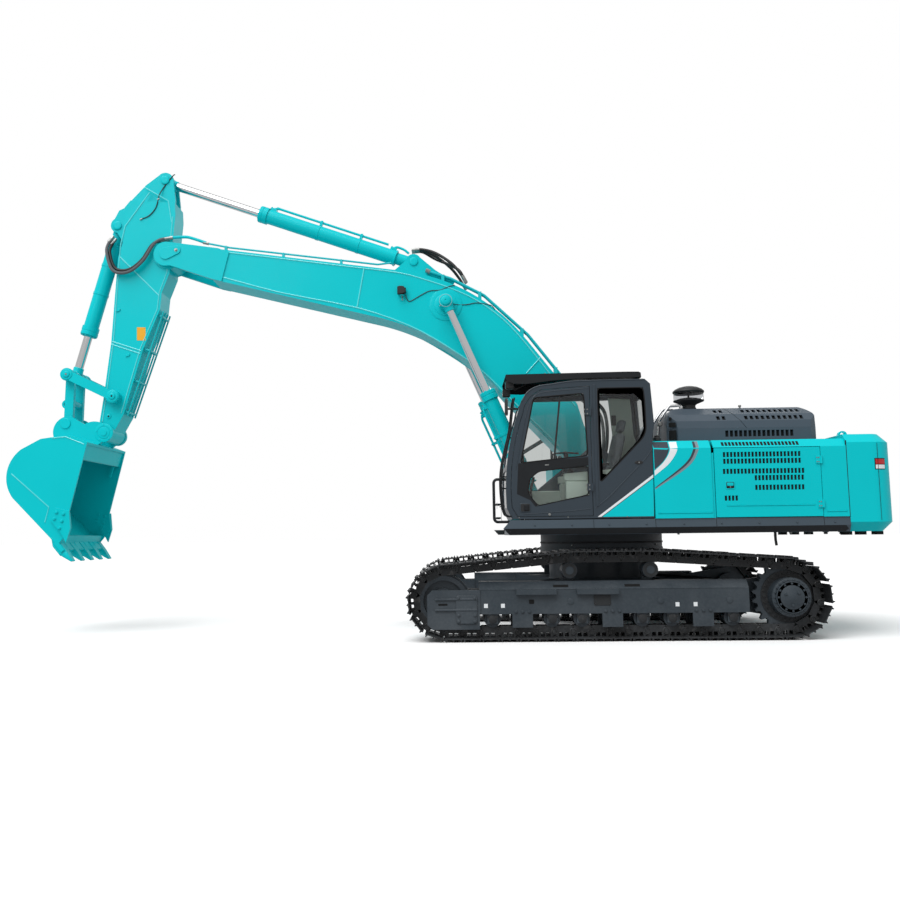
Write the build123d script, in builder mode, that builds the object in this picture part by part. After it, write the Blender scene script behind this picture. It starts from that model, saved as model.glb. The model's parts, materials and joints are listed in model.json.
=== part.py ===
from build123d import *
import math
import os

# Crawler excavator, full size, in millimetres.
# +Z is up with the ground at zero, -X is the front (the bucket's end), +X the counterweight's end,
# and -Y the machine's left side, where the cab stands. The box round the whole machine is centred in X.

os.makedirs("parts", exist_ok=True)

# ---------------------------------------------------------------------------------------------
# Driving dimensions
# ---------------------------------------------------------------------------------------------

SWING_X = 2137.0           # swing axis, from the middle of the machine's length
RUNNING_GAP = 0.3          # between faces that turn or slide on each other
SIDE_GAP = 5.0             # between pieces that pass each other side by side
SEAM_GAP = 6.0             # round a door or a lid

# Tracks
TRACK_GAUGE = 2600.0
SHOE_WIDTH = 600.0
LINK_PITCH = 216.0         # nominal, the loop takes a whole number of links
SHOE_TIP = 95.0            # link pin line to grouser tip
SHOE_OUTER = 71.0          # link pin line to the shoe plate's outer face
SHOE_INNER = 59.0          # link pin line to the shoe plate's inner face
RAIL_DEPTH = 66.0          # link pin line to the rail that the rollers run on
LINK_INNER = 45.0          # half of the gap between a link's two rails
LINK_OUTER = 95.0          # half of the width over a link's two rails
SPROCKET_X = 1955.0        # behind the swing axis
SPROCKET_Z = 478.0
IDLER_X = -2095.0
IDLER_Z = 459.0
CARRIER_XS = (-596.0, 360.0)
CARRIER_Z = 808.0
CARRIER_RADIUS = 92.0
TOOTH_TIP_RADIUS = 402.0
TOOTH_ROOT_RADIUS = 352.0
SPROCKET_WIDTH = 74.0
HUB_RADIUS = 226.0         # final drive drum
HUB_REACH = 255.0          # drum's outer face from the track's middle plane
MOTOR_RADIUS = 178.0
MOTOR_REACH = 300.0
ROLLER_COUNT = 9
ROLLER_X_FIRST = -1520.0
ROLLER_X_LAST = 1290.0
ROLLER_TREAD_RADIUS = 83.7
ROLLER_FLANGE_RADIUS = 97.0

# Track frames
FRAME_FRONT_X = -1670.0
FRAME_REAR_X = 1478.0
FRAME_HALF_WIDTH = 190.0
FRAME_BOTTOM_Z = 345.0
FRAME_LIP_Z = 308.0
FRAME_SHOULDER_Z = 592.0
FRAME_TOP_Z = 684.0
FRAME_TOP_HALF_WIDTH = 105.0
YOKE_FRONT_X = -2291.0
YOKE_BOTTOM_Z = 132.0

# Centre frame and swing bearing
CENTRE_DRUM_RADIUS = 690.0
BEARING_SEAT_Z = 1060.0
BEARING_SEAT_THICKNESS = 60.0
BEARING_RADIUS = 797.0
BEARING_BORE_RADIUS = 640.0

# Upper frame
DECK_Z = 1231.0            # underside of the upper frame
DECK_THICKNESS = 62.0
HOUSE_HALF_WIDTH = 1490.0
SKIRT_TOP_Z = 1408.0
SKIRT_THICKNESS = 50.0
SKIRT_FRONT_X = -1372.0
RIGHT_SKIRT_FRONT_X = -1215.0
SKIRT_REAR_X = 2702.0
BRACKET_INNER = 276.0      # inner faces of the two plates that hold the boom foot
BRACKET_OUTER = 318.0

# Counterweight
WEIGHT_FRONT_X = 2702.0
TAIL_RADIUS = 3515.0
WEIGHT_TOP_Z = 2388.0
WEIGHT_CORNER_RADIUS = 270.0
WEIGHT_TOP_BEVEL = 105.0
WEIGHT_BOTTOM_BEVEL = 110.0

# Body panels behind the cab
PANEL_THICKNESS = 24.0
PANEL_TOP_Z = 2337.0
BEVEL_Z = 2240.0           # the panels lean inwards above this height
BEVEL_INSET = 92.0
FRONT_PANEL_X = 432.0
DOOR_FRONT_X = 1142.0
DOOR_REAR_X = 2396.0
LOUVRE_PITCH = 42.0
LOUVRE_HEIGHT = 60.0
LOUVRE_DEPTH = 14.0

# Hood
HOOD_FRONT_X = 695.0
HOOD_SPLIT_X = 1440.0      # where the slanting seam meets the top
HOOD_SPLIT_RUN = 200.0     # how far the seam runs back on its way down
HOOD_REAR_X = 2505.0
HOOD_INSET = 300.0         # the hood stands this far in from the house's side
HOOD_HALF_WIDTH = HOUSE_HALF_WIDTH - HOOD_INSET
HOOD_BASE_Z = 2505.0
HOOD_TOP_Z = 2788.0
HOOD_WALL = 26.0
HOOD_FRONT_CUT = 115.0     # plan chamfers of the hood's upright corners
HOOD_REAR_CUT = 90.0

# Cab
CAB_INSET = 20.0           # the cab's left face from the house's side
CAB_LEFT_Y = CAB_INSET - HOUSE_HALF_WIDTH
CAB_RIGHT_Y = -545.0
CAB_WALL = 42.0
CAB_FLOOR_Z = 1420.0
DOOR_LEAF = 40.0
DOOR_HINGE_X = -298.0
GLASS_THICKNESS = 8.0
KNUCKLE_RADIUS = 13.0      # hinges of the cab door and of the side doors
STRAP_LENGTH = 62.0
STRAP_HEIGHT = 90.0
CAB_ROOF_Z = 3090.0
GUARD_STANDOFF = 22.0
GUARD_Z = CAB_ROOF_Z + GUARD_STANDOFF
GUARD_THICKNESS = 62.0

# Boom, arm and bucket
BOOM_HALF_WIDTH = 262.0
BOOM_WALL = 36.0
NOSE_EAR_INNER = 224.0
NOSE_EAR_OUTER = 282.0
NOSE_RADIUS = 172.0
FOOT_RADIUS = 165.0
FOOT_PIN_RADIUS = 55.0
ARM_HALF_WIDTH = 200.0
ARM_BOSS_HALF_WIDTH = 218.0
ARM_WALL = 32.0
ARM_PIN_RADIUS = 50.0
ARM_TIP_RADIUS = 118.0
TIP_PIN_RADIUS = 42.0
EAR_INNER = 95.0           # ears that hold a single cylinder's eye
EAR_OUTER = 137.0
EYE_HALF_WIDTH = 88.0
CYLINDER_PIN_RADIUS = 45.0
EYE_RADIUS = 86.0
BUCKET_HALF_WIDTH = 725.0
BUCKET_WALL = 26.0
BUCKET_EAR_INNER = 225.0
BUCKET_EAR_OUTER = 280.0
ROCKER_INNER = 288.0
ROCKER_OUTER = 330.0
TOOTH_COUNT = 5
TOOTH_WIDTH = 104.0

# Cylinders
BARREL_RADIUS = 102.0
ROD_RADIUS = 58.0
BOOM_CYLINDER_Y = 428.0
BOOM_BARREL_RADIUS = 94.0
BOOM_ROD_RADIUS = 52.0
BOOM_EYE_HALF_WIDTH = 72.0
BOOM_BARREL_LENGTH = 1600.0
ARM_BARREL_LENGTH = 2300.0
BUCKET_BARREL_LENGTH = 1590.0
BARREL_START = 270.0       # from the base pin to the full barrel, clear of the ears
BORE_START = 115.0         # from the base pin to the bottom of the bore
BOOM_ROD_INSIDE = 470.0    # rod inside its barrel as the machine stands
ARM_ROD_INSIDE = 755.0
BUCKET_ROD_INSIDE = 1110.0
GLAND_LENGTH = 120.0
GLAND_EXTRA = 12.0


def at(x, z):
    """A point of the side view, its x counted from the swing axis."""
    return (SWING_X + x, z)


# Pins of the working arm and of its cylinders, side view
BOOM_FOOT = at(-100.0, 2180.0)
BOOM_CYLINDER_BASE = at(-863.0, 1650.0)
BOOM_CYLINDER_EYE = at(-2025.0, 4351.0)
ARM_CYLINDER_BASE = at(-2460.0, 5000.0)
ARM_CYLINDER_EYE = at(-5954.0, 6256.0)
ARM_PIVOT = at(-5882.0, 5149.0)
BUCKET_CYLINDER_BASE = at(-6619.0, 5611.0)
ROCKER_PIVOT = at(-6562.0, 3162.0)
ROCKER_TOP = at(-7199.0, 3475.0)
LINK_EYE = at(-7211.0, 2805.0)
BUCKET_PIVOT = at(-6681.0, 2670.0)

SIDES = (("left", -1), ("right", 1))


# ---------------------------------------------------------------------------------------------
# Helpers: every one works inside the BuildPart block that calls it
# ---------------------------------------------------------------------------------------------

def lane(side, inner, outer):
    """The span in Y between two distances from the middle plane, on one side of it."""
    return (inner, outer) if side > 0 else (-outer, -inner)


def contour(start, *steps):
    """Closed line: a step is a point to run straight to, or a pair (through, end) for an arc."""
    here = start
    for step in steps:
        if isinstance(step[0], tuple):
            through, end = step
            ThreePointArc(here, through, end)
        else:
            end = step
            Line(here, end)
        here = end
    Line(here, start)


def side_profile(y, start, *steps):
    """A face in the side view at one Y."""
    with BuildSketch(Plane.XZ.offset(-y)) as profile:
        with BuildLine():
            contour(start, *steps)
        make_face()
    return profile.sketch


def at3(x, y, z):
    """A point in space, its x counted from the swing axis."""
    return (SWING_X + x, y, z)


def cross_plate(span, start, *steps, mode=Mode.ADD):
    """A plate with a side-view outline that fills a span in Y."""
    extrude(side_profile(span[0], start, *steps), amount=span[0] - span[1], mode=mode)


def cross_pin(centre, radius, span, mode=Mode.ADD):
    """A round bar across the machine."""
    with BuildSketch(Plane.XZ.offset(-span[0])) as profile:
        with Locations(centre):
            Circle(radius)
    extrude(profile.sketch, amount=span[0] - span[1], mode=mode)


def cross_bore(centre, radius, span):
    """A bore across the machine with running clearance round a pin of this radius."""
    cross_pin(centre, radius + RUNNING_GAP, span, mode=Mode.SUBTRACT)


def box_beam(half_width, wall, start, *steps):
    """A closed hollow beam with a side-view outline."""
    skin = side_profile(-half_width, start, *steps)
    core = offset(skin, amount=-wall, kind=Kind.INTERSECTION, mode=Mode.PRIVATE)
    extrude(skin, amount=-2 * half_width)
    core = core.moved(Location((0, wall, 0)))
    extrude(core, amount=-2 * (half_width - wall), mode=Mode.SUBTRACT)


def floor_plate(z_low, z_high, start, *steps, mode=Mode.ADD):
    """A plate with a plan-view outline between two heights."""
    with BuildSketch(Plane.XY.offset(z_low)) as profile:
        with BuildLine():
            contour(start, *steps)
        make_face()
    extrude(profile.sketch, amount=z_high - z_low, mode=mode)


def block(xs, ys, zs, mode=Mode.ADD):
    """A box between pairs of x, y and z."""
    middle = [(low + high) / 2 for low, high in (xs, ys, zs)]
    with Locations(tuple(middle)):
        Box(abs(xs[1] - xs[0]), abs(ys[1] - ys[0]), abs(zs[1] - zs[0]), mode=mode)


def strut(start, end, y, radius, mode=Mode.ADD):
    """A round bar in the side view's plane, from one point to another."""
    run = (end[0] - start[0], 0, end[1] - start[1])
    with BuildSketch(Plane(origin=(start[0], y, start[1]), z_dir=run)) as profile:
        Circle(radius)
    extrude(profile.sketch, amount=math.hypot(run[0], run[2]), mode=mode)


def door_hinge(x, face_y, side, z):
    """A knuckle beside an outer face, with the strap that ties it to the door in front of it."""
    axis_y = hinge_axis_y(face_y, side)
    with Locations((SWING_X + x, axis_y, z)):
        Cylinder(radius=KNUCKLE_RADIUS, height=STRAP_HEIGHT)
    block((SWING_X + x - STRAP_LENGTH, SWING_X + x), sorted((face_y, axis_y)),
          (z - STRAP_HEIGHT / 2, z + STRAP_HEIGHT / 2))


def hinge_axis_y(face_y, side):
    """Where a knuckle's axis lies outside a face."""
    return face_y + side * (KNUCKLE_RADIUS + RUNNING_GAP)


def along(start, end, distance):
    """The point at a distance from start on the way to end."""
    length = math.dist(start, end)
    return tuple(a + (b - a) * distance / length for a, b in zip(start, end))


def bent_rail(radius, bend, *points):
    """A round tube along straight runs with bends of one radius."""
    with BuildLine() as path:
        FilletPolyline(*points, radius=bend)
    with BuildSketch(Plane(origin=path.line @ 0, z_dir=path.line % 0)) as profile:
        Circle(radius)
    sweep(profile.sketch, path=path.line)


# ---------------------------------------------------------------------------------------------
# Tracks: one closed loop of links and shoes each side
# ---------------------------------------------------------------------------------------------

SPROCKET_PIN_RADIUS = SPROCKET_Z - SHOE_TIP
IDLER_PIN_RADIUS = IDLER_Z - SHOE_TIP
CARRIER_PIN_RADIUS = CARRIER_RADIUS + RUNNING_GAP + RAIL_DEPTH

# Wheels that the link pins go round, in order: centre and radius of the pin line
TRACK_WHEELS = (
    (at(IDLER_X, IDLER_Z), IDLER_PIN_RADIUS),
    (at(CARRIER_XS[0], CARRIER_Z), CARRIER_PIN_RADIUS),
    (at(CARRIER_XS[1], CARRIER_Z), CARRIER_PIN_RADIUS),
    (at(SPROCKET_X, SPROCKET_Z), SPROCKET_PIN_RADIUS),
)


def tangent_normal(first, second):
    """Outward angle at which a straight run leaves the first wheel for the second."""
    (x1, z1), r1 = first
    (x2, z2), r2 = second
    return math.atan2(z2 - z1, x2 - x1) + math.acos((r1 - r2) / math.hypot(x2 - x1, z2 - z1))


def track_path():
    """Arcs and runs of the pin line: (length, centre, radius, first angle), radius None on a run."""
    count = len(TRACK_WHEELS)
    leaving = [tangent_normal(TRACK_WHEELS[i], TRACK_WHEELS[(i + 1) % count]) for i in range(count)]
    pieces = []
    for i, (centre, radius) in enumerate(TRACK_WHEELS):
        turn = (leaving[i - 1] - leaving[i]) % (2 * math.pi)
        pieces.append((radius * turn, centre, radius, leaving[i - 1]))
        following, next_radius = TRACK_WHEELS[(i + 1) % count]
        start = (centre[0] + radius * math.cos(leaving[i]), centre[1] + radius * math.sin(leaving[i]))
        end = (following[0] + next_radius * math.cos(leaving[i]),
               following[1] + next_radius * math.sin(leaving[i]))
        pieces.append((math.dist(start, end), start, None, leaving[i]))
    return pieces


TRACK_PATH = track_path()
TRACK_LENGTH = sum(piece[0] for piece in TRACK_PATH)
SHOE_COUNT = round(TRACK_LENGTH / LINK_PITCH)
PITCH = TRACK_LENGTH / SHOE_COUNT


def track_frame_at(distance):
    """Point on the pin line and its outward angle, at a distance along the loop."""
    distance %= TRACK_LENGTH
    for length, origin, radius, angle in TRACK_PATH:
        if distance <= length:
            break
        distance -= length
    if radius is None:
        forward = angle - math.pi / 2
        return (origin[0] + distance * math.cos(forward), origin[1] + distance * math.sin(forward)), angle
    angle -= distance / radius
    return (origin[0] + radius * math.cos(angle), origin[1] + radius * math.sin(angle)), angle


def link_point(index, forward, outward):
    """A point fixed to one link: forward along it and outward from its pin line."""
    (x, z), angle = track_frame_at((index + 0.5) * PITCH)
    return (x + forward * math.sin(angle) + outward * math.cos(angle),
            z - forward * math.cos(angle) + outward * math.sin(angle))


def joint_point(index, outward):
    """Where the faces of a link and of the next one meet, at one distance from the pin line."""
    (x1, z1), a1 = track_frame_at((index + 0.5) * PITCH)
    (x2, z2), a2 = track_frame_at((index + 1.5) * PITCH)
    first, second = link_point(index, 0, outward), link_point(index + 1, 0, outward)
    if abs(math.sin(a1 - a2)) < 1e-4:
        return ((first[0] + second[0]) / 2, (first[1] + second[1]) / 2)
    run = ((second[0] - first[0]) * math.cos(a2) + (second[1] - first[1]) * math.sin(a2))
    run /= math.sin(a1 - a2)
    return link_point(index, run, outward)


# Shoe outline: (share of the pitch forward, distance outward from the pin line)
SHOE_OUTLINE = (
    (-0.47, SHOE_OUTER),
    (-0.40, SHOE_TIP),
    (-0.30, SHOE_OUTER),
    (0.00, SHOE_TIP - 4),
    (0.28, SHOE_OUTER),
    (0.38, SHOE_TIP),
    (0.47, SHOE_OUTER),
)


def track_loop(side):
    """Shoes at full width, and the two rows of links that carry them."""
    outer = []
    for index in range(SHOE_COUNT):
        outer += [link_point(index, share * PITCH, out) for share, out in SHOE_OUTLINE]
        outer.append(joint_point(index, SHOE_INNER + 4))
    inner = [joint_point(index, SHOE_INNER) for index in range(SHOE_COUNT)]
    rail = [joint_point(index, -RAIL_DEPTH) for index in range(SHOE_COUNT)]
    middle = side * TRACK_GAUGE / 2
    low = middle - SHOE_WIDTH / 2
    with BuildSketch(Plane.XZ.offset(-low)) as shoes:
        with BuildLine():
            Polyline(*outer, close=True)
        make_face()
        with BuildLine():
            Polyline(*inner, close=True)
        make_face(mode=Mode.SUBTRACT)
    extrude(shoes.sketch, amount=-SHOE_WIDTH)
    for low in (middle - LINK_OUTER, middle + LINK_INNER):
        with BuildSketch(Plane.XZ.offset(-low)) as links:
            with BuildLine():
                Polyline(*inner, close=True)
            make_face()
            with BuildLine():
                Polyline(*rail, close=True)
            make_face(mode=Mode.SUBTRACT)
        extrude(links.sketch, amount=LINK_INNER - LINK_OUTER)


for side_name, side in SIDES:
    with BuildPart() as track:
        track_loop(side)
    track.part.label = f"track_{side_name}"
    export_step(track.part, f"parts/track_{side_name}.step")

# ---------------------------------------------------------------------------------------------
# Wheels of the tracks, both sides in one node each
# ---------------------------------------------------------------------------------------------

IDLER_TREAD_RADIUS = IDLER_PIN_RADIUS - RAIL_DEPTH - RUNNING_GAP
IDLER_HUB_RADIUS = 150.0
YOKE_INNER = 122.0         # from the track's middle plane to the yoke's inner face
WEB_HALF_WIDTH = 30.0

with BuildPart() as idlers:
    for _, side in SIDES:
        middle = side * TRACK_GAUGE / 2
        centre = at(IDLER_X, IDLER_Z)
        cross_pin(centre, IDLER_TREAD_RADIUS, (middle - LINK_OUTER + 2, middle + LINK_OUTER - 2))
        for face in (-1, 1):
            recess = sorted((middle + face * WEB_HALF_WIDTH, middle + face * LINK_OUTER))
            cross_pin(centre, IDLER_TREAD_RADIUS - 55, recess, mode=Mode.SUBTRACT)
        cross_pin(centre, IDLER_TREAD_RADIUS + 22, (middle - LINK_INNER + 4, middle + LINK_INNER - 4))
        cross_pin(centre, IDLER_HUB_RADIUS, (middle - YOKE_INNER + 1, middle + YOKE_INNER - 1))
idlers.part.label = "idlers"
export_step(idlers.part, "parts/idlers.step")

TOOTH_COUNT_ROUND = round(2 * math.pi / (2 * math.asin(PITCH / 2 / SPROCKET_PIN_RADIUS)))

with BuildPart() as sprockets:
    for _, side in SIDES:
        middle = side * TRACK_GAUGE / 2
        centre = at(SPROCKET_X, SPROCKET_Z)
        teeth = []
        for index in range(2 * TOOTH_COUNT_ROUND):
            start = index * math.pi / TOOTH_COUNT_ROUND
            for share, radius in ((0.18, TOOTH_ROOT_RADIUS), (0.42, TOOTH_TIP_RADIUS),
                                  (0.58, TOOTH_TIP_RADIUS), (0.82, TOOTH_ROOT_RADIUS)):
                angle = start + share * math.pi / TOOTH_COUNT_ROUND
                teeth.append((centre[0] + radius * math.cos(angle), centre[1] + radius * math.sin(angle)))
        low = middle - SPROCKET_WIDTH / 2
        with BuildSketch(Plane.XZ.offset(-low)) as ring:
            with BuildLine():
                Polyline(*teeth, close=True)
            make_face()
        extrude(ring.sketch, amount=-SPROCKET_WIDTH)
        cross_pin(centre, HUB_RADIUS, lane(side, abs(middle), abs(middle) + HUB_REACH - 30))
        cross_pin(centre, HUB_RADIUS - 40, lane(side, abs(middle), abs(middle) + HUB_REACH))
        cross_pin(centre, MOTOR_RADIUS, lane(side, abs(middle) - MOTOR_REACH, abs(middle)))
sprockets.part.label = "sprockets"
export_step(sprockets.part, "parts/sprockets.step")

ROLLER_Z = SHOE_TIP + RAIL_DEPTH + ROLLER_TREAD_RADIUS + RUNNING_GAP
ROLLER_STEP = (ROLLER_X_LAST - ROLLER_X_FIRST) / (ROLLER_COUNT - 1)

with BuildPart() as bottom_rollers:
    for _, side in SIDES:
        middle = side * TRACK_GAUGE / 2
        for index in range(ROLLER_COUNT):
            centre = at(ROLLER_X_FIRST + index * ROLLER_STEP, ROLLER_Z)
            cross_pin(centre, ROLLER_TREAD_RADIUS, (middle - 112, middle + 112))
            for face in (-1, 1):
                flange = sorted((middle + face * (LINK_OUTER + 3), middle + face * (LINK_OUTER + 20)))
                cross_pin(centre, ROLLER_FLANGE_RADIUS, flange)
                support = sorted((middle + face * (LINK_OUTER + 20), middle + face * 165))
                block((centre[0] - 62, centre[0] + 62), support, (ROLLER_Z - 52, FRAME_BOTTOM_Z))
bottom_rollers.part.label = "bottom_rollers"
export_step(bottom_rollers.part, "parts/bottom_rollers.step")


# ---------------------------------------------------------------------------------------------
# Track frames and the centre frame between them
# ---------------------------------------------------------------------------------------------


def frame_section(middle):
    """Cross-section of a track frame: a closed beam with lips beside the rollers."""
    half, top, lip = FRAME_HALF_WIDTH, FRAME_TOP_HALF_WIDTH, 22
    return [(middle - half, FRAME_LIP_Z), (middle - half, FRAME_SHOULDER_Z), (middle - top, FRAME_TOP_Z),
            (middle + top, FRAME_TOP_Z), (middle + half, FRAME_SHOULDER_Z), (middle + half, FRAME_LIP_Z),
            (middle + half - lip, FRAME_LIP_Z), (middle + half - lip, FRAME_BOTTOM_Z),
            (middle - half + lip, FRAME_BOTTOM_Z), (middle - half + lip, FRAME_LIP_Z)]


def frame_beam(middle, mode=Mode.ADD):
    """The straight beam of a track frame."""
    with BuildSketch(Plane.YZ.offset(SWING_X + FRAME_FRONT_X)) as section:
        with BuildLine():
            Polyline(*frame_section(middle), close=True)
        make_face()
    extrude(section.sketch, amount=FRAME_REAR_X - FRAME_FRONT_X, mode=mode)


# Steps welded to the outer face: first and last x
FRAME_STEPS = ((-1240.0, -770.0), (-530.0, -40.0))
STEP_REACH = 62.0
GUARD_XS = (-1168.0, -115.0, 938.0)
GUARD_HALF_LENGTH = 120.0
GUARD_BOTTOM_Z = 150.0

for side_name, side in SIDES:
    middle = side * TRACK_GAUGE / 2
    outer_face = abs(middle) + FRAME_HALF_WIDTH
    with BuildPart() as track_frame:
        frame_beam(middle)
        for face in (-1, 1):
            cheek = sorted((middle + face * YOKE_INNER, middle + face * (FRAME_HALF_WIDTH + 10)))
            cross_plate(cheek, at(FRAME_FRONT_X, YOKE_BOTTOM_Z), at(YOKE_FRONT_X + 60, YOKE_BOTTOM_Z),
                        at(YOKE_FRONT_X, YOKE_BOTTOM_Z + 60), at(YOKE_FRONT_X, FRAME_SHOULDER_Z - 60),
                        at(YOKE_FRONT_X + 60, FRAME_SHOULDER_Z), at(FRAME_FRONT_X, FRAME_SHOULDER_Z))
            for x in GUARD_XS:
                guard = sorted((middle + face * (FRAME_HALF_WIDTH - 22), middle + face * FRAME_HALF_WIDTH))
                block((SWING_X + x - GUARD_HALF_LENGTH, SWING_X + x + GUARD_HALF_LENGTH), guard,
                      (GUARD_BOTTOM_Z, FRAME_LIP_Z + 10))
        for first, last in FRAME_STEPS:
            block((SWING_X + first, SWING_X + last), lane(side, outer_face - 5, outer_face + STEP_REACH),
                  (FRAME_SHOULDER_Z - 58, FRAME_SHOULDER_Z))
        tail = lane(side, abs(middle) - FRAME_HALF_WIDTH, abs(middle) - SPROCKET_WIDTH / 2 - 90)
        cross_plate(tail, at(FRAME_REAR_X - 60, FRAME_LIP_Z), at(SPROCKET_X, SPROCKET_Z - 260),
                    at(SPROCKET_X + 240, SPROCKET_Z - 120), at(SPROCKET_X + 240, SPROCKET_Z + 120),
                    at(SPROCKET_X, SPROCKET_Z + 260), at(FRAME_REAR_X - 60, FRAME_TOP_Z - 30))
        cross_bore(at(SPROCKET_X, SPROCKET_Z), MOTOR_RADIUS, tail)
    track_frame.part.label = f"track_frame_{side_name}"
    export_step(track_frame.part, f"parts/track_frame_{side_name}.step")

with BuildPart() as carrier_rollers:
    for _, side in SIDES:
        middle = side * TRACK_GAUGE / 2
        for x in CARRIER_XS:
            centre = at(x, CARRIER_Z)
            cross_pin(centre, CARRIER_RADIUS, (middle - 112, middle + 112))
            cross_pin(centre, 48, lane(side, abs(middle) - 175, abs(middle) + 130))
            block((centre[0] - 60, centre[0] + 60), lane(side, abs(middle) - 170, abs(middle) - 122),
                  (FRAME_SHOULDER_Z, CARRIER_Z + 55))
        frame_beam(middle, mode=Mode.SUBTRACT)
carrier_rollers.part.label = "carrier_rollers"
export_step(carrier_rollers.part, "parts/carrier_rollers.step")

LEG_BOTTOM_Z = 440.0
LEG_TOP_Z = 660.0
LEG_REACH = TRACK_GAUGE / 2 - FRAME_HALF_WIDTH

with BuildPart() as centre_frame:
    for way in (-1, 1):
        for _, side in SIDES:
            floor_plate(LEG_BOTTOM_Z, LEG_TOP_Z, (SWING_X, 0), (SWING_X + way * 560, 0),
                        (SWING_X + way * 1080, side * LEG_REACH), (SWING_X + way * 660, side * LEG_REACH),
                        (SWING_X, side * 640))
    with BuildSketch(Plane.XY.offset(LEG_TOP_Z)) as foot:
        with Locations((SWING_X, 0)):
            Circle(CENTRE_DRUM_RADIUS)
    extrude(foot.sketch, amount=BEARING_SEAT_Z - LEG_TOP_Z)
    with BuildSketch(Plane.XY.offset(BEARING_SEAT_Z - BEARING_SEAT_THICKNESS)) as seat:
        with Locations((SWING_X, 0)):
            Circle(BEARING_RADIUS + 8)
    extrude(seat.sketch, amount=BEARING_SEAT_THICKNESS)
centre_frame.part.label = "centre_frame"
export_step(centre_frame.part, "parts/centre_frame.step")

with BuildPart() as swing_bearing:
    with BuildSketch(Plane.XY.offset(BEARING_SEAT_Z)) as ring:
        with Locations((SWING_X, 0)):
            Circle(BEARING_RADIUS)
            Circle(BEARING_BORE_RADIUS, mode=Mode.SUBTRACT)
    extrude(ring.sketch, amount=DECK_Z - RUNNING_GAP - BEARING_SEAT_Z)
swing_bearing.part.label = "swing_bearing"
export_step(swing_bearing.part, "parts/swing_bearing.step")

# ---------------------------------------------------------------------------------------------
# Upper frame, side skirts and counterweight
# ---------------------------------------------------------------------------------------------

DECK_TOP_Z = DECK_Z + DECK_THICKNESS
DECK_HALF_WIDTH = HOUSE_HALF_WIDTH - SKIRT_THICKNESS

with BuildPart() as upper_frame:
    block((SWING_X + RIGHT_SKIRT_FRONT_X + 90, SWING_X + WEIGHT_FRONT_X), (-DECK_HALF_WIDTH, DECK_HALF_WIDTH),
          (DECK_Z, DECK_TOP_Z))
    block((SWING_X + SKIRT_FRONT_X + 90, SWING_X), (-DECK_HALF_WIDTH, 0), (DECK_Z, DECK_TOP_Z))
    for _, side in SIDES:
        bracket = lane(side, BRACKET_INNER, BRACKET_OUTER)
        cross_plate(bracket, at(700, DECK_TOP_Z), at(120, 2230), (at(-100, 2370), at(-235, 2300)),
                    at(-960, 1720), (at(-1000, 1640), at(-960, 1560)), at(-1120, DECK_TOP_Z))
        cross_bore(BOOM_FOOT, FOOT_PIN_RADIUS, bracket)
        cross_bore(BOOM_CYLINDER_BASE, CYLINDER_PIN_RADIUS, bracket)
        block((SWING_X + 700, SWING_X + WEIGHT_FRONT_X), bracket, (DECK_TOP_Z, DECK_TOP_Z + 90))
upper_frame.part.label = "upper_frame"
export_step(upper_frame.part, "parts/upper_frame.step")

SKIRT_RIDGE_Z = 1308.0
# Height of an edge and how far it draws in from the ridge
SKIRT_EDGES = ((DECK_Z, 35.0), (SKIRT_TOP_Z, 12.0))

with BuildPart() as side_skirts:
    for (_, side), front in zip(SIDES, (SKIRT_FRONT_X, RIGHT_SKIRT_FRONT_X)):
        cross_plate(lane(side, DECK_HALF_WIDTH, HOUSE_HALF_WIDTH), at(front, SKIRT_RIDGE_Z),
                    at(front + 77, DECK_Z), at(SKIRT_REAR_X, DECK_Z), at(SKIRT_REAR_X, SKIRT_TOP_Z),
                    at(front + 90, SKIRT_TOP_Z))
        for z, tuck in SKIRT_EDGES:
            edge_y = side * HOUSE_HALF_WIDTH
            with BuildSketch(Plane.YZ.offset(SWING_X + front - 1)) as bevel:
                with BuildLine():
                    Polyline((edge_y, SKIRT_RIDGE_Z), (edge_y + side, z), (edge_y - side * tuck, z),
                             close=True)
                make_face()
            extrude(bevel.sketch, amount=SKIRT_REAR_X - front + 2, mode=Mode.SUBTRACT)
side_skirts.part.label = "side_skirts"
export_step(side_skirts.part, "parts/side_skirts.step")

WEIGHT_FOOT_XS = (2790.0, 2960.0, 3160.0)
WEIGHT_FOOT_Y = 1180.0
WEIGHT_FOOT_HEIGHT = 40.0
LIFT_LUG_X = 2900.0
LIFT_LUG_Y = 900.0
LIFT_LUG_Z = WEIGHT_TOP_Z + 40
LIFT_LUG_WIDTH = 44.0
LIFT_BORE_RADIUS = 30.0
WEIGHT_SIDE_END_X = math.sqrt(TAIL_RADIUS ** 2 - HOUSE_HALF_WIDTH ** 2)

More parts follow.
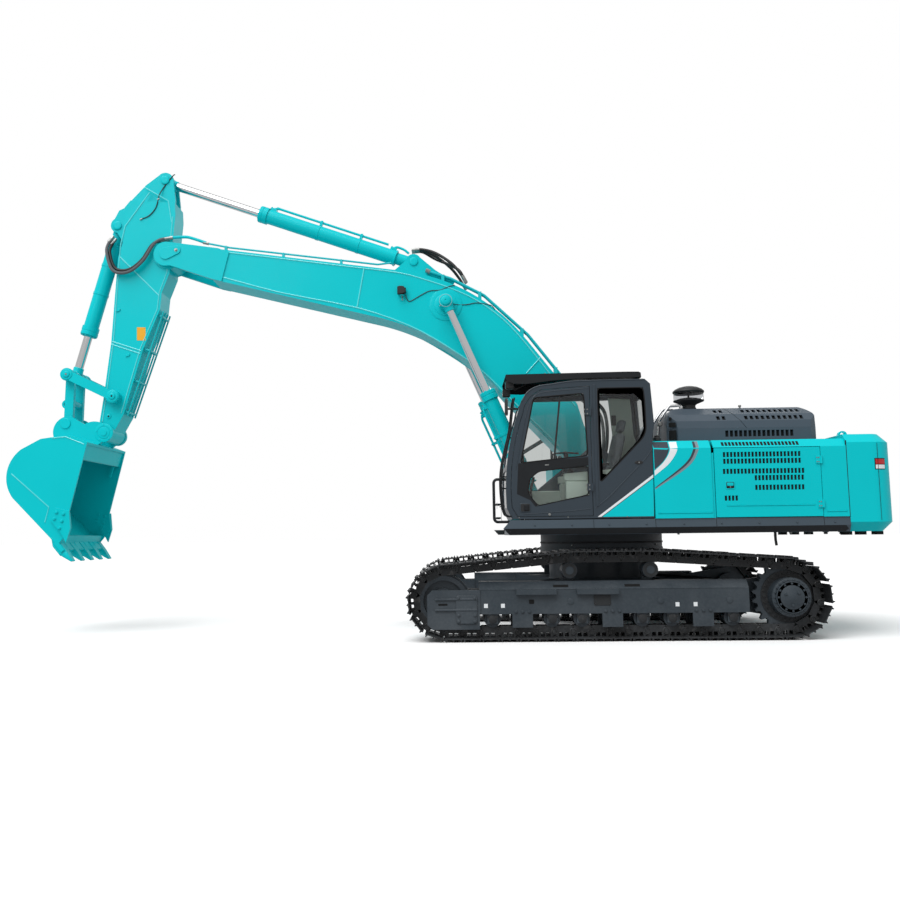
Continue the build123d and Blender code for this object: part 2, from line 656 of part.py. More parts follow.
with BuildPart() as counterweight:
    with BuildSketch(Plane.XY.offset(DECK_Z)) as plan:
        with BuildLine():
            contour((SWING_X + WEIGHT_FRONT_X, -HOUSE_HALF_WIDTH),
                    (SWING_X + WEIGHT_SIDE_END_X, -HOUSE_HALF_WIDTH),
                    ((SWING_X + TAIL_RADIUS, 0), (SWING_X + WEIGHT_SIDE_END_X, HOUSE_HALF_WIDTH)),
                    (SWING_X + WEIGHT_FRONT_X, HOUSE_HALF_WIDTH))
        make_face()
        fillet(plan.vertices().group_by(Axis.X)[-1], radius=WEIGHT_CORNER_RADIUS)
    extrude(plan.sketch, amount=WEIGHT_TOP_Z - DECK_Z)
    for height, bevel in ((-1, WEIGHT_TOP_BEVEL), (0, WEIGHT_BOTTOM_BEVEL)):
        rim = counterweight.faces().sort_by(Axis.Z)[height].edges()
        rim = rim.filter_by(lambda edge: edge.center().X > SWING_X + WEIGHT_FRONT_X + 10)
        chamfer(rim, length=bevel, length2=bevel)
    for _, side in SIDES:
        for x in WEIGHT_FOOT_XS:
            block((SWING_X + x - 45, SWING_X + x + 45), lane(side, WEIGHT_FOOT_Y - 120, WEIGHT_FOOT_Y),
                  (DECK_Z - WEIGHT_FOOT_HEIGHT, DECK_Z))
        lug = lane(side, LIFT_LUG_Y - LIFT_LUG_WIDTH / 2, LIFT_LUG_Y + LIFT_LUG_WIDTH / 2)
        cross_plate(lug, at(LIFT_LUG_X - 75, WEIGHT_TOP_Z - 5), at(LIFT_LUG_X - 45, LIFT_LUG_Z + 30),
                    (at(LIFT_LUG_X, LIFT_LUG_Z + 48), at(LIFT_LUG_X + 45, LIFT_LUG_Z + 30)),
                    at(LIFT_LUG_X + 75, WEIGHT_TOP_Z - 5))
        cross_pin(at(LIFT_LUG_X, LIFT_LUG_Z), LIFT_BORE_RADIUS, lug, mode=Mode.SUBTRACT)
counterweight.part.label = "counterweight"
export_step(counterweight.part, "parts/counterweight.step")

# ---------------------------------------------------------------------------------------------
# Body behind the cab: engine, panels, tanks, doors and hood
# ---------------------------------------------------------------------------------------------

with BuildPart() as engine_block:
    block((SWING_X + 1420, SWING_X + 2330), (-560, 520), (DECK_TOP_Z + 90, 2180))
    block((SWING_X + 1560, SWING_X + 2200), (-380, 340), (2180, 2300))
engine_block.part.label = "engine_block"
export_step(engine_block.part, "parts/engine_block.step")


def panel_outline(side):
    """Cross-section of a side panel in plan order Y, Z: upright, then leaning inwards, then flat."""
    outer, inner = side * HOUSE_HALF_WIDTH, side * (HOUSE_HALF_WIDTH - BEVEL_INSET)
    wall = side * PANEL_THICKNESS
    edge = side * (HOOD_HALF_WIDTH + 12)
    return [(outer, SKIRT_TOP_Z), (outer, BEVEL_Z), (inner, PANEL_TOP_Z), (edge, PANEL_TOP_Z),
            (edge, PANEL_TOP_Z - PANEL_THICKNESS), (inner - wall / 2, PANEL_TOP_Z - PANEL_THICKNESS),
            (outer - wall, BEVEL_Z - 10), (outer - wall, SKIRT_TOP_Z)]


def side_panel(x_low, x_high, side):
    """A length of panel between two x places."""
    with BuildSketch(Plane.YZ.offset(SWING_X + x_low)) as section:
        with BuildLine():
            Polyline(*panel_outline(side), close=True)
        make_face()
    extrude(section.sketch, amount=x_high - x_low)


def door_skin(x_low, x_high, side):
    """The upright part of a panel, which opens as a door up to the bevel."""
    face = lane(side, HOUSE_HALF_WIDTH - PANEL_THICKNESS, HOUSE_HALF_WIDTH)
    block((SWING_X + x_low + SEAM_GAP, SWING_X + x_high - SEAM_GAP), face,
          (SKIRT_TOP_Z + SEAM_GAP, BEVEL_Z - SEAM_GAP))


with BuildPart() as body_panels:
    for _, side in SIDES:
        side_panel(DOOR_REAR_X, WEIGHT_FRONT_X, side)
        side_panel(DOOR_FRONT_X, DOOR_REAR_X, side)
        opening = lane(side, HOUSE_HALF_WIDTH - 60, HOUSE_HALF_WIDTH + 2)
        block((SWING_X + DOOR_FRONT_X, SWING_X + DOOR_REAR_X), opening,
              (SKIRT_TOP_Z - 2, BEVEL_Z), mode=Mode.SUBTRACT)
        for x in (DOOR_FRONT_X - 30, DOOR_REAR_X):
            block((SWING_X + x, SWING_X + x + 30), lane(side, HOOD_HALF_WIDTH + 30, DECK_HALF_WIDTH - 60),
                  (DECK_TOP_Z, PANEL_TOP_Z - PANEL_THICKNESS / 2))
            block((SWING_X + x, SWING_X + x + 30), lane(side, HOOD_HALF_WIDTH + 30, HOUSE_HALF_WIDTH - 12),
                  (SKIRT_TOP_Z, BEVEL_Z - 60))
body_panels.part.label = "body_panels"
export_step(body_panels.part, "parts/body_panels.step")

with BuildPart() as left_front_panel:
    side_panel(FRONT_PANEL_X, DOOR_FRONT_X - 30, -1)
    block((SWING_X + FRONT_PANEL_X, SWING_X + FRONT_PANEL_X + PANEL_THICKNESS),
          (-DECK_HALF_WIDTH, -BOOM_CYLINDER_Y), (DECK_TOP_Z, BEVEL_Z))
left_front_panel.part.label = "left_front_panel"
export_step(left_front_panel.part, "parts/left_front_panel.step")

LOUVRE_WIDTH = 30.0

# Rows of louvre slots on a door: lower z, first x and last x
LOUVRE_ROWS = (
    (2125.0, 1255.0, 2160.0),
    (2045.0, 1255.0, 2160.0),
    (1925.0, 1255.0, 2185.0),
    (1845.0, 1610.0, 2190.0),
    (1730.0, 1610.0, 2190.0),
    (1608.0, 1255.0, 1400.0),
)


def louvre_row(face, low, first, last):
    """A row of upright slots pressed through a door's skin."""
    count = int((last - first) / LOUVRE_PITCH) + 1
    with Locations((SWING_X + (first + last) / 2, (face[0] + face[1]) / 2, low + LOUVRE_HEIGHT / 2)):
        with GridLocations(LOUVRE_PITCH, 1, count, 1):
            Box(LOUVRE_WIDTH, abs(face[1] - face[0]), LOUVRE_HEIGHT, mode=Mode.SUBTRACT)


for side_name, side in SIDES:
    with BuildPart() as side_door:
        door_skin(DOOR_FRONT_X, DOOR_REAR_X, side)
        for z in (1560, 2080):
            door_hinge(DOOR_REAR_X, side * HOUSE_HALF_WIDTH, side, z)
        pressed = lane(side, HOUSE_HALF_WIDTH - LOUVRE_DEPTH, HOUSE_HALF_WIDTH + 1)
        for low, first, last in LOUVRE_ROWS:
            louvre_row(pressed, low, first, last)
    side_door.part.label = f"side_door_{side_name}"
    export_step(side_door.part, f"parts/side_door_{side_name}.step")

RIGHT_TANK_INNER = 560.0


def side_box(xs, inner_y, top_z, corner):
    """A box on the deck's right edge, its lower part inside the skirt, its upper edges rounded."""
    block(xs, (inner_y, HOUSE_HALF_WIDTH), (SKIRT_TOP_Z, top_z))
    fillet(edges_of_top().filter_by(Axis.X), radius=corner)
    block(xs, (inner_y, DECK_HALF_WIDTH), (DECK_TOP_Z, SKIRT_TOP_Z))


def edges_of_top():
    """Edges of the highest face of the part being built."""
    return BuildPart._get_context().faces().sort_by(Axis.Z)[-1].edges()


with BuildPart() as hydraulic_tank:
    side_box((SWING_X + 330, SWING_X + DOOR_FRONT_X - 30), RIGHT_TANK_INNER, PANEL_TOP_Z - PANEL_THICKNESS, 60)
hydraulic_tank.part.label = "hydraulic_tank"
export_step(hydraulic_tank.part, "parts/hydraulic_tank.step")

FUEL_TANK_TOP_Z = 2250.0
TOOL_BOX_TOP_Z = 1860.0
TOOL_BOX_FRONT_X = -1150.0

with BuildPart() as fuel_tank:
    side_box((SWING_X - 560, SWING_X + 320), RIGHT_TANK_INNER, FUEL_TANK_TOP_Z, 60)
fuel_tank.part.label = "fuel_tank"
export_step(fuel_tank.part, "parts/fuel_tank.step")

with BuildPart() as tool_box:
    side_box((SWING_X + TOOL_BOX_FRONT_X, SWING_X - 570), RIGHT_TANK_INNER + 120, TOOL_BOX_TOP_Z, 40)
tool_box.part.label = "tool_box"
export_step(tool_box.part, "parts/tool_box.step")


def hood_plan(z_low, z_high, inset, mode):
    """An upright block over the hood's plan with chamfered corners, drawn in all round."""
    with BuildSketch(Plane.XY.offset(z_low)) as plan:
        with Locations((SWING_X + (HOOD_FRONT_X + HOOD_REAR_X) / 2, 0)):
            Rectangle(HOOD_REAR_X - HOOD_FRONT_X, 2 * HOOD_HALF_WIDTH)
        for end, cut in ((0, HOOD_FRONT_CUT), (-1, HOOD_REAR_CUT)):
            chamfer(plan.vertices().group_by(Axis.X)[end], length=cut)
        if inset:
            offset(amount=-inset, kind=Kind.INTERSECTION, mode=Mode.REPLACE)
    extrude(plan.sketch, amount=z_high - z_low, mode=mode)


HOOD_SLOT_MIDDLE_X = 1790.0
HOOD_SLOT_PITCH = 56.0
HOOD_SLOT_COUNT = 15
HOOD_SLOT_HEIGHT = 76.0

with BuildPart() as hood_base:
    hood_plan(PANEL_TOP_Z - PANEL_THICKNESS, HOOD_BASE_Z, 0, Mode.ADD)
    hood_plan(PANEL_TOP_Z - PANEL_THICKNESS - 1, HOOD_BASE_Z + 1, HOOD_WALL, Mode.SUBTRACT)
    with BuildPart(mode=Mode.PRIVATE) as roof:
        block((SWING_X + HOOD_REAR_X - HOOD_REAR_CUT, SWING_X + WEIGHT_FRONT_X),
              (-HOOD_HALF_WIDTH - 12, HOOD_HALF_WIDTH + 12), (PANEL_TOP_Z - PANEL_THICKNESS, PANEL_TOP_Z))
        block((SWING_X + FRONT_PANEL_X, SWING_X + HOOD_FRONT_X + HOOD_FRONT_CUT),
              (-HOOD_HALF_WIDTH, RIGHT_TANK_INNER), (PANEL_TOP_Z - PANEL_THICKNESS, PANEL_TOP_Z))
        hood_plan(PANEL_TOP_Z - PANEL_THICKNESS - 1, PANEL_TOP_Z + 1, HOOD_WALL / 2, Mode.SUBTRACT)
    add(roof.part)
    for y in (-HOOD_HALF_WIDTH - 12, HOOD_HALF_WIDTH):
        block((SWING_X + FRONT_PANEL_X, SWING_X + HOOD_REAR_X), (y, y + 12),
              (PANEL_TOP_Z - PANEL_THICKNESS, PANEL_TOP_Z))
    with Locations((SWING_X + HOOD_SLOT_MIDDLE_X, 0, (HOOD_BASE_Z + PANEL_TOP_Z) / 2 + 16)):
        with GridLocations(HOOD_SLOT_PITCH, 1, HOOD_SLOT_COUNT, 1):
            Box(HOOD_SLOT_PITCH - 18, 2 * HOOD_HALF_WIDTH + 2, HOOD_SLOT_HEIGHT, mode=Mode.SUBTRACT)
hood_base.part.label = "hood_base"
export_step(hood_base.part, "parts/hood_base.step")


HOOD_SHOULDERS = ((18.0, 2600.0), (105.0, 2690.0), (290.0, HOOD_TOP_Z))
# How far the cover's side has drawn in at each height
HOOD_SEAM_REACH = 110.0


def hood_cover():
    """The whole cover: sloping sides, a rounded front and rear, open below."""
    z_low = HOOD_BASE_Z + RUNNING_GAP
    for inset, mode in ((0, Mode.ADD), (HOOD_WALL, Mode.SUBTRACT)):
        foot = z_low - 2 * inset
        half = [(HOOD_HALF_WIDTH, foot)] + [(HOOD_HALF_WIDTH - tuck, z) for tuck, z in HOOD_SHOULDERS]
        with BuildPart(mode=Mode.PRIVATE) as layer:
            with BuildSketch(Plane.YZ.offset(SWING_X + HOOD_FRONT_X)) as across:
                with BuildLine():
                    Polyline(*half, *[(-y, z) for y, z in reversed(half)], close=True)
                make_face()
                if inset:
                    offset(amount=-inset, kind=Kind.INTERSECTION, mode=Mode.REPLACE)
            extrude(across.sketch, amount=HOOD_REAR_X - HOOD_FRONT_X)
            with BuildSketch(Plane.XZ) as along:
                with BuildLine():
                    front = Line(at(HOOD_FRONT_X, foot), at(HOOD_FRONT_X + 6, 2620))
                    nose = ThreePointArc(front @ 1, at(HOOD_FRONT_X + 52, 2733), at(HOOD_FRONT_X + 185, HOOD_TOP_Z))
                    top = Line(nose @ 1, at(HOOD_REAR_X - 135, HOOD_TOP_Z))
                    tail = ThreePointArc(top @ 1, at(HOOD_REAR_X - 46, 2725), at(HOOD_REAR_X - 8, 2610))
                    Polyline(tail @ 1, at(HOOD_REAR_X, foot), front @ 0)
                make_face()
                if inset:
                    offset(amount=-inset, kind=Kind.INTERSECTION, mode=Mode.REPLACE)
            extrude(along.sketch, amount=HOOD_HALF_WIDTH, both=True, mode=Mode.INTERSECT)
            hood_plan(foot - 1, HOOD_TOP_Z + 1, inset, Mode.INTERSECT)
        add(layer.part, mode=mode)


def seam_side(shift, far_x):
    """Keeps what lies on one side of the hood's slanting seam."""
    low, high = HOOD_BASE_Z - HOOD_SEAM_REACH, HOOD_TOP_Z + HOOD_SEAM_REACH
    lean = HOOD_SPLIT_RUN / (HOOD_TOP_Z - HOOD_BASE_Z)
    foot_x = HOOD_SPLIT_X + HOOD_SPLIT_RUN + HOOD_SEAM_REACH * lean + shift
    head_x = HOOD_SPLIT_X - HOOD_SEAM_REACH * lean + shift
    cross_plate((-HOUSE_HALF_WIDTH, HOUSE_HALF_WIDTH), at(foot_x, low), at(far_x, low), at(far_x, high),
                at(head_x, high), mode=Mode.INTERSECT)


HOOD_VENT_MIDDLE_X = 1990.0
HOOD_VENT_PITCH = 67.0
HOOD_VENT_COUNT = 11
HOOD_VENT_LEVELS = ((2636.0, 50.0), (2734.0, 40.0))  # middle and height of each row
FRONT_VENT_MIDDLE_X = 1348.0


def vent_rows(middle_x, count):
    """Two rows of slots through the cover's sloping sides."""
    for z, height in HOOD_VENT_LEVELS:
        with Locations((SWING_X + middle_x, 0, z)):
            with GridLocations(HOOD_VENT_PITCH, 1, count, 1):
                Box(HOOD_VENT_PITCH - 27, 2 * HOOD_HALF_WIDTH + 2, height, mode=Mode.SUBTRACT)


with BuildPart() as hood_front:
    hood_cover()
    seam_side(-SEAM_GAP / 2, HOOD_FRONT_X - 1)
    vent_rows(FRONT_VENT_MIDDLE_X, 2)
hood_front.part.label = "hood_front"
export_step(hood_front.part, "parts/hood_front.step")

with BuildPart() as hood:
    hood_cover()
    seam_side(SEAM_GAP / 2, HOOD_REAR_X + 1)
    vent_rows(HOOD_VENT_MIDDLE_X, HOOD_VENT_COUNT)
hood.part.label = "hood"
export_step(hood.part, "parts/hood.step")

PRE_CLEANER_X = 1058.0
PRE_CLEANER_Y = -760.0
with BuildPart() as pre_cleaner:
    with BuildSketch(Plane.XZ.offset(-PRE_CLEANER_Y)) as half:
        with BuildLine():
            Polyline(at(PRE_CLEANER_X, HOOD_TOP_Z), at(PRE_CLEANER_X + 82, HOOD_TOP_Z),
                     at(PRE_CLEANER_X + 82, 2860), at(PRE_CLEANER_X + 195, 2905), at(PRE_CLEANER_X + 150, 2930),
                     at(PRE_CLEANER_X + 160, 3000), at(PRE_CLEANER_X + 198, 3025),
                     at(PRE_CLEANER_X + 150, 3075), at(PRE_CLEANER_X + 40, 3096), at(PRE_CLEANER_X, 3096),
                     close=True)
        make_face()
    revolve(half.sketch, axis=Axis((SWING_X + PRE_CLEANER_X, PRE_CLEANER_Y, 0), (0, 0, 1)))
pre_cleaner.part.label = "pre_cleaner"
export_step(pre_cleaner.part, "parts/pre_cleaner.step")

# ---------------------------------------------------------------------------------------------
# Cab: hollow shell with cut windows, door, glass, guard and what stands inside
# ---------------------------------------------------------------------------------------------

CAB_OUTLINE = (
    at(419, CAB_FLOOR_Z), at(-1264, CAB_FLOOR_Z), at(-1322, 1545), (at(-1312, 2060), at(-1158, 2725)),
    (at(-1085, 2905), at(-905, 3030)), at(-482, CAB_ROOF_Z - 8), at(365, CAB_ROOF_Z), at(430, CAB_ROOF_Z - 60), at(460, 2528),
    at(430, 2385),
)
DOOR_OUTLINE = (
    at(-303, 1452), at(-1195, 1452), at(-1258, 1560), (at(-1250, 2060), at(-1105, 2690)),
    (at(-1040, 2850), at(-880, 2972)), at(-303, 3010),
)
UPPER_DOOR_WINDOW = (at(-372, 2925), at(-975, 2880), at(-1040, 2580), at(-1150, 2090), at(-342, 2170))
LOWER_DOOR_WINDOW = (at(-344, 2050), at(-935, 1990), at(-1045, 1900), at(-1070, 1730), at(-956, 1575),
                     at(-346, 1700))
QUARTER_WINDOW = (at(-205, 2985), at(-205, 1862), at(-185, 1862), at(322, 2375), at(362, 2470), at(345, 2985))
RIGHT_WINDOW = (at(330, 2960), at(-930, 2950), at(-1060, 2700), at(-1180, 2080), at(-1180, 1800),
                at(330, 1800))
CAB_MIDDLE_Y = (CAB_LEFT_Y + CAB_RIGHT_Y) / 2
LEFT_WALL = (CAB_LEFT_Y - 1, CAB_LEFT_Y + CAB_WALL + 1)
RIGHT_WALL = (CAB_RIGHT_Y - CAB_WALL - 1, CAB_RIGHT_Y + 1)
WINDOW_YS = (CAB_LEFT_Y + 75, CAB_RIGHT_Y - 75)
ROOF_HATCH_X = (-760.0, -60.0)



def cab_body():
    """The whole cab: outer skin, room inside, door hole, window holes and feet."""
    skin = side_profile(CAB_LEFT_Y, *CAB_OUTLINE)
    extrude(skin, amount=CAB_LEFT_Y - CAB_RIGHT_Y)
    room = offset(skin, amount=-CAB_WALL, kind=Kind.INTERSECTION, mode=Mode.PRIVATE)
    extrude(room.moved(Location((0, CAB_WALL, 0))),
            amount=CAB_LEFT_Y - CAB_RIGHT_Y + 2 * CAB_WALL, mode=Mode.SUBTRACT)
    door_hole = offset(side_profile(LEFT_WALL[0], *DOOR_OUTLINE), amount=SEAM_GAP, kind=Kind.INTERSECTION,
                       mode=Mode.PRIVATE)
    extrude(door_hole, amount=LEFT_WALL[0] - LEFT_WALL[1], mode=Mode.SUBTRACT)
    cross_plate(LEFT_WALL, *QUARTER_WINDOW, mode=Mode.SUBTRACT)
    cross_plate(RIGHT_WALL, *RIGHT_WINDOW, mode=Mode.SUBTRACT)
    block((SWING_X - 1400, SWING_X - 1000), WINDOW_YS, (2080, 2900), mode=Mode.SUBTRACT)
    block((SWING_X - 1400, SWING_X - 1200), WINDOW_YS, (1560, 2020), mode=Mode.SUBTRACT)
    block((SWING_X + 300, SWING_X + 500), WINDOW_YS, (2050, 2930), mode=Mode.SUBTRACT)
    block((SWING_X + ROOF_HATCH_X[0], SWING_X + ROOF_HATCH_X[1]), (CAB_LEFT_Y + 160, CAB_RIGHT_Y - 160),
          (CAB_ROOF_Z - 70, CAB_ROOF_Z + 30), mode=Mode.SUBTRACT)
    for x in CAB_FOOT_XS:
        for y in (CAB_LEFT_Y + 90, CAB_RIGHT_Y - 90):
            block((SWING_X + x - 60, SWING_X + x + 60), (y - 60, y + 60), (DECK_TOP_Z, CAB_FLOOR_Z + 1))


CAB_FOOT_XS = (-1050.0, 200.0)
CAB_LENGTH = (SWING_X - 1500, SWING_X + 600)
LEFT_FRAME_YS = (CAB_LEFT_Y - 1, CAB_LEFT_Y + CAB_WALL)
CAB_FLOOR_TOP_Z = CAB_FLOOR_Z + CAB_WALL

# Name and the box that holds each panel of the cab, which meet face to face
CAB_PANELS = (
    ("cab_floor", (CAB_LEFT_Y - 1, CAB_RIGHT_Y + 1), (DECK_TOP_Z, CAB_FLOOR_TOP_Z)),
    ("cab_left_frame", LEFT_FRAME_YS, (CAB_FLOOR_TOP_Z, CAB_ROOF_Z + 1)),
    ("cab_shell", (LEFT_FRAME_YS[1], CAB_RIGHT_Y + 1), (CAB_FLOOR_TOP_Z, CAB_ROOF_Z + 1)),
)

for panel_name, ys, zs in CAB_PANELS:
    with BuildPart() as cab_panel:
        cab_body()
        block(CAB_LENGTH, ys, zs, mode=Mode.INTERSECT)
    cab_panel.part.label = panel_name
    export_step(cab_panel.part, f"parts/{panel_name}.step")


def pane(y, *outline):
    """A flat side window pane, the seal's thickness smaller than its hole."""
    face = offset(side_profile(y, *outline), amount=-RUNNING_GAP, kind=Kind.INTERSECTION, mode=Mode.PRIVATE)
    extrude(face, amount=-GLASS_THICKNESS)


with BuildPart() as cab_glass:
    pane(CAB_LEFT_Y + 8, *QUARTER_WINDOW)
    pane(CAB_RIGHT_Y - 16, *RIGHT_WINDOW)
    skin = side_profile(WINDOW_YS[0] + RUNNING_GAP, *CAB_OUTLINE)
    glazing = offset(skin, amount=-10, kind=Kind.INTERSECTION, mode=Mode.PRIVATE)
    inside = offset(skin, amount=-10 - GLASS_THICKNESS, kind=Kind.INTERSECTION, mode=Mode.PRIVATE)
    band = glazing.face() - inside.face()
    with BuildPart(mode=Mode.PRIVATE) as wrap:
        extrude(band, amount=WINDOW_YS[0] - WINDOW_YS[1] + 2 * RUNNING_GAP)
    with BuildPart(mode=Mode.PRIVATE) as windows:
        for xs, zs in (((-1400, -1000), (2080, 2900)), ((-1400, -1200), (1560, 2020)), ((300, 500), (2050, 2930))):
            block((SWING_X + xs[0], SWING_X + xs[1]), WINDOW_YS,
                  (zs[0] + RUNNING_GAP, zs[1] - RUNNING_GAP))
    add(wrap.part & windows.part)
    block((SWING_X + ROOF_HATCH_X[0] + RUNNING_GAP, SWING_X + ROOF_HATCH_X[1] - RUNNING_GAP),
          (CAB_LEFT_Y + 160 + RUNNING_GAP, CAB_RIGHT_Y - 160 - RUNNING_GAP), (3052, 3060))
cab_glass.part.label = "cab_glass"
export_step(cab_glass.part, "parts/cab_glass.step")

DOOR_SPAN = (CAB_LEFT_Y, CAB_LEFT_Y + DOOR_LEAF)
with BuildPart() as cab_door:
    cross_plate(DOOR_SPAN, *DOOR_OUTLINE)
    for window in (UPPER_DOOR_WINDOW, LOWER_DOOR_WINDOW):
        cross_plate((DOOR_SPAN[0] - 1, DOOR_SPAN[1] + 1), *window, mode=Mode.SUBTRACT)
    for z in (1790, 2700):
        door_hinge(DOOR_HINGE_X, CAB_LEFT_Y, -1, z)
cab_door.part.label = "cab_door"
export_step(cab_door.part, "parts/cab_door.step")

with BuildPart() as door_glass:
    for window in (UPPER_DOOR_WINDOW, LOWER_DOOR_WINDOW):
        pane(CAB_LEFT_Y + 12, *window)
door_glass.part.label = "door_glass"
export_step(door_glass.part, "parts/door_glass.step")

with BuildPart() as roof_guard:
    block((SWING_X - 1298, SWING_X + 320), (CAB_LEFT_Y + 10, CAB_RIGHT_Y - 10),
          (GUARD_Z, GUARD_Z + GUARD_THICKNESS))
    block((SWING_X - 1238, SWING_X + 260), (CAB_LEFT_Y + 60, CAB_RIGHT_Y - 60),
          (GUARD_Z + 20, GUARD_Z + GUARD_THICKNESS + 1), mode=Mode.SUBTRACT)
    for x in (-820, 180):
        for y in (CAB_LEFT_Y + 110, CAB_RIGHT_Y - 110):
            block((SWING_X + x - 30, SWING_X + x + 30), (y - 20, y + 20), (3020, GUARD_Z + 1))
    for y in (CAB_LEFT_Y + 80, CAB_RIGHT_Y - 160):
        block((SWING_X - 1300, SWING_X - 1200), (y, y + 90), (GUARD_Z - 95, GUARD_Z))
    cross_plate((CAB_LEFT_Y, CAB_RIGHT_Y), *CAB_OUTLINE, mode=Mode.SUBTRACT)
roof_guard.part.label = "roof_guard"
export_step(roof_guard.part, "parts/roof_guard.step")

with BuildPart() as cab_interior:
    seat_y = CAB_MIDDLE_Y
    inner_floor = CAB_FLOOR_Z + CAB_WALL
    block((SWING_X - 480, SWING_X + 40), (seat_y - 200, seat_y + 200), (inner_floor, inner_floor + 330))
    block((SWING_X - 560, SWING_X - 40), (seat_y - 240, seat_y + 240), (inner_floor + 330, inner_floor + 450))
    cross_plate((seat_y - 230, seat_y + 230), at(-100, inner_floor + 440), at(60, inner_floor + 440),
                at(190, inner_floor + 1060), at(90, inner_floor + 1080))
    for _, side in SIDES:
        console = sorted((seat_y + side * 255, seat_y + side * 370))
        block((SWING_X - 620, SWING_X + 120), console, (inner_floor, inner_floor + 560))
cab_interior.part.label = "cab_interior"
export_step(cab_interior.part, "parts/cab_interior.step")

RAIL_RADIUS = 17.0
with BuildPart() as handrails:
    y = CAB_LEFT_Y + 50
    bent_rail(RAIL_RADIUS, 45, (SWING_X - 1225, y, DECK_TOP_Z), (SWING_X - 1225, y, 1390),
              (SWING_X - 1475, y, 1390), (SWING_X - 1475, y, 1900), (SWING_X - 1327, y, 1900))
handrails.part.label = "handrails"
export_step(handrails.part, "parts/handrails.step")

HOOD_RAIL_YS = (-HOOD_HALF_WIDTH + 340, -HOOD_HALF_WIDTH + 740)
RIGHT_RAIL_Y = HOUSE_HALF_WIDTH - 90

with BuildPart() as hood_rails:
    for y in HOOD_RAIL_YS:
        bent_rail(RAIL_RADIUS, 24, at3(930, y, HOOD_TOP_Z + RUNNING_GAP), at3(930, y, HOOD_TOP_Z + 50),
                  at3(790, y, HOOD_TOP_Z + 44), at3(650, y, 2640), at3(620, y, PANEL_TOP_Z - 4))
        block((SWING_X + 580, SWING_X + 660), (y - 40, y + 40), (PANEL_TOP_Z - 40, PANEL_TOP_Z + RUNNING_GAP),
              mode=Mode.SUBTRACT)
hood_rails.part.label = "hood_rails"
export_step(hood_rails.part, "parts/hood_rails.step")

with BuildPart() as right_rails:
    for y in (RIGHT_RAIL_Y, RIGHT_TANK_INNER + 190):
        bent_rail(RAIL_RADIUS, 60, at3(-1100, y, TOOL_BOX_TOP_Z + RUNNING_GAP), at3(-1100, y, 2330),
                  at3(-480, y, 2700), at3(-480, y, FUEL_TANK_TOP_Z + RUNNING_GAP))
right_rails.part.label = "right_rails"
export_step(right_rails.part, "parts/right_rails.step")

with BuildPart() as mirrors:
    block((SWING_X - 1120, SWING_X - 1080), (RIGHT_RAIL_Y + RAIL_RADIUS, RIGHT_RAIL_Y + 85), (1990, 2250))
    block((SWING_X - 1318, SWING_X - 1288), (CAB_LEFT_Y - 30, CAB_LEFT_Y + 130), (2680, 2880))
    block((SWING_X - 1290, SWING_X - 1150), (CAB_LEFT_Y + 25, CAB_LEFT_Y + 50), (2740, 2765))
    cross_plate((CAB_LEFT_Y, CAB_RIGHT_Y), *CAB_OUTLINE, mode=Mode.SUBTRACT)
mirrors.part.label = "mirrors"
export_step(mirrors.part, "parts/mirrors.step")

with BuildPart() as work_lamps:
    block((SWING_X + TOOL_BOX_FRONT_X - 60, SWING_X + TOOL_BOX_FRONT_X), (900, 1080), (1600, 1720))
work_lamps.part.label = "work_lamps"
export_step(work_lamps.part, "parts/work_lamps.step")

EXHAUST_X = 1750.0
EXHAUST_Y = 640.0
with BuildPart() as exhaust_pipe:
    strut((SWING_X + EXHAUST_X, HOOD_TOP_Z), (SWING_X + EXHAUST_X, HOOD_TOP_Z + 160), EXHAUST_Y, 70)
    strut((SWING_X + EXHAUST_X, HOOD_TOP_Z + 20), (SWING_X + EXHAUST_X, HOOD_TOP_Z + 161), EXHAUST_Y, 64,
          mode=Mode.SUBTRACT)
exhaust_pipe.part.label = "exhaust_pipe"
export_step(exhaust_pipe.part, "parts/exhaust_pipe.step")

# ---------------------------------------------------------------------------------------------
# Boom
# ---------------------------------------------------------------------------------------------

BOOM_OUTLINE = (
    at(-5170, 5205), at(-2656, 4843), (at(-1640, 4480), at(-953, 3858)), at(-290, 2960), at(-208, 2666),
    at(20, 2250), at(-100, 2040), at(-330, 2130), at(-560, 2345), at(-1252, 3085),
    (at(-1960, 3745), at(-2920, 4186)), at(-5235, 4775),
)

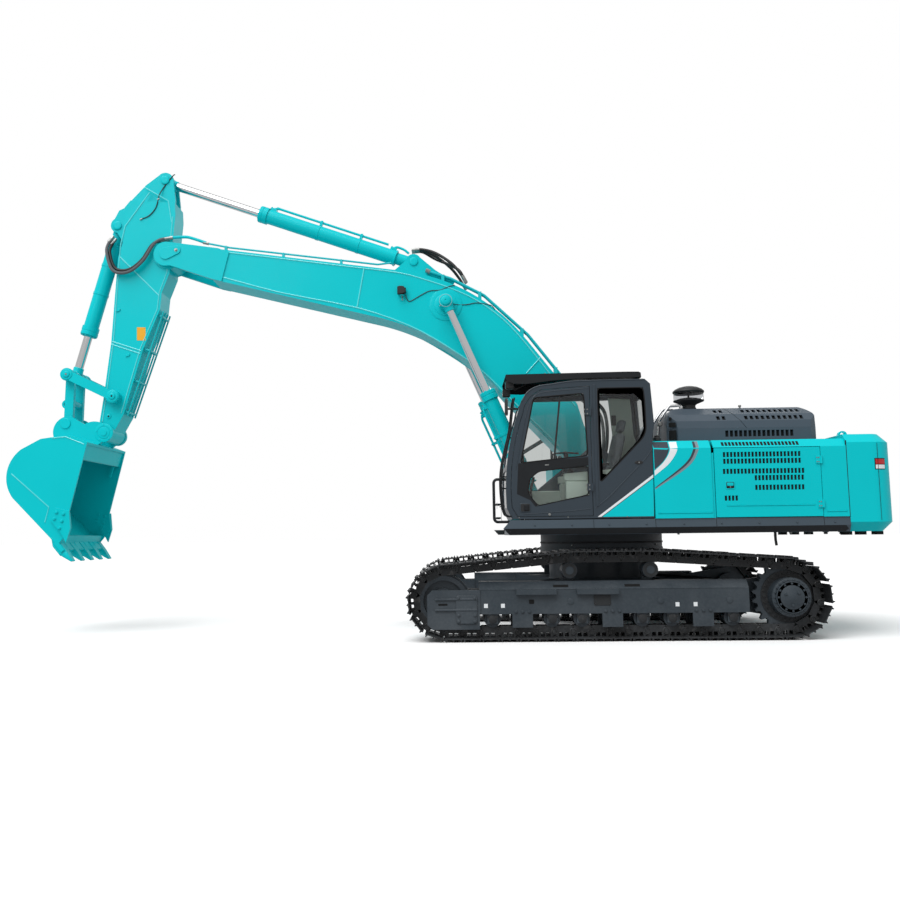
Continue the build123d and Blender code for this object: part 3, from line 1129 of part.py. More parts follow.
with BuildPart() as boom:
    box_beam(BOOM_HALF_WIDTH, BOOM_WALL, *BOOM_OUTLINE)
    cross_pin(BOOM_FOOT, FOOT_RADIUS, (-BOOM_HALF_WIDTH - 8, BOOM_HALF_WIDTH + 8))
    cross_pin(BOOM_FOOT, FOOT_PIN_RADIUS, (-BRACKET_OUTER - 12, BRACKET_OUTER + 12))
    for _, side in SIDES:
        ear = lane(side, NOSE_EAR_INNER, NOSE_EAR_OUTER)
        cross_plate(ear, at(-5150, 5208), at(-5870, 5317), (at(-6052, 5149), at(-5905, 4978)), at(-5819, 4981),
                    at(-5215, 4768), at(-5100, 4740), at(-5000, 5150))
        cross_bore(ARM_PIVOT, ARM_PIN_RADIUS, ear)
        bracket = lane(side, EAR_INNER, EAR_OUTER)
        cross_plate(bracket, at(-2790, 4830), at(-2565, 5020), (at(-2460, 5108), at(-2375, 5060)),
                    at(-2160, 4870), at(-1900, 4700), at(-1950, 4580), at(-2700, 4790))
        cross_bore(ARM_CYLINDER_BASE, CYLINDER_PIN_RADIUS, bracket)
        cross_pin(BOOM_CYLINDER_EYE, 152, lane(side, BOOM_HALF_WIDTH - 5, BOOM_HALF_WIDTH + 14))
        cross_pin(BOOM_CYLINDER_EYE, 98,
                  lane(side, BOOM_HALF_WIDTH, BOOM_CYLINDER_Y - BOOM_EYE_HALF_WIDTH - SIDE_GAP))
boom.part.label = "boom"
export_step(boom.part, "parts/boom.step")

BOOM_PIPE_RADIUS = 17.0
BOOM_PIPE_YS = (172.0, 224.0)
BOOM_CLAMPS = ((-2060.0, 4700.0), (-1560.0, 4452.0), (-1000.0, 3930.0), (-560.0, 3390.0))
FORE_CLAMPS = ((-5050.0, 5187.0), (-4250.0, 5070.0), (-3450.0, 4958.0))

with BuildPart() as boom_pipes:
    for _, side in SIDES:
        for y in BOOM_PIPE_YS:
            bent_rail(BOOM_PIPE_RADIUS, 120, at3(-2250, side * y, 4830), at3(-1950, side * y, 4725),
                      at3(-1500, side * y, 4480), at3(-920, side * y, 3925), at3(-300, side * y, 3110))
        clamp = lane(side, BOOM_PIPE_YS[0] - 30, BOOM_PIPE_YS[1] + 30)
        for x, z in BOOM_CLAMPS:
            block((SWING_X + x - 22, SWING_X + x + 22), clamp, (z - 70, z + 75))
        bent_rail(BOOM_PIPE_RADIUS - 4, 90, at3(-5300, side * 235, 5290), at3(-5000, side * 235, 5225),
                  at3(-2950, side * 235, 4940), at3(-2760, side * 235, 4960))
        for x, z in FORE_CLAMPS:
            block((SWING_X + x - 18, SWING_X + x + 18), lane(side, 212, 258), (z - 12, z + 55))
    cross_plate((-BOOM_HALF_WIDTH - 1, BOOM_HALF_WIDTH + 1), *BOOM_OUTLINE, mode=Mode.SUBTRACT)
boom_pipes.part.label = "boom_pipes"
export_step(boom_pipes.part, "parts/boom_pipes.step")

with BuildPart() as boom_lamp:
    block((SWING_X - 2680, SWING_X - 2560), lane(-1, BOOM_HALF_WIDTH, BOOM_HALF_WIDTH + 95), (4490, 4610))
boom_lamp.part.label = "boom_lamp"
export_step(boom_lamp.part, "parts/boom_lamp.step")

# ---------------------------------------------------------------------------------------------
# Cylinders
# ---------------------------------------------------------------------------------------------


def barrel(base, eye, y, eye_half_width, radius, rod_radius, length, pin_span):
    """A cylinder's barrel from its base eye, bored for the rod, with the pin that carries it."""
    strut(base, along(base, eye, BARREL_START), y, eye_half_width - 6)
    strut(along(base, eye, BARREL_START), along(base, eye, length), y, radius)
    strut(along(base, eye, length - GLAND_LENGTH), along(base, eye, length), y, radius + GLAND_EXTRA)
    strut(along(base, eye, BORE_START), along(base, eye, length + 1), y, rod_radius + RUNNING_GAP,
          mode=Mode.SUBTRACT)
    cross_pin(base, EYE_RADIUS, (y - eye_half_width, y + eye_half_width))
    cross_pin(base, CYLINDER_PIN_RADIUS, pin_span)


def rod(base, eye, y, eye_half_width, rod_radius, barrel_length, inside):
    """A cylinder's rod from inside its barrel to the eye at its end."""
    strut(along(base, eye, barrel_length - inside), eye, y, rod_radius)
    cross_pin(eye, EYE_RADIUS, (y - eye_half_width, y + eye_half_width))


with BuildPart() as boom_cylinder_barrels:
    for _, side in SIDES:
        barrel(BOOM_CYLINDER_BASE, BOOM_CYLINDER_EYE, side * BOOM_CYLINDER_Y, BOOM_EYE_HALF_WIDTH,
               BOOM_BARREL_RADIUS, BOOM_ROD_RADIUS, BOOM_BARREL_LENGTH,
               lane(side, BRACKET_INNER - 10, BOOM_CYLINDER_Y + BOOM_EYE_HALF_WIDTH + 12))
boom_cylinder_barrels.part.label = "boom_cylinder_barrels"
export_step(boom_cylinder_barrels.part, "parts/boom_cylinder_barrels.step")

with BuildPart() as boom_cylinder_rods:
    for _, side in SIDES:
        rod(BOOM_CYLINDER_BASE, BOOM_CYLINDER_EYE, side * BOOM_CYLINDER_Y, BOOM_EYE_HALF_WIDTH,
            BOOM_ROD_RADIUS, BOOM_BARREL_LENGTH, BOOM_ROD_INSIDE)
        cross_pin(BOOM_CYLINDER_EYE, CYLINDER_PIN_RADIUS,
                  lane(side, BOOM_CYLINDER_Y, BOOM_CYLINDER_Y + BOOM_EYE_HALF_WIDTH + 14))
boom_cylinder_rods.part.label = "boom_cylinder_rods"
export_step(boom_cylinder_rods.part, "parts/boom_cylinder_rods.step")

SINGLE_PIN_SPAN = (-EAR_OUTER - 10, EAR_OUTER + 10)

# Name, base pin, rod eye, barrel length and rod inside it, of the cylinders on the middle plane
SINGLE_CYLINDERS = (
    ("arm_cylinder", ARM_CYLINDER_BASE, ARM_CYLINDER_EYE, ARM_BARREL_LENGTH, ARM_ROD_INSIDE),
    ("bucket_cylinder", BUCKET_CYLINDER_BASE, ROCKER_TOP, BUCKET_BARREL_LENGTH, BUCKET_ROD_INSIDE),
)

for name, base, eye, length, inside in SINGLE_CYLINDERS:
    with BuildPart() as cylinder_barrel:
        barrel(base, eye, 0, EYE_HALF_WIDTH, BARREL_RADIUS, ROD_RADIUS, length, SINGLE_PIN_SPAN)
    cylinder_barrel.part.label = f"{name}_barrel"
    export_step(cylinder_barrel.part, f"parts/{name}_barrel.step")
    with BuildPart() as cylinder_rod:
        rod(base, eye, 0, EYE_HALF_WIDTH, ROD_RADIUS, length, inside)
    cylinder_rod.part.label = f"{name}_rod"
    export_step(cylinder_rod.part, f"parts/{name}_rod.step")

# ---------------------------------------------------------------------------------------------
# Arm and the linkage that turns the bucket
# ---------------------------------------------------------------------------------------------

ARM_BAR_YS = (-150.0, -50.0, 50.0, 150.0)
ARM_BAR_RADIUS = 12.0
ARM_BAR_STANDOFF = 40.0
ARM_BRACKET_SHARES = (0.05, 0.38, 0.68, 0.97)
ARM_BAR_FIRST = at(-5972.0, 4378.0)
ARM_BAR_LAST = at(-6443.0, 2927.0)

ARM_OUTLINE = (
    at(-5790, 5900), at(-5779, 5727), at(-5848, 4889), at(-5950, 4620), at(-5972, 4378), at(-6198, 3820),
    at(-6443, 2927), at(-6572, 2690), at(-6700, 2600), at(-6790, 2700), at(-6725, 3168), at(-6640, 3936),
    at(-6577, 5123), at(-6512, 5361), at(-6500, 5850), at(-6420, 5950),
)

with BuildPart() as arm:
    box_beam(ARM_HALF_WIDTH, ARM_WALL, *ARM_OUTLINE)
    cross_pin(ARM_PIVOT, 195, (-ARM_BOSS_HALF_WIDTH, ARM_BOSS_HALF_WIDTH))
    cross_pin(ARM_PIVOT, ARM_PIN_RADIUS, (-NOSE_EAR_OUTER - 14, NOSE_EAR_OUTER + 14))
    cross_pin(BUCKET_PIVOT, ARM_TIP_RADIUS, (-ARM_BOSS_HALF_WIDTH, ARM_BOSS_HALF_WIDTH))
    cross_pin(ROCKER_PIVOT, 88, (-ROCKER_INNER + SIDE_GAP, ROCKER_INNER - SIDE_GAP))
    for _, side in SIDES:
        ear = lane(side, EAR_INNER, EAR_OUTER)
        cross_plate(ear, at(-5800, 5800), at(-5802, 5955), at(-5836, 6256), (at(-5954, 6366), at(-6040, 6330)),
                    at(-6224, 6190), at(-6440, 5960), at(-6400, 5800))
        cross_plate(ear, at(-6450, 5330), at(-6530, 5361), at(-6620, 5510), (at(-6712, 5600), at(-6660, 5710)),
                    at(-6600, 5830), at(-6450, 5900))
        cross_bore(BUCKET_CYLINDER_BASE, CYLINDER_PIN_RADIUS, ear)
    cross_bore(BUCKET_PIVOT, TIP_PIN_RADIUS, (-ARM_BOSS_HALF_WIDTH - 1, ARM_BOSS_HALF_WIDTH + 1))
    cross_bore(ROCKER_PIVOT, TIP_PIN_RADIUS, (-ROCKER_INNER, ROCKER_INNER))
arm.part.label = "arm"
export_step(arm.part, "parts/arm.step")

with BuildPart() as arm_guard:
    run_x, run_z = ARM_BAR_LAST[0] - ARM_BAR_FIRST[0], ARM_BAR_LAST[1] - ARM_BAR_FIRST[1]
    run = math.hypot(run_x, run_z)
    out_x, out_z = -run_z / run * ARM_BAR_STANDOFF, run_x / run * ARM_BAR_STANDOFF
    for y in ARM_BAR_YS:
        strut((ARM_BAR_FIRST[0] + out_x, ARM_BAR_FIRST[1] + out_z), (ARM_BAR_LAST[0] + out_x, ARM_BAR_LAST[1] + out_z),
              y, ARM_BAR_RADIUS)
    for share in ARM_BRACKET_SHARES:
        x, z = ARM_BAR_FIRST[0] + run_x * share, ARM_BAR_FIRST[1] + run_z * share
        strut((x - out_x, z - out_z), (x + out_x, z + out_z), ARM_BAR_YS[0], 15)
        strut((x - out_x, z - out_z), (x + out_x, z + out_z), ARM_BAR_YS[-1], 15)
        cross_pin((x + out_x, z + out_z), 15, (ARM_BAR_YS[0], ARM_BAR_YS[-1]))
    cross_plate((-ARM_HALF_WIDTH - 1, ARM_HALF_WIDTH + 1), *ARM_OUTLINE, mode=Mode.SUBTRACT)
arm_guard.part.label = "arm_guard"
export_step(arm_guard.part, "parts/arm_guard.step")


def link_plate(first, second, first_radius, second_radius, waist, span):
    """A bar with a round eye at each end."""
    cross_pin(first, first_radius, span)
    cross_pin(second, second_radius, span)
    length = math.dist(first, second)
    nx, nz = (second[1] - first[1]) / length, (first[0] - second[0]) / length
    corners = [(p[0] + way * nx * waist, p[1] + way * nz * waist)
               for p, way in ((first, 1), (second, 1), (second, -1), (first, -1))]
    cross_plate(span, *corners)


with BuildPart() as rocker_links:
    for _, side in SIDES:
        span = lane(side, ROCKER_INNER, ROCKER_OUTER)
        link_plate(ROCKER_PIVOT, ROCKER_TOP, 92, 88, 62, span)
        cross_pin(ROCKER_TOP, TIP_PIN_RADIUS, lane(side, EYE_HALF_WIDTH + SIDE_GAP, ROCKER_OUTER + 12))
    cross_pin(ROCKER_PIVOT, TIP_PIN_RADIUS, (-ROCKER_OUTER - 12, ROCKER_OUTER + 12))
rocker_links.part.label = "rocker_links"
export_step(rocker_links.part, "parts/rocker_links.step")

LINK_EYE_HALF_WIDTH = BUCKET_EAR_INNER - SIDE_GAP

LIFTING_EYE_REACH = 108.0
LIFTING_EYE_WIDTH = 60.0
LIFTING_EYE_RADIUS = 36.0

with BuildPart() as bucket_link:
    for _, side in SIDES:
        link_plate(ROCKER_TOP, LINK_EYE, 86, 92, 60, lane(side, 132, 196))
        cross_pin(ROCKER_TOP, 80, lane(side, EYE_HALF_WIDTH + 8, ROCKER_INNER - SIDE_GAP))
        cross_bore(ROCKER_TOP, TIP_PIN_RADIUS, lane(side, EYE_HALF_WIDTH, ROCKER_INNER))
    cross_pin(LINK_EYE, 84, (-LINK_EYE_HALF_WIDTH, LINK_EYE_HALF_WIDTH))
    middle = along(ROCKER_TOP, LINK_EYE, 370)
    cross_pin(middle, 52, (-140, 140))
    eye = (middle[0] - LIFTING_EYE_REACH, middle[1])
    cross_plate((-LIFTING_EYE_WIDTH / 2, LIFTING_EYE_WIDTH / 2), (middle[0], middle[1] + 50),
                (eye[0], eye[1] + 62), ((eye[0] - 62, eye[1]), (eye[0], eye[1] - 62)), (middle[0], middle[1] - 50))
    cross_pin(eye, LIFTING_EYE_RADIUS, (-LIFTING_EYE_WIDTH, LIFTING_EYE_WIDTH), mode=Mode.SUBTRACT)
bucket_link.part.label = "bucket_link"
export_step(bucket_link.part, "parts/bucket_link.step")

# ---------------------------------------------------------------------------------------------
# Bucket
# ---------------------------------------------------------------------------------------------

BUCKET_BACK = (at(-6729, 2500), at(-6990, 2600), at(-7349, 2553), at(-7598, 2422),
               (at(-7787, 2060), at(-7692, 1782)), at(-7083, 1166))
TOOTH_SPAN = 2 * BUCKET_HALF_WIDTH - TOOTH_WIDTH - 40

with BuildPart() as bucket:
    outer = side_profile(-BUCKET_HALF_WIDTH, *BUCKET_BACK, at(-6910, 1385), at(-6938, 1607))
    inner = offset(outer, amount=-BUCKET_WALL, kind=Kind.INTERSECTION, mode=Mode.PRIVATE)
    extrude(outer, amount=-2 * BUCKET_HALF_WIDTH)
    inner = inner.moved(Location((0, BUCKET_WALL, 0)))
    extrude(inner, amount=-2 * (BUCKET_HALF_WIDTH - BUCKET_WALL), mode=Mode.SUBTRACT)
    cross_plate((BUCKET_WALL - BUCKET_HALF_WIDTH, BUCKET_HALF_WIDTH - BUCKET_WALL), at(-6755, 2470),
                at(-6990, 1607), at(-6970, 1385), at(-7068, 1190), at(-6600, 1000), at(-6500, 2470),
                mode=Mode.SUBTRACT)
    cross_plate((-BUCKET_HALF_WIDTH, BUCKET_HALF_WIDTH), at(-7130, 1185), at(-7030, 1075), at(-6990, 1110),
                at(-7095, 1235))
    for index in range(TOOTH_COUNT):
        y = (index / (TOOTH_COUNT - 1) - 0.5) * TOOTH_SPAN
        cross_plate((y - TOOTH_WIDTH / 2, y + TOOTH_WIDTH / 2), at(-7140, 1160), at(-7035, 1035),
                    at(-6905, 958), at(-6890, 966), at(-6975, 1100), at(-7085, 1235))
    for _, side in SIDES:
        ear = lane(side, BUCKET_EAR_INNER, BUCKET_EAR_OUTER)
        cross_plate(ear, at(-6570, 2640), (at(-6700, 2800), at(-6950, 2790)), at(-7150, 2905),
                    (at(-7320, 2840), at(-7360, 2600)), at(-7380, 2500), at(-6800, 2480))
        cross_pin(BUCKET_PIVOT, 128, ear)
        cross_plate(lane(side, BUCKET_HALF_WIDTH, BUCKET_HALF_WIDTH + 34), at(-7116, 1649), at(-6929, 1606),
                    at(-6905, 1377), at(-6958, 1197), at(-7011, 1296), at(-7178, 1502))
        cross_pin(LINK_EYE, TIP_PIN_RADIUS, lane(side, BUCKET_EAR_OUTER, BUCKET_EAR_OUTER + 14))
    cross_pin(BUCKET_PIVOT, TIP_PIN_RADIUS, (-BUCKET_EAR_OUTER - 14, BUCKET_EAR_OUTER + 14))
bucket.part.label = "bucket"
export_step(bucket.part, "parts/bucket.step")
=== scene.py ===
"""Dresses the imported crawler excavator: finishes, and the pieces that only the render shows.

Metres throughout. +Z is up with the ground at zero, -X is the bucket's end and -Y the cab's side.
Pieces are drawn with x counted from the swing axis.
"""

from __future__ import annotations

import json
import logging
import math
from collections.abc import Iterable, Sequence
from dataclasses import dataclass, field
from enum import Enum
from typing import ClassVar

import bpy
from mathutils import Matrix, Vector

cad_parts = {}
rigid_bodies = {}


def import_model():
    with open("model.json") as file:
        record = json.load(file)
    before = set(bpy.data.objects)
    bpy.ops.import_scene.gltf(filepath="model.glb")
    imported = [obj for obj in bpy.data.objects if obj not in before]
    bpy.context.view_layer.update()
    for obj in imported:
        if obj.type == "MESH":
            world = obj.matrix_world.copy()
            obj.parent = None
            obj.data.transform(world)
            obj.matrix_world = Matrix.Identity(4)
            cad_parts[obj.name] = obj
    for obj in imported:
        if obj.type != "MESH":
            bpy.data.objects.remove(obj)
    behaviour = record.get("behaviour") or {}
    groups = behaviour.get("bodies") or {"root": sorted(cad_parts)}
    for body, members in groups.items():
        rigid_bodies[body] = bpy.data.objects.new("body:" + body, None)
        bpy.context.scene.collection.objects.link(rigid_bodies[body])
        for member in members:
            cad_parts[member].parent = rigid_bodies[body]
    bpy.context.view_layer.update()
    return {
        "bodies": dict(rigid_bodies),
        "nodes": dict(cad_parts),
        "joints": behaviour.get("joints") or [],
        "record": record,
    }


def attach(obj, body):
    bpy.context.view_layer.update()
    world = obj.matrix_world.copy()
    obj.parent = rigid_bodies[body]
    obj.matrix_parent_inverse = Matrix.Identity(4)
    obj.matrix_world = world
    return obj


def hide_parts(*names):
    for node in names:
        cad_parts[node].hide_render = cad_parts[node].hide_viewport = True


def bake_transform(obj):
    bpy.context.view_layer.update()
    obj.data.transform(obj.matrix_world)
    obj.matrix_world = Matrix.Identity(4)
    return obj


LOG = logging.getLogger("excavator")

Point2 = tuple[float, float]
Point3 = tuple[float, float, float]
Colour = tuple[float, float, float]

UP = (0, 0, 1)
DOWN = (0, 0, -1)
LEAST_RADIUS = 1e-5
LEAST_MITRE = 0.35

LEFT = -1
RIGHT = 1
SIDES = (("left", LEFT), ("right", RIGHT))


def srgb(red: int, green: int, blue: int) -> Colour:
    """Turns a display colour of 0 to 255 into the linear colour that shaders take."""

    def linear(value: int) -> float:
        """One channel."""
        share = value / 255
        return share / 12.92 if share <= 0.04045 else ((share + 0.055) / 1.055) ** 2.4

    return linear(red), linear(green), linear(blue)


# ------------------------------------------------------------------------------------------
# Shader node groups
# ------------------------------------------------------------------------------------------


class Socket(Enum):
    """Kinds of node group socket."""

    VALUE = "NodeSocketFloat"
    COLOUR = "NodeSocketColor"
    NORMAL = "NodeSocketVector"


class GroupBuilder:
    """Makes a shader node group with named inputs and outputs."""

    def __init__(self, name: str) -> None:
        """Starts an empty group.

        Args:
            name: the group's name.
        """
        self.tree = bpy.data.node_groups.new(name, "ShaderNodeTree")
        self.inlet = self.tree.nodes.new("NodeGroupInput")
        self.outlet = self.tree.nodes.new("NodeGroupOutput")

    def takes(self, name: str, kind: Socket, default: float | Colour | None = None) -> None:
        """Adds an input.

        Args:
            name: the socket's name.
            kind: what it carries.
            default: its value where nothing is linked.
        """
        socket = self.tree.interface.new_socket(name=name, in_out="INPUT", socket_type=kind.value)
        if kind is Socket.VALUE and default is not None:
            socket.default_value = default
        elif kind is Socket.COLOUR and default is not None:
            socket.default_value = (*default, 1.0)

    def gives(self, name: str, kind: Socket, source: bpy.types.NodeSocket) -> None:
        """Adds an output and links it.

        Args:
            name: the socket's name.
            kind: what it carries.
            source: the socket inside the group that feeds it.
        """
        self.tree.interface.new_socket(name=name, in_out="OUTPUT", socket_type=kind.value)
        self.tree.links.new(source, self.outlet.inputs[name])

    def input(self, name: str) -> bpy.types.NodeSocket:
        """The inner end of an input."""
        return self.inlet.outputs[name]

    def node(self, kind: str, **settings: object) -> bpy.types.Node:
        """Adds a node and sets its properties.

        Args:
            kind: the node's type name.
            **settings: properties by name.

        Returns:
            The new node.
        """
        node = self.tree.nodes.new(kind)
        for name, value in settings.items():
            setattr(node, name, value)
        return node

    def feed(self, socket: bpy.types.NodeSocket,
             value: bpy.types.NodeSocket | float | Sequence[float]) -> None:
        """Links a socket, or sets its value.

        Args:
            socket: the input to fill.
            value: a source socket or a plain value.
        """
        if isinstance(value, bpy.types.NodeSocket):
            self.tree.links.new(value, socket)
        else:
            socket.default_value = value

    def noise(self, scale: bpy.types.NodeSocket | float, detail: float) -> bpy.types.NodeSocket:
        """Noise over the piece's own coordinates.

        Args:
            scale: grains per metre.
            detail: octaves.

        Returns:
            The noise value, 0 to 1.
        """
        place = self.node("ShaderNodeTexCoord")
        noise = self.node("ShaderNodeTexNoise")
        self.tree.links.new(place.outputs["Object"], noise.inputs["Vector"])
        self.feed(noise.inputs["Scale"], scale)
        noise.inputs["Detail"].default_value = detail
        return noise.outputs["Fac"]

    def math(self, operation: str, first: object, second: object = 0.0,
             clamp: bool = False) -> bpy.types.NodeSocket:
        """A Math node.

        Args:
            operation: ADD, MULTIPLY and so on.
            first: a socket or number.
            second: a socket or number.
            clamp: keeps the result in 0 to 1.

        Returns:
            The result's socket.
        """
        node = self.node("ShaderNodeMath", operation=operation, use_clamp=clamp)
        self.feed(node.inputs[0], first)
        self.feed(node.inputs[1], second)
        return node.outputs[0]

    def window(self, value: bpy.types.NodeSocket, low: float, high: float) -> bpy.types.NodeSocket:
        """Spreads a band of values over 0 to 1.

        Args:
            value: the socket to read.
            low: becomes 0.
            high: becomes 1.

        Returns:
            The spread value's socket.
        """
        node = self.node("ShaderNodeMapRange", interpolation_type="SMOOTHSTEP")
        self.feed(node.inputs["Value"], value)
        node.inputs["From Min"].default_value = low
        node.inputs["From Max"].default_value = high
        return node.outputs["Result"]

    def blend(self, share: object, first: object, second: object) -> bpy.types.NodeSocket:
        """Mixes two colours.

        Args:
            share: how much of the second.
            first: a colour or its socket.
            second: a colour or its socket.

        Returns:
            The mixed colour's socket.
        """
        node = self.node("ShaderNodeMix", data_type="RGBA")
        self.feed(node.inputs[0], share)
        for socket, colour in ((node.inputs[6], first), (node.inputs[7], second)):
            self.feed(socket, colour if isinstance(colour, bpy.types.NodeSocket)
                      else (*colour, 1.0))
        return node.outputs[2]


def dust_group() -> bpy.types.NodeTree:
    """Fine dust on faces that look up, thicker in patches and near the ground.

    Returns:
        A group with outputs Colour and Roughness.
    """
    group = GroupBuilder("dust_film")
    group.takes("Colour", Socket.COLOUR, (0.5, 0.5, 0.5))
    group.takes("Dust", Socket.COLOUR, (0.24, 0.26, 0.28))
    group.takes("Roughness", Socket.VALUE, 0.4)
    group.takes("Amount", Socket.VALUE, 0.1)
    group.takes("Ground", Socket.VALUE, 0.0)
    facing = group.node("ShaderNodeSeparateXYZ")
    shape = group.node("ShaderNodeNewGeometry")
    group.tree.links.new(shape.outputs["Normal"], facing.inputs[0])
    up = group.window(facing.outputs["Z"], 0.2, 1.0)
    place = group.node("ShaderNodeTexCoord")
    height = group.node("ShaderNodeSeparateXYZ")
    group.tree.links.new(place.outputs["Object"], height.inputs[0])
    low = group.window(height.outputs["Z"], 1.1, 0.0)
    low = group.math("MULTIPLY", low, group.input("Ground"))
    patches = group.window(group.noise(2.3, 6.0), 0.35, 0.75)
    fine = group.window(group.noise(34.0, 4.0), 0.3, 0.8)
    spread = group.math("ADD", group.math("MULTIPLY", up, 0.8), group.math("ADD", low, 0.2))
    mask = group.math("MULTIPLY", spread,
                      group.math("ADD", patches, group.math("MULTIPLY", fine, 0.5)))
    mask = group.math("MULTIPLY", mask, group.input("Amount"), clamp=True)
    group.gives("Colour", Socket.COLOUR,
                group.blend(mask, group.input("Colour"), group.input("Dust")))
    rough = group.math("ADD", group.input("Roughness"), group.math("MULTIPLY", mask, 0.5),
                       clamp=True)
    group.gives("Roughness", Socket.VALUE, rough)
    return group.tree


def paint_group() -> bpy.types.NodeTree:
    """Sprayed paint: slight unevenness of tone, and the height of its orange peel.

    Returns:
        A group with outputs Colour, Roughness and Height.
    """
    group = GroupBuilder("sprayed_paint")
    group.takes("Colour", Socket.COLOUR, (0.0, 0.5, 0.5))
    group.takes("Roughness", Socket.VALUE, 0.3)
    group.takes("Unevenness", Socket.VALUE, 0.1)
    group.takes("Grain", Socket.VALUE, 260.0)
    cloud = group.noise(1.4, 3.0)
    tone = group.node("ShaderNodeHueSaturation")
    group.tree.links.new(group.input("Colour"), tone.inputs["Color"])
    shift = group.math("MULTIPLY", group.math("SUBTRACT", cloud, 0.5), group.input("Unevenness"))
    group.tree.links.new(group.math("ADD", shift, 1.0), tone.inputs["Value"])
    group.gives("Colour", Socket.COLOUR, tone.outputs["Color"])
    smear = group.math("MULTIPLY", group.math("SUBTRACT", group.noise(9.0, 5.0), 0.5), 0.18)
    group.gives("Roughness", Socket.VALUE,
                group.math("ADD", smear, group.input("Roughness"), clamp=True))
    group.gives("Height", Socket.VALUE, group.noise(group.input("Grain"), 2.0))
    return group.tree


def wear_group() -> bpy.types.NodeTree:
    """Bare metal along edges that rub, with scuffs on the faces beside them.

    Returns:
        A group with outputs Colour, Roughness and Metallic.
    """
    group = GroupBuilder("edge_wear")
    group.takes("Colour", Socket.COLOUR, (0.1, 0.1, 0.1))
    group.takes("Bare", Socket.COLOUR, (0.35, 0.34, 0.33))
    group.takes("Roughness", Socket.VALUE, 0.5)
    group.takes("Metallic", Socket.VALUE, 0.0)
    group.takes("Edge", Socket.VALUE, 0.5)
    group.takes("Scuffs", Socket.VALUE, 0.1)
    soft = group.node("ShaderNodeBevel", samples=4)
    soft.inputs["Radius"].default_value = 0.006
    shape = group.node("ShaderNodeNewGeometry")
    match = group.node("ShaderNodeVectorMath", operation="DOT_PRODUCT")
    group.tree.links.new(soft.outputs[0], match.inputs[0])
    group.tree.links.new(shape.outputs["Normal"], match.inputs[1])
    edge = group.window(match.outputs["Value"], 0.995, 0.86)
    broken = group.window(group.noise(48.0, 6.0), 0.38, 0.62)
    edge = group.math("MULTIPLY", group.math("MULTIPLY", edge, broken), group.input("Edge"))
    scuff = group.window(group.noise(11.0, 9.0), 0.6, 0.72)
    mask = group.math("ADD", edge, group.math("MULTIPLY", scuff, group.input("Scuffs")), clamp=True)
    group.gives("Colour", Socket.COLOUR,
                group.blend(mask, group.input("Colour"), group.input("Bare")))
    smooth = group.math("SUBTRACT", group.input("Roughness"), group.math("MULTIPLY", mask, 0.12),
                        clamp=True)
    group.gives("Roughness", Socket.VALUE, smooth)
    group.gives("Metallic", Socket.VALUE,
                group.math("ADD", group.input("Metallic"), mask, clamp=True))
    return group.tree


class Effects:
    """The shared node groups, each built once."""

    def __init__(self) -> None:
        """Builds them all."""
        self.dust = dust_group()
        self.paint = paint_group()
        self.wear = wear_group()


# ------------------------------------------------------------------------------------------
# Finishes
# ------------------------------------------------------------------------------------------


class Shader:
    """One material around a Principled shader, with room for the shared groups."""

    def __init__(self, name: str) -> None:
        """Makes the material.

        Args:
            name: its name.
        """
        self.material = bpy.data.materials.new(name)
        self.material.use_nodes = True
        self.tree = self.material.node_tree
        self.surface = self.tree.nodes["Principled BSDF"]

    def set(self, **values: float | Colour) -> None:
        """Sets values on the shader's sockets, spaces in their names written as underscores."""
        for name, value in values.items():
            socket = self.surface.inputs[name.replace("_", " ")]
            socket.default_value = (*value, 1.0) if isinstance(value, tuple) else value

    def group(self, tree: bpy.types.NodeTree, **values: object) -> bpy.types.Node:
        """Places a shared group.

        Args:
            tree: the group.
            **values: its inputs, each a number, a colour or a socket.

        Returns:
            The group's node.
        """
        node = self.tree.nodes.new("ShaderNodeGroup")
        node.node_tree = tree
        for name, value in values.items():
            if isinstance(value, bpy.types.NodeSocket):
                self.tree.links.new(value, node.inputs[name])
            else:
                node.inputs[name].default_value = (*value,
                                                   1.0) if isinstance(value, tuple) else value
        return node

    def link(self, source: bpy.types.NodeSocket, name: str) -> None:
        """Feeds one of the shader's sockets."""
        self.tree.links.new(source, self.surface.inputs[name])

    def bump(self, height: bpy.types.NodeSocket, distance: float, strength: float,
             round_edges: float = 0.0) -> None:
        """Feeds the normal from a height, with the edges softened where asked.

        Args:
            height: the relief.
            distance: its depth in metres.
            strength: its share.
            round_edges: radius of the softened edges, 0 for none.
        """
        bump = self.tree.nodes.new("ShaderNodeBump")
        bump.inputs["Distance"].default_value = distance
        bump.inputs["Strength"].default_value = strength
        self.tree.links.new(height, bump.inputs["Height"])
        if round_edges > 0:
            soft = self.tree.nodes.new("ShaderNodeBevel")
            soft.samples = 4
            soft.inputs["Radius"].default_value = round_edges
            self.tree.links.new(soft.outputs[0], bump.inputs["Normal"])
        self.link(bump.outputs[0], "Normal")


@dataclass(frozen=True)
class Finish:
    """What every finish has, and how its material is made."""

    name: str
    colour: Colour

    def build(self, effects: Effects) -> bpy.types.Material:
        """Makes the material.

        Args:
            effects: the shared groups.

        Returns:
            The material.
        """
        shader = Shader(self.name)
        self.fill(shader, effects)
        return shader.material

    def fill(self, shader: Shader, effects: Effects) -> None:
        """Sets up the shader, each finish in its own way."""
        raise NotImplementedError


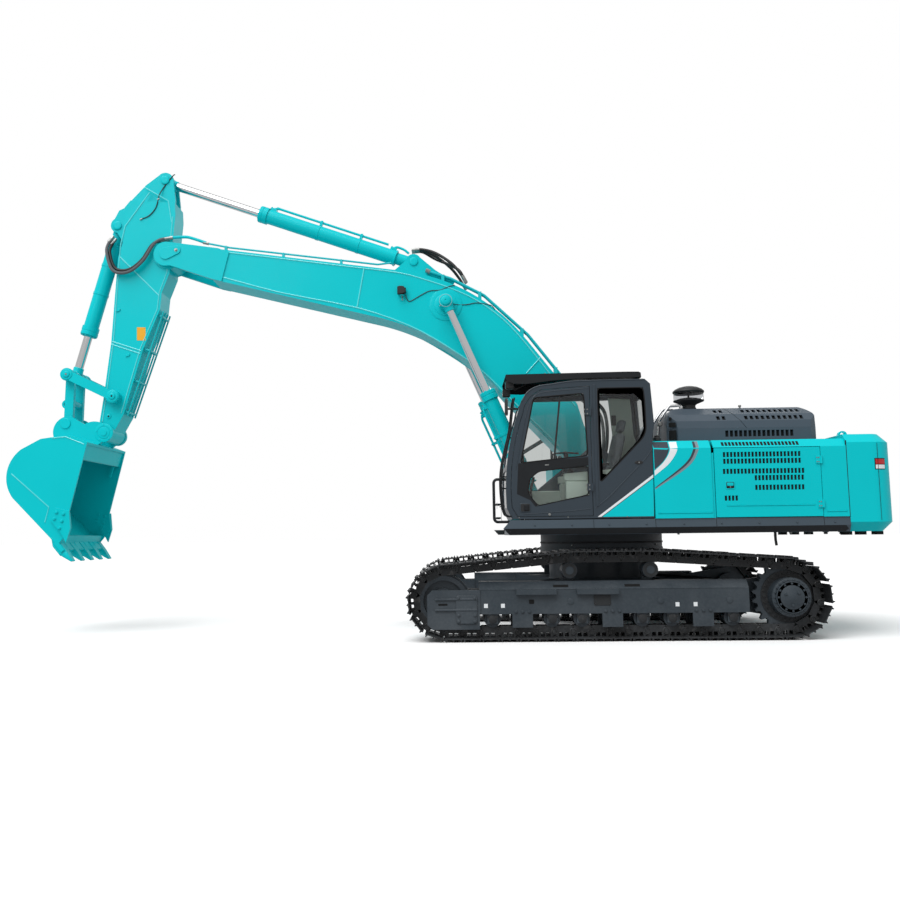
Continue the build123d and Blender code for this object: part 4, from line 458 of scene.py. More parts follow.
@dataclass(frozen=True)
class Paint(Finish):
    """Sprayed paint over sheet or plate."""

    roughness: float = 0.32
    coat: float = 0.35
    dust: float = 0.05
    ground: float = 0.0
    unevenness: float = 0.08
    peel: float = 0.00012
    edge: float = 0.004
    sheen: float = 0.3

    def fill(self, shader: Shader, effects: Effects) -> None:
        """Paint with its orange peel, and dust over it."""
        film = shader.group(effects.paint, Colour=self.colour, Roughness=self.roughness,
                            Unevenness=self.unevenness)
        dirt = shader.group(effects.dust, Colour=film.outputs["Colour"],
                            Roughness=film.outputs["Roughness"], Amount=self.dust,
                            Ground=self.ground)
        shader.link(dirt.outputs["Colour"], "Base Color")
        shader.link(dirt.outputs["Roughness"], "Roughness")
        shader.set(Coat_Weight=self.coat, Coat_Roughness=0.1, Specular_IOR_Level=self.sheen)
        shader.bump(film.outputs["Height"], self.peel, 0.5, self.edge)


@dataclass(frozen=True)
class Steel(Finish):
    """Bare, cast or lightly painted steel that rubs against earth or other steel."""

    bare: Colour = (0.33, 0.32, 0.31)
    roughness: float = 0.5
    metallic: float = 0.2
    edge: float = 0.5
    scuffs: float = 0.15
    dust: float = 0.15
    ground: float = 0.0
    grain: float = 0.0004

    def fill(self, shader: Shader, effects: Effects) -> None:
        """Steel with worn edges, and dust over it."""
        worn = shader.group(effects.wear, Colour=self.colour, Bare=self.bare,
                            Roughness=self.roughness, Metallic=self.metallic, Edge=self.edge,
                            Scuffs=self.scuffs)
        dirt = shader.group(effects.dust, Colour=worn.outputs["Colour"],
                            Roughness=worn.outputs["Roughness"], Amount=self.dust,
                            Ground=self.ground)
        film = shader.group(effects.paint, Grain=120.0)
        shader.link(dirt.outputs["Colour"], "Base Color")
        shader.link(dirt.outputs["Roughness"], "Roughness")
        shader.link(worn.outputs["Metallic"], "Metallic")
        shader.bump(film.outputs["Height"], self.grain, 0.6)


@dataclass(frozen=True)
class Moulded(Finish):
    """Plastic or rubber with a fine grain."""

    roughness: float = 0.55
    grain: float = 900.0
    depth: float = 0.0002
    dust: float = 0.1

    def fill(self, shader: Shader, effects: Effects) -> None:
        """Grained plastic or rubber, and dust over it."""
        film = shader.group(effects.paint, Colour=self.colour, Roughness=self.roughness,
                            Unevenness=0.12, Grain=self.grain)
        dirt = shader.group(effects.dust, Colour=film.outputs["Colour"],
                            Roughness=film.outputs["Roughness"], Amount=self.dust)
        shader.link(dirt.outputs["Colour"], "Base Color")
        shader.link(dirt.outputs["Roughness"], "Roughness")
        shader.bump(film.outputs["Height"], self.depth, 0.6)


@dataclass(frozen=True)
class Chrome(Finish):
    """Hard-chromed rod."""

    colour: Colour = (0.78, 0.79, 0.8)
    roughness: float = 0.12

    def fill(self, shader: Shader, effects: Effects) -> None:
        """Bright metal with the faintest ripple."""
        film = shader.group(effects.paint, Colour=self.colour, Roughness=self.roughness,
                            Unevenness=0.05)
        shader.link(film.outputs["Colour"], "Base Color")
        shader.link(film.outputs["Roughness"], "Roughness")
        shader.set(Metallic=1.0)
        shader.bump(film.outputs["Height"], 0.00002, 0.3)


@dataclass(frozen=True)
class Glass(Finish):
    """Clear or tinted glass, with a faint film of dust."""

    roughness: float = 0.02

    def fill(self, shader: Shader, effects: Effects) -> None:
        """Glass with a sheen, and a film of dust."""
        film = shader.group(effects.paint, Colour=self.colour, Roughness=self.roughness,
                            Unevenness=0.03)
        dirt = shader.group(effects.dust, Colour=film.outputs["Colour"], Roughness=self.roughness,
                            Amount=0.02)
        shader.link(dirt.outputs["Colour"], "Base Color")
        shader.set(Roughness=self.roughness, Transmission_Weight=1.0, IOR=1.06, Metallic=0.0)
        shader.set(Coat_Weight=0.6, Coat_Roughness=0.02, Coat_IOR=1.5)


class Palette:
    """Every finish of the machine, built once."""

    def __init__(self) -> None:
        """Builds them all."""
        effects = Effects()
        finishes = dict(
            teal=Paint("teal_enamel", (0.0, 0.565, 0.615), roughness=0.34, coat=0.04, dust=0.006,
                       sheen=0.12),
            # Teal lighter than the enamel: a painted highlight along the weld lines
            bead=Paint("teal_weld_bead", (0.10, 0.72, 0.75), roughness=0.25, coat=0.5, dust=0.0,
                       sheen=0.4),
            teal_rough=Paint("teal_primer_rail", (0.0, 0.51, 0.56), roughness=0.42, coat=0.1,
                             dust=0.03),
            cab=Paint("cab_enamel", srgb(47, 58, 67), roughness=0.36, coat=0.22, dust=0.03),
            hood=Paint("hood_enamel", srgb(66, 79, 90), roughness=0.42, coat=0.12, dust=0.08),
            skirt=Paint("skirt_enamel", srgb(64, 77, 87), roughness=0.4, coat=0.15, dust=0.05),
            frame=Paint("undercarriage_enamel", srgb(50, 59, 66), roughness=0.45, coat=0.1,
                        dust=0.14, ground=0.8, unevenness=0.16, peel=0.0003),
            guard=Paint("guard_enamel", srgb(16, 20, 24), roughness=0.45, coat=0.08, dust=0.05),
            track=Steel("track_shoe_steel", srgb(44, 46, 48), roughness=0.42, metallic=0.55,
                        edge=0.55, scuffs=0.1, dust=0.12, ground=0.5, grain=0.0006),
            chain=Steel("track_chain_steel", srgb(38, 39, 40), roughness=0.5, metallic=0.5,
                        edge=0.4, scuffs=0.2, dust=0.25, ground=0.6),
            cast=Steel("cast_iron", srgb(40, 42, 44), roughness=0.6, metallic=0.35, edge=0.2,
                       scuffs=0.1, dust=0.2),
            zinc=Steel("zinc_plate", srgb(150, 152, 150), roughness=0.38, metallic=0.9, edge=0.3,
                       scuffs=0.05, dust=0.05),
            chrome=Chrome("chromed_rod"),
            stainless=Chrome("stainless_rail", (0.62, 0.63, 0.64), 0.22),
            glass=Glass("cab_glazing", (0.965, 0.99, 0.98)),
            bowl=Glass("cleaner_bowl", (0.90, 0.92, 0.95), 0.05),
            lens=Glass("lamp_lens", (0.95, 0.97, 1.0), 0.05),
            plastic=Moulded("black_moulding", srgb(22, 23, 25)),
            trim=Moulded("cab_trim", srgb(165, 178, 168), roughness=0.6, dust=0.02),
            cushion=Moulded("seat_cloth", srgb(74, 80, 84), roughness=0.85, grain=420.0,
                            depth=0.0009, dust=0.03),
            rubber=Moulded("hose_rubber", srgb(18, 18, 19), roughness=0.5, grain=300.0,
                           depth=0.0004),
            sleeve=Moulded("hose_sleeve", srgb(88, 92, 96), roughness=0.75, grain=700.0,
                           depth=0.0012),
            mat=Moulded("foam_seal", srgb(10, 10, 11), roughness=0.9, dust=0.0),
            # Near-black painted shade for the shade inside slots, vents, louvres and holes; also
            # the band behind the tail reflectors
            dark=Moulded("dark_opening", srgb(8, 9, 10), roughness=0.95, dust=0.0),
            red=Paint("reflector_red", srgb(190, 20, 24), roughness=0.15, coat=0.8, dust=0.0,
                      edge=0.0),
            amber=Paint("blank_yellow_plate", srgb(236, 170, 20), roughness=0.35, coat=0.4,
                        dust=0.0, edge=0.0),
            white=Paint("stripe_white", srgb(232, 236, 238), roughness=0.3, coat=0.4, dust=0.02,
                        edge=0.0),
            silver=Paint("stripe_silver", srgb(126, 140, 148), roughness=0.3, coat=0.4, dust=0.02,
                         edge=0.0),
            slate=Paint("stripe_slate", srgb(50, 60, 70), roughness=0.3, coat=0.4, dust=0.02,
                        edge=0.0),
        )
        self.by_name = {name: finish.build(effects) for name, finish in finishes.items()}

    def __getattr__(self, name: str) -> bpy.types.Material:
        """A finish by its short name."""
        try:
            return self.__dict__["by_name"][name]
        except KeyError as missing:
            raise AttributeError(name) from missing


# ------------------------------------------------------------------------------------------
# Mesh work
# ------------------------------------------------------------------------------------------


def turned_to(direction: Vector) -> Matrix:
    """A rotation that brings +Z onto a direction."""
    return direction.to_track_quat("Z", "Y").to_matrix().to_4x4()


def smooth_run(points: Sequence[Sequence[float]], steps: int = 6) -> list[Vector]:
    """A smooth line through points.

    Args:
        points: what it passes through.
        steps: how many parts each stretch is cut into.

    Returns:
        The line's points.
    """
    ends = [Vector(p) for p in points]
    ends = [2 * ends[0] - ends[1], *ends, 2 * ends[-1] - ends[-2]]
    run = []
    for before, start, end, after in zip(ends, ends[1:], ends[2:], ends[3:]):
        for step in range(steps):
            t = step / steps
            run.append(0.5 * (2 * start + (end - before) * t
                              + (2 * before - 5 * start + 4 * end - after) * t * t
                              + (3 * start - before - 3 * end + after) * t ** 3))
    run.append(ends[-2])
    return run


class Piece:
    """Gathers one visible piece's faces, each with its finish, and makes the object.

    Its shapes are given from the swing axis, which stands at the origin that main() sets.
    """

    origin: ClassVar[Vector] = Vector()

    def __init__(self, name: str, finish: bpy.types.Material) -> None:
        """Starts an empty piece.

        Args:
            name: the object's name.
            finish: what its faces are made of until another is named.
        """
        self.name = name
        self.finishes = [finish]
        self.current = 0
        self.points: list[Vector] = []
        self.faces: list[tuple[int, ...]] = []
        self.marks: list[int] = []
        self.place = Matrix.Identity(4)

    def use(self, finish: bpy.types.Material) -> Piece:
        """Faces from here on take this finish."""
        if finish not in self.finishes:
            self.finishes.append(finish)
        self.current = self.finishes.index(finish)
        return self

    def at(self, place: Matrix | None = None) -> Piece:
        """Shapes from here on are moved by this matrix, or by none."""
        self.place = place if place is not None else Matrix.Identity(4)
        return self

    def add(self, points: Iterable[Sequence[float]], faces: Iterable[tuple[int, ...]]) -> None:
        """Adds raw faces.

        Args:
            points: corner points.
            faces: corners of each face, counted in points.
        """
        base = len(self.points)
        self.points.extend(Piece.origin + self.place @ Vector(p) for p in points)
        for face in faces:
            self.faces.append(tuple(base + i for i in face))
            self.marks.append(self.current)

    def loops(self, rings: Sequence[Sequence[Sequence[float]]], closed: bool = False,
              caps: bool = True) -> None:
        """Joins rings of as many points each into a skin.

        Args:
            rings: the rings in order.
            closed: joins the last to the first.
            caps: closes the two ends.
        """
        size = len(rings[0])
        faces = []
        count = len(rings)
        for i in range(count if closed else count - 1):
            j = (i + 1) % count
            for k in range(size):
                m = (k + 1) % size
                faces.append((i * size + k, i * size + m, j * size + m, j * size + k))
        if caps and not closed:
            faces.append(tuple(range(size))[::-1])
            faces.append(tuple((count - 1) * size + k for k in range(size)))
        self.add([p for ring in rings for p in ring], faces)

    def box(self, low: Sequence[float], high: Sequence[float], cut: float = 0.0) -> None:
        """A box between two corners.

        Args:
            low: lowest corner.
            high: highest corner.
            cut: how far its upper and lower rims are cut back.
        """
        (x0, y0, z0), (x1, y1, z1) = low, high

        def rim(z: float, inset: float) -> list[Point3]:
            """The outline at one height."""
            a, b, c, d = x0 + inset, x1 - inset, y0 + inset, y1 - inset
            return [(a, c, z), (b, c, z), (b, d, z), (a, d, z)]

        if cut > 0:
            self.loops([rim(z0, cut), rim(z0 + cut, 0), rim(z1 - cut, 0), rim(z1, cut)])
        else:
            self.loops([rim(z0, 0), rim(z1, 0)])

    def lathe(self, centre: Sequence[float], axis: Sequence[float], profile: Sequence[Point2],
              sides: int = 24, ring: bool = False) -> None:
        """A turned shape.

        Args:
            centre: where the axis starts.
            axis: its direction.
            profile: pairs of radius and distance along the axis.
            sides: facets round it.
            ring: the profile is closed round an open middle.
        """
        turn = Matrix.Translation(Vector(centre)) @ turned_to(Vector(axis))
        rings = []
        for radius, height in profile:
            rings.append([turn @ Vector((max(radius, LEAST_RADIUS)
                                         * math.cos(2 * math.pi * k / sides),
                                         max(radius, LEAST_RADIUS)
                                         * math.sin(2 * math.pi * k / sides), height))
                          for k in range(sides)])
        self.loops(rings, closed=ring)

    def rod(self, start: Sequence[float], end: Sequence[float], radius: float, sides: int = 20,
            rim: float = 0.0) -> None:
        """A round bar.

        Args:
            start: one end's centre.
            end: the other's.
            radius: its radius.
            sides: facets round it.
            rim: chamfer at both ends.
        """
        run = Vector(end) - Vector(start)
        length = run.length
        profile = [(radius, 0.0), (radius, length)]
        if rim > 0:
            profile = [(radius - rim, 0.0), (radius, rim), (radius, length - rim),
                       (radius - rim, length)]
        self.lathe(start, run, profile, sides)

    def cross(self, centre: Point2, radius: float, y_span: Point2, sides: int = 28,
              rim: float = 0.0) -> None:
        """A round bar across the machine, its centre given as x and z."""
        self.rod((centre[0], y_span[0], centre[1]), (centre[0], y_span[1], centre[1]), radius,
                 sides, rim)

    def tube(self, points: Sequence[Sequence[float]], radius: float, sides: int = 10) -> None:
        """A round tube along a line of points.

        Args:
            points: its centreline.
            radius: its radius.
            sides: facets round it.
        """
        line = [Vector(p) for p in points]
        rings = []
        side = None
        for i, here in enumerate(line):
            run = (line[min(i + 1, len(line) - 1)] - line[max(i - 1, 0)]).normalized()
            if side is None:
                side = run.orthogonal().normalized()
            side = (side - run * side.dot(run)).normalized()
            up = run.cross(side)
            rings.append([here + radius * (math.cos(2 * math.pi * k / sides) * side
                                           + math.sin(2 * math.pi * k / sides) * up)
                          for k in range(sides)])
        self.loops(rings)

    def plate(self, outline: Sequence[Point2], y_span: Point2, cut: float = 0.0) -> None:
        """A plate with a side-view outline of x and z, between two values of y.

        Args:
            outline: its corners, either way round.
            y_span: lower and higher y.
            cut: how far the outer rims are cut back, towards the outline's middle.
        """
        corners = counterclockwise(outline, False)
        rings = []
        for y, inset in (((y_span[0], cut), (y_span[0] + cut, 0.0), (y_span[1] - cut, 0.0),
                          (y_span[1], cut)) if cut > 0 else ((y_span[0], 0.0), (y_span[1], 0.0))):
            rings.append([(x, y, z) for x, z in inset_outline(corners, inset)])
        self.loops([ring[::-1] for ring in rings][::-1] if y_span[0] > y_span[1] else rings)

    def bolt(self, head: Sequence[float], axis: Sequence[float], size: float = 0.012) -> None:
        """A hexagon head with its washer, standing on a face.

        Args:
            head: the point on the face.
            axis: outwards from it.
            size: half of the head's width.
        """
        self.lathe(head, axis, [(size * 1.5, 0.0), (size * 1.5, size * 0.25),
                                (size * 1.45, size * 0.3)], 12)
        self.lathe(head, axis, [(size, 0.0), (size, size * 1.05), (size * 0.82, size * 1.25)], 6)

    def bolt_ring(self, centre: Sequence[float], axis: Sequence[float], radius: float, count: int,
                  size: float = 0.012, start: float = 0.0) -> None:
        """Bolts on a circle.

        Args:
            centre: the circle's centre, on the face.
            axis: outwards from it.
            radius: the circle's radius.
            count: how many.
            size: half of a head's width.
            start: the first one's angle.
        """
        turn = Matrix.Translation(Vector(centre)) @ turned_to(Vector(axis))
        for i in range(count):
            angle = start + 2 * math.pi * i / count
            self.bolt(turn @ Vector((radius * math.cos(angle), radius * math.sin(angle), 0)), axis,
                      size)

    def sewn(self, low: Sequence[float], high: Sequence[float], crown: float,
             steps: int = 8) -> None:
        """A padded block with crowned faces and rounded corners.

        Args:
            low: lowest corner.
            high: highest corner.
            crown: how far its edges draw in.
            steps: facets each way.
        """
        a, b = Vector(low), Vector(high)
        middle, half = (a + b) / 2, (b - a) / 2
        for axis in range(3):
            for way in (-1, 1):
                u, v = (axis + 1) % 3, (axis + 2) % 3
                points = []
                for i in range(steps + 1):
                    for j in range(steps + 1):
                        p = [0.0, 0.0, 0.0]
                        p[axis], p[u], p[v] = way, 2 * i / steps - 1, 2 * j / steps - 1
                        length = sum(abs(c) ** 6 for c in p) ** (1 / 6)
                        unit = Vector([c / length for c in p])
                        swell = 1 - crown * (1 - (1 - unit[u] ** 4) * (1 - unit[v] ** 4))
                        unit[axis] *= swell
                        points.append(middle + Vector([unit[c] * half[c] for c in range(3)]))
                row = steps + 1
                faces = []
                for i in range(steps):
                    for j in range(steps):
                        quad = (i * row + j, (i + 1) * row + j, (i + 1) * row + j + 1,
                                i * row + j + 1)
                        faces.append(quad if way > 0 else quad[::-1])
                self.add(points, faces)

    def make(self, body: str, slot: str, smooth: float = 35.0, replaces: Sequence[str] = (),
             rides: bool = True) -> bpy.types.Object:
        """Makes the object and ties it to its body.

        Args:
            body: the body it rides on.
            slot: the record's material slot that it stands for; not used.
            smooth: edges flatter than this angle are shaded smooth.
            replaces: CAD nodes that it stands for.
            rides: False leaves the piece tied to no body, for a piece that runs between two bodies.

        Returns:
            The object.
        """
        mesh = bpy.data.meshes.new(self.name)
        mesh.from_pydata([tuple(p) for p in self.points], [], self.faces)
        for finish in self.finishes:
            mesh.materials.append(finish)
        mesh.polygons.foreach_set("material_index", self.marks)
        mesh.validate()
        mesh.shade_smooth()
        mesh.set_sharp_from_angle(angle=math.radians(smooth))
        piece = bpy.data.objects.new(self.name, mesh)
        bpy.context.scene.collection.objects.link(piece)
        if rides:
            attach(piece, body)
        if replaces:
            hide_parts(*replaces)
        LOG.info("%s: %d faces on %s", self.name, len(self.faces), body)
        return piece


def rect(x0: float, z0: float, x1: float, z1: float) -> list[Point2]:
    """The outline of a rectangle between two corners."""
    return [(x0, z0), (x1, z0), (x1, z1), (x0, z1)]


def lane(start: float, depth: float) -> Point2:
    """Where a layer of some depth, to either side, starts and ends, the lower end first."""
    return min(start, start + depth), max(start, start + depth)


def quad(side: int) -> list[tuple[int, ...]]:
    """The one face of four corners, turned round for the other side."""
    return [(0, 1, 2, 3) if side > 0 else (3, 2, 1, 0)]


def band(count: int) -> list[tuple[int, ...]]:
    """The faces between two closed outlines of as many points."""
    return [(k, (k + 1) % count, count + (k + 1) % count, count + k) for k in range(count)]


def counterclockwise(outline: Sequence[Point2], wanted: bool = True) -> list[Point2]:
    """An outline's corners, run round counterclockwise, or clockwise where that is wanted."""
    area = sum(a[0] * b[1] - b[0] * a[1] for a, b in zip(outline, [*outline[1:], outline[0]]))
    return list(outline) if (area > 0) == wanted else list(outline)[::-1]


def curve(points: Sequence[Point2], steps: int) -> list[Point2]:
    """A smooth line through points of the side view."""
    return [(p.x, p.y) for p in smooth_run([(x, z, 0.0) for x, z in points], steps)]


def inset_outline(outline: Sequence[Point2], inset: float) -> list[Point2]:
    """Draws a clockwise or counterclockwise outline inwards by a distance.

    Args:
        outline: its corners.
        inset: how far, 0 for none.

    Returns:
        The inner outline's corners.
    """
    if inset == 0:
        return list(outline)
    way = 1 if counterclockwise(outline) == list(outline) else -1
    result = []
    for i, here in enumerate(outline):
        before, after = Vector(outline[i - 1]), Vector(outline[(i + 1) % len(outline)])
        here_v = Vector(here)
        first, second = (here_v - before).normalized(), (after - here_v).normalized()
        n1, n2 = Vector((-first.y, first.x)) * way, Vector((-second.y, second.x)) * way
        mean = n1 + n2
        if mean.length < 1e-6:
            result.append(here)
            continue
        mean.normalize()
        reach = inset / max(LEAST_MITRE, mean.dot(n1))
        result.append(tuple(here_v + mean * reach))
    return result


def rounded(outline: Sequence[Point2], radius: float, steps: int = 4) -> list[Point2]:
    """Rounds the corners of an outline.

    Args:
        outline: its corners.
        radius: about how far from each corner the round starts.
        steps: facets of each round.

    Returns:
        The rounded outline's points.
    """
    result = []
    for i, here in enumerate(outline):
        corner = Vector(here)
        before, after = Vector(outline[i - 1]), Vector(outline[(i + 1) % len(outline)])
        back, forth = before - corner, after - corner
        reach = min(radius, back.length / 2.2, forth.length / 2.2)
        start, end = corner + back.normalized() * reach, corner + forth.normalized() * reach
        for step in range(steps + 1):
            t = step / steps
            result.append(tuple((1 - t) ** 2 * start + 2 * t * (1 - t) * corner + t * t * end))
    return result


def bar(outline_start: Point2, outline_end: Point2, width: float) -> list[Point2]:
    """The outline of a straight bar between two points of a plane."""
    run = (Vector(outline_end) - Vector(outline_start)).normalized()
    across = Vector((-run.y, run.x)) * width / 2
    a, b = Vector(outline_start), Vector(outline_end)
    return [tuple(a + across), tuple(b + across), tuple(b - across), tuple(a - across)]


@dataclass
class Layout:
    """Where the machine's main points are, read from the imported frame."""

    joints: dict[str, Vector] = field(default_factory=dict)

    @classmethod
    def read(cls, frame: dict) -> Layout:
        """Reads the pivots.


        Returns:
            The layout.
        """
        return cls({joint["name"]: Vector(joint["pos_m"]) for joint in frame["joints"]
                    if "pos_m" in joint})

    @property
    def swing_x(self) -> float:
        """The swing axis."""
        return self.joints["swing"].x

    def pivot(self, name: str) -> Point2:
        """A joint's place in the side view, from the swing axis."""
        place = self.joints[name]
        return place.x - self.swing_x, place.z


# ------------------------------------------------------------------------------------------
# Undercarriage
# ------------------------------------------------------------------------------------------


@dataclass
class TrackLoop:
    """The path of the link pins round idler, carrier rollers and sprocket."""

    pitch: float = 0.216
    idler: Point2 = (-2.095, 0.459)
    sprocket: Point2 = (1.955, 0.478)
    carriers: tuple[float, float] = (-0.596, 0.36)
    carrier_height: float = 0.808
    carrier_pins: float = 0.0923 + 0.066
    tip: float = 0.095

    def __post_init__(self) -> None:
        """Works out the arcs and runs, and a whole number of links."""
        wheels = [(self.idler, self.idler[1] - self.tip)]
        wheels += [((x, self.carrier_height), self.carrier_pins) for x in self.carriers]
        wheels.append((self.sprocket, self.sprocket[1] - self.tip))
        leaving = [self.tangent(wheels[i], wheels[(i + 1) % len(wheels)])
                   for i in range(len(wheels))]
        self.parts = []
        for i, (centre, radius) in enumerate(wheels):
            turn = (leaving[i - 1] - leaving[i]) % (2 * math.pi)
            self.parts.append((radius * turn, centre, radius, leaving[i - 1]))
            following, next_radius = wheels[(i + 1) % len(wheels)]
            ray = Vector((math.cos(leaving[i]), math.sin(leaving[i])))
            start, end = Vector(centre) + ray * radius, Vector(following) + ray * next_radius
            self.parts.append(((end - start).length, tuple(start), None, leaving[i]))
        self.length = sum(part[0] for part in self.parts)
        self.count = round(self.length / self.pitch)
        self.pitch = self.length / self.count

    @staticmethod
    def tangent(first: tuple[Point2, float], second: tuple[Point2, float]) -> float:
        """The outward angle at which a run leaves the first wheel for the second."""
        (x1, z1), r1 = first
        (x2, z2), r2 = second
        return math.atan2(z2 - z1, x2 - x1) + math.acos((r1 - r2) / math.hypot(x2 - x1, z2 - z1))

    def pin(self, distance: float) -> tuple[Point2, float]:
        """A point of the pin line and its outward angle.

        Args:
            distance: how far along the loop.

        Returns:
            The point as x and z, and the angle.
        """
        distance %= self.length
        for length, origin, radius, angle in self.parts:
            if distance <= length:
                break
            distance -= length
        if radius is None:
            return (origin[0] + distance * math.sin(angle),
                    origin[1] - distance * math.cos(angle)), angle
        angle -= distance / radius
        return (origin[0] + radius * math.cos(angle), origin[1] + radius * math.sin(angle)), angle

    def link_places(self, middle: float) -> list[Matrix]:
        """Each link's place: X forward along it, Z outwards, its origin between its two pins.

        Args:
            middle: y of the track's middle plane.

        Returns:
            A matrix for each link.
        """
        places = []
        for i in range(self.count):
            start, end = self.pin(i * self.pitch)[0], self.pin((i + 1) * self.pitch)[0]
            forward = (Vector((end[0], 0, end[1])) - Vector((start[0], 0, start[1]))).normalized()
            across = Vector((0, 1, 0))
            out = forward.cross(across)
            _, angle = self.pin((i + 0.5) * self.pitch)
            if out.dot(Vector((math.cos(angle), 0, math.sin(angle)))) < 0:
                across, out = -across, -out
            place = Matrix((forward, across, out)).transposed().to_4x4()
            place.translation = Vector(((start[0] + end[0]) / 2, middle, (start[1] + end[1]) / 2))
            places.append(place)
        return places


@dataclass
class Track:
    """One track: links, pins and triple-grouser shoes with their bolts."""

    palette: Palette
    loop: TrackLoop
    gauge: float = 2.6
    shoe_width: float = 0.6
    rail_inner: float = 0.045
    rail_outer: float = 0.095
    rail_depth: float = 0.066
    plate_inner: float = 0.059
    plate_outer: float = 0.071
    boss: tuple[Point2, ...] = ((0.041, 0.0), (0.041, 0.007), (0.037, 0.010), (0.031, 0.010),
                                (0.028, 0.002), (0.022, 0.002), (0.020, 0.008), (0.0, 0.008))

    def shoe_outline(self) -> list[Point2]:
        """The shoe's cross-section: distance along the link and distance outwards."""
        p, outer, inner, tip = self.loop.pitch, self.plate_outer, self.plate_inner, self.loop.tip
        top = [(-0.53, outer - 0.012), (-0.47, outer - 0.004), (-0.435, tip - 0.003),
               (-0.40, tip - 0.003), (-0.345, outer), (-0.05, outer), (-0.018, tip - 0.005),
               (0.018, tip - 0.005), (0.05, outer), (0.34, outer), (0.385, tip), (0.42, tip),
               (0.455, outer), (0.49, outer - 0.008)]
        low = [(0.46, inner - 0.003), (0.4, inner), (-0.44, inner), (-0.5, inner - 0.012)]
        return [(share * p, out) for share, out in top + low]

    def link_outline(self) -> list[Point2]:
        """A link's side plate: an eye round each pin, the rail below and the shoe's seat above."""
        p, eye = self.loop.pitch / 2, 0.042
        ring = [(p + eye * math.cos(a), eye * math.sin(a)) for a in (-1.2, -0.5, 0.1, 0.7)]
        back = [(-p - eye * math.cos(a), eye * math.sin(a)) for a in (0.7, 0.1, -0.5, -1.2)]
        return [(0.075, self.plate_inner), *ring[::-1], (p - 0.012, -self.rail_depth),
                (-p + 0.012, -self.rail_depth), *back[::-1], (-0.075, self.plate_inner),
                (-0.062, self.plate_inner), (-0.056, 0.014), (-0.012, 0.014),
                (-0.008, self.plate_inner), (0.008, self.plate_inner), (0.012, 0.014),
                (0.056, 0.014), (0.062, self.plate_inner)]

    def add_link(self, piece: Piece) -> None:
        """Adds one link with its shoe, in the link's own place."""
        half = self.shoe_width / 2
        outline = self.shoe_outline()
        piece.use(self.palette.track)
        piece.loops([[(x, y, z) for x, z in outline] for y in (-half, half)][::-1])
        piece.use(self.palette.chain)
        plate = self.link_outline()
        for side in (-1, 1):
            piece.loops([[(x, y, z) for x, z in plate]
                         for y in sorted((side * self.rail_inner, side * self.rail_outer))])
            piece.lathe((-self.loop.pitch / 2, side * self.rail_outer, 0), (0, side, 0), self.boss,
                        18)
            for x in (-0.034, 0.048):
                piece.bolt((x, side * 0.07, self.plate_outer), UP, 0.013)
        piece.rod((-self.loop.pitch / 2, -self.rail_inner, 0),
                  (-self.loop.pitch / 2, self.rail_inner, 0), 0.034, 12)

    def build(self) -> None:
        """Makes both tracks."""
        for side_name, side in SIDES:
            piece = Piece(f"track_chain_{side_name}", self.palette.track)
            for place in self.loop.link_places(side * self.gauge / 2):
                piece.at(place)
                self.add_link(piece)
            piece.at()
            piece.make("undercarriage", slot="track_steel", replaces=[f"track_{side_name}"],
                       smooth=30)


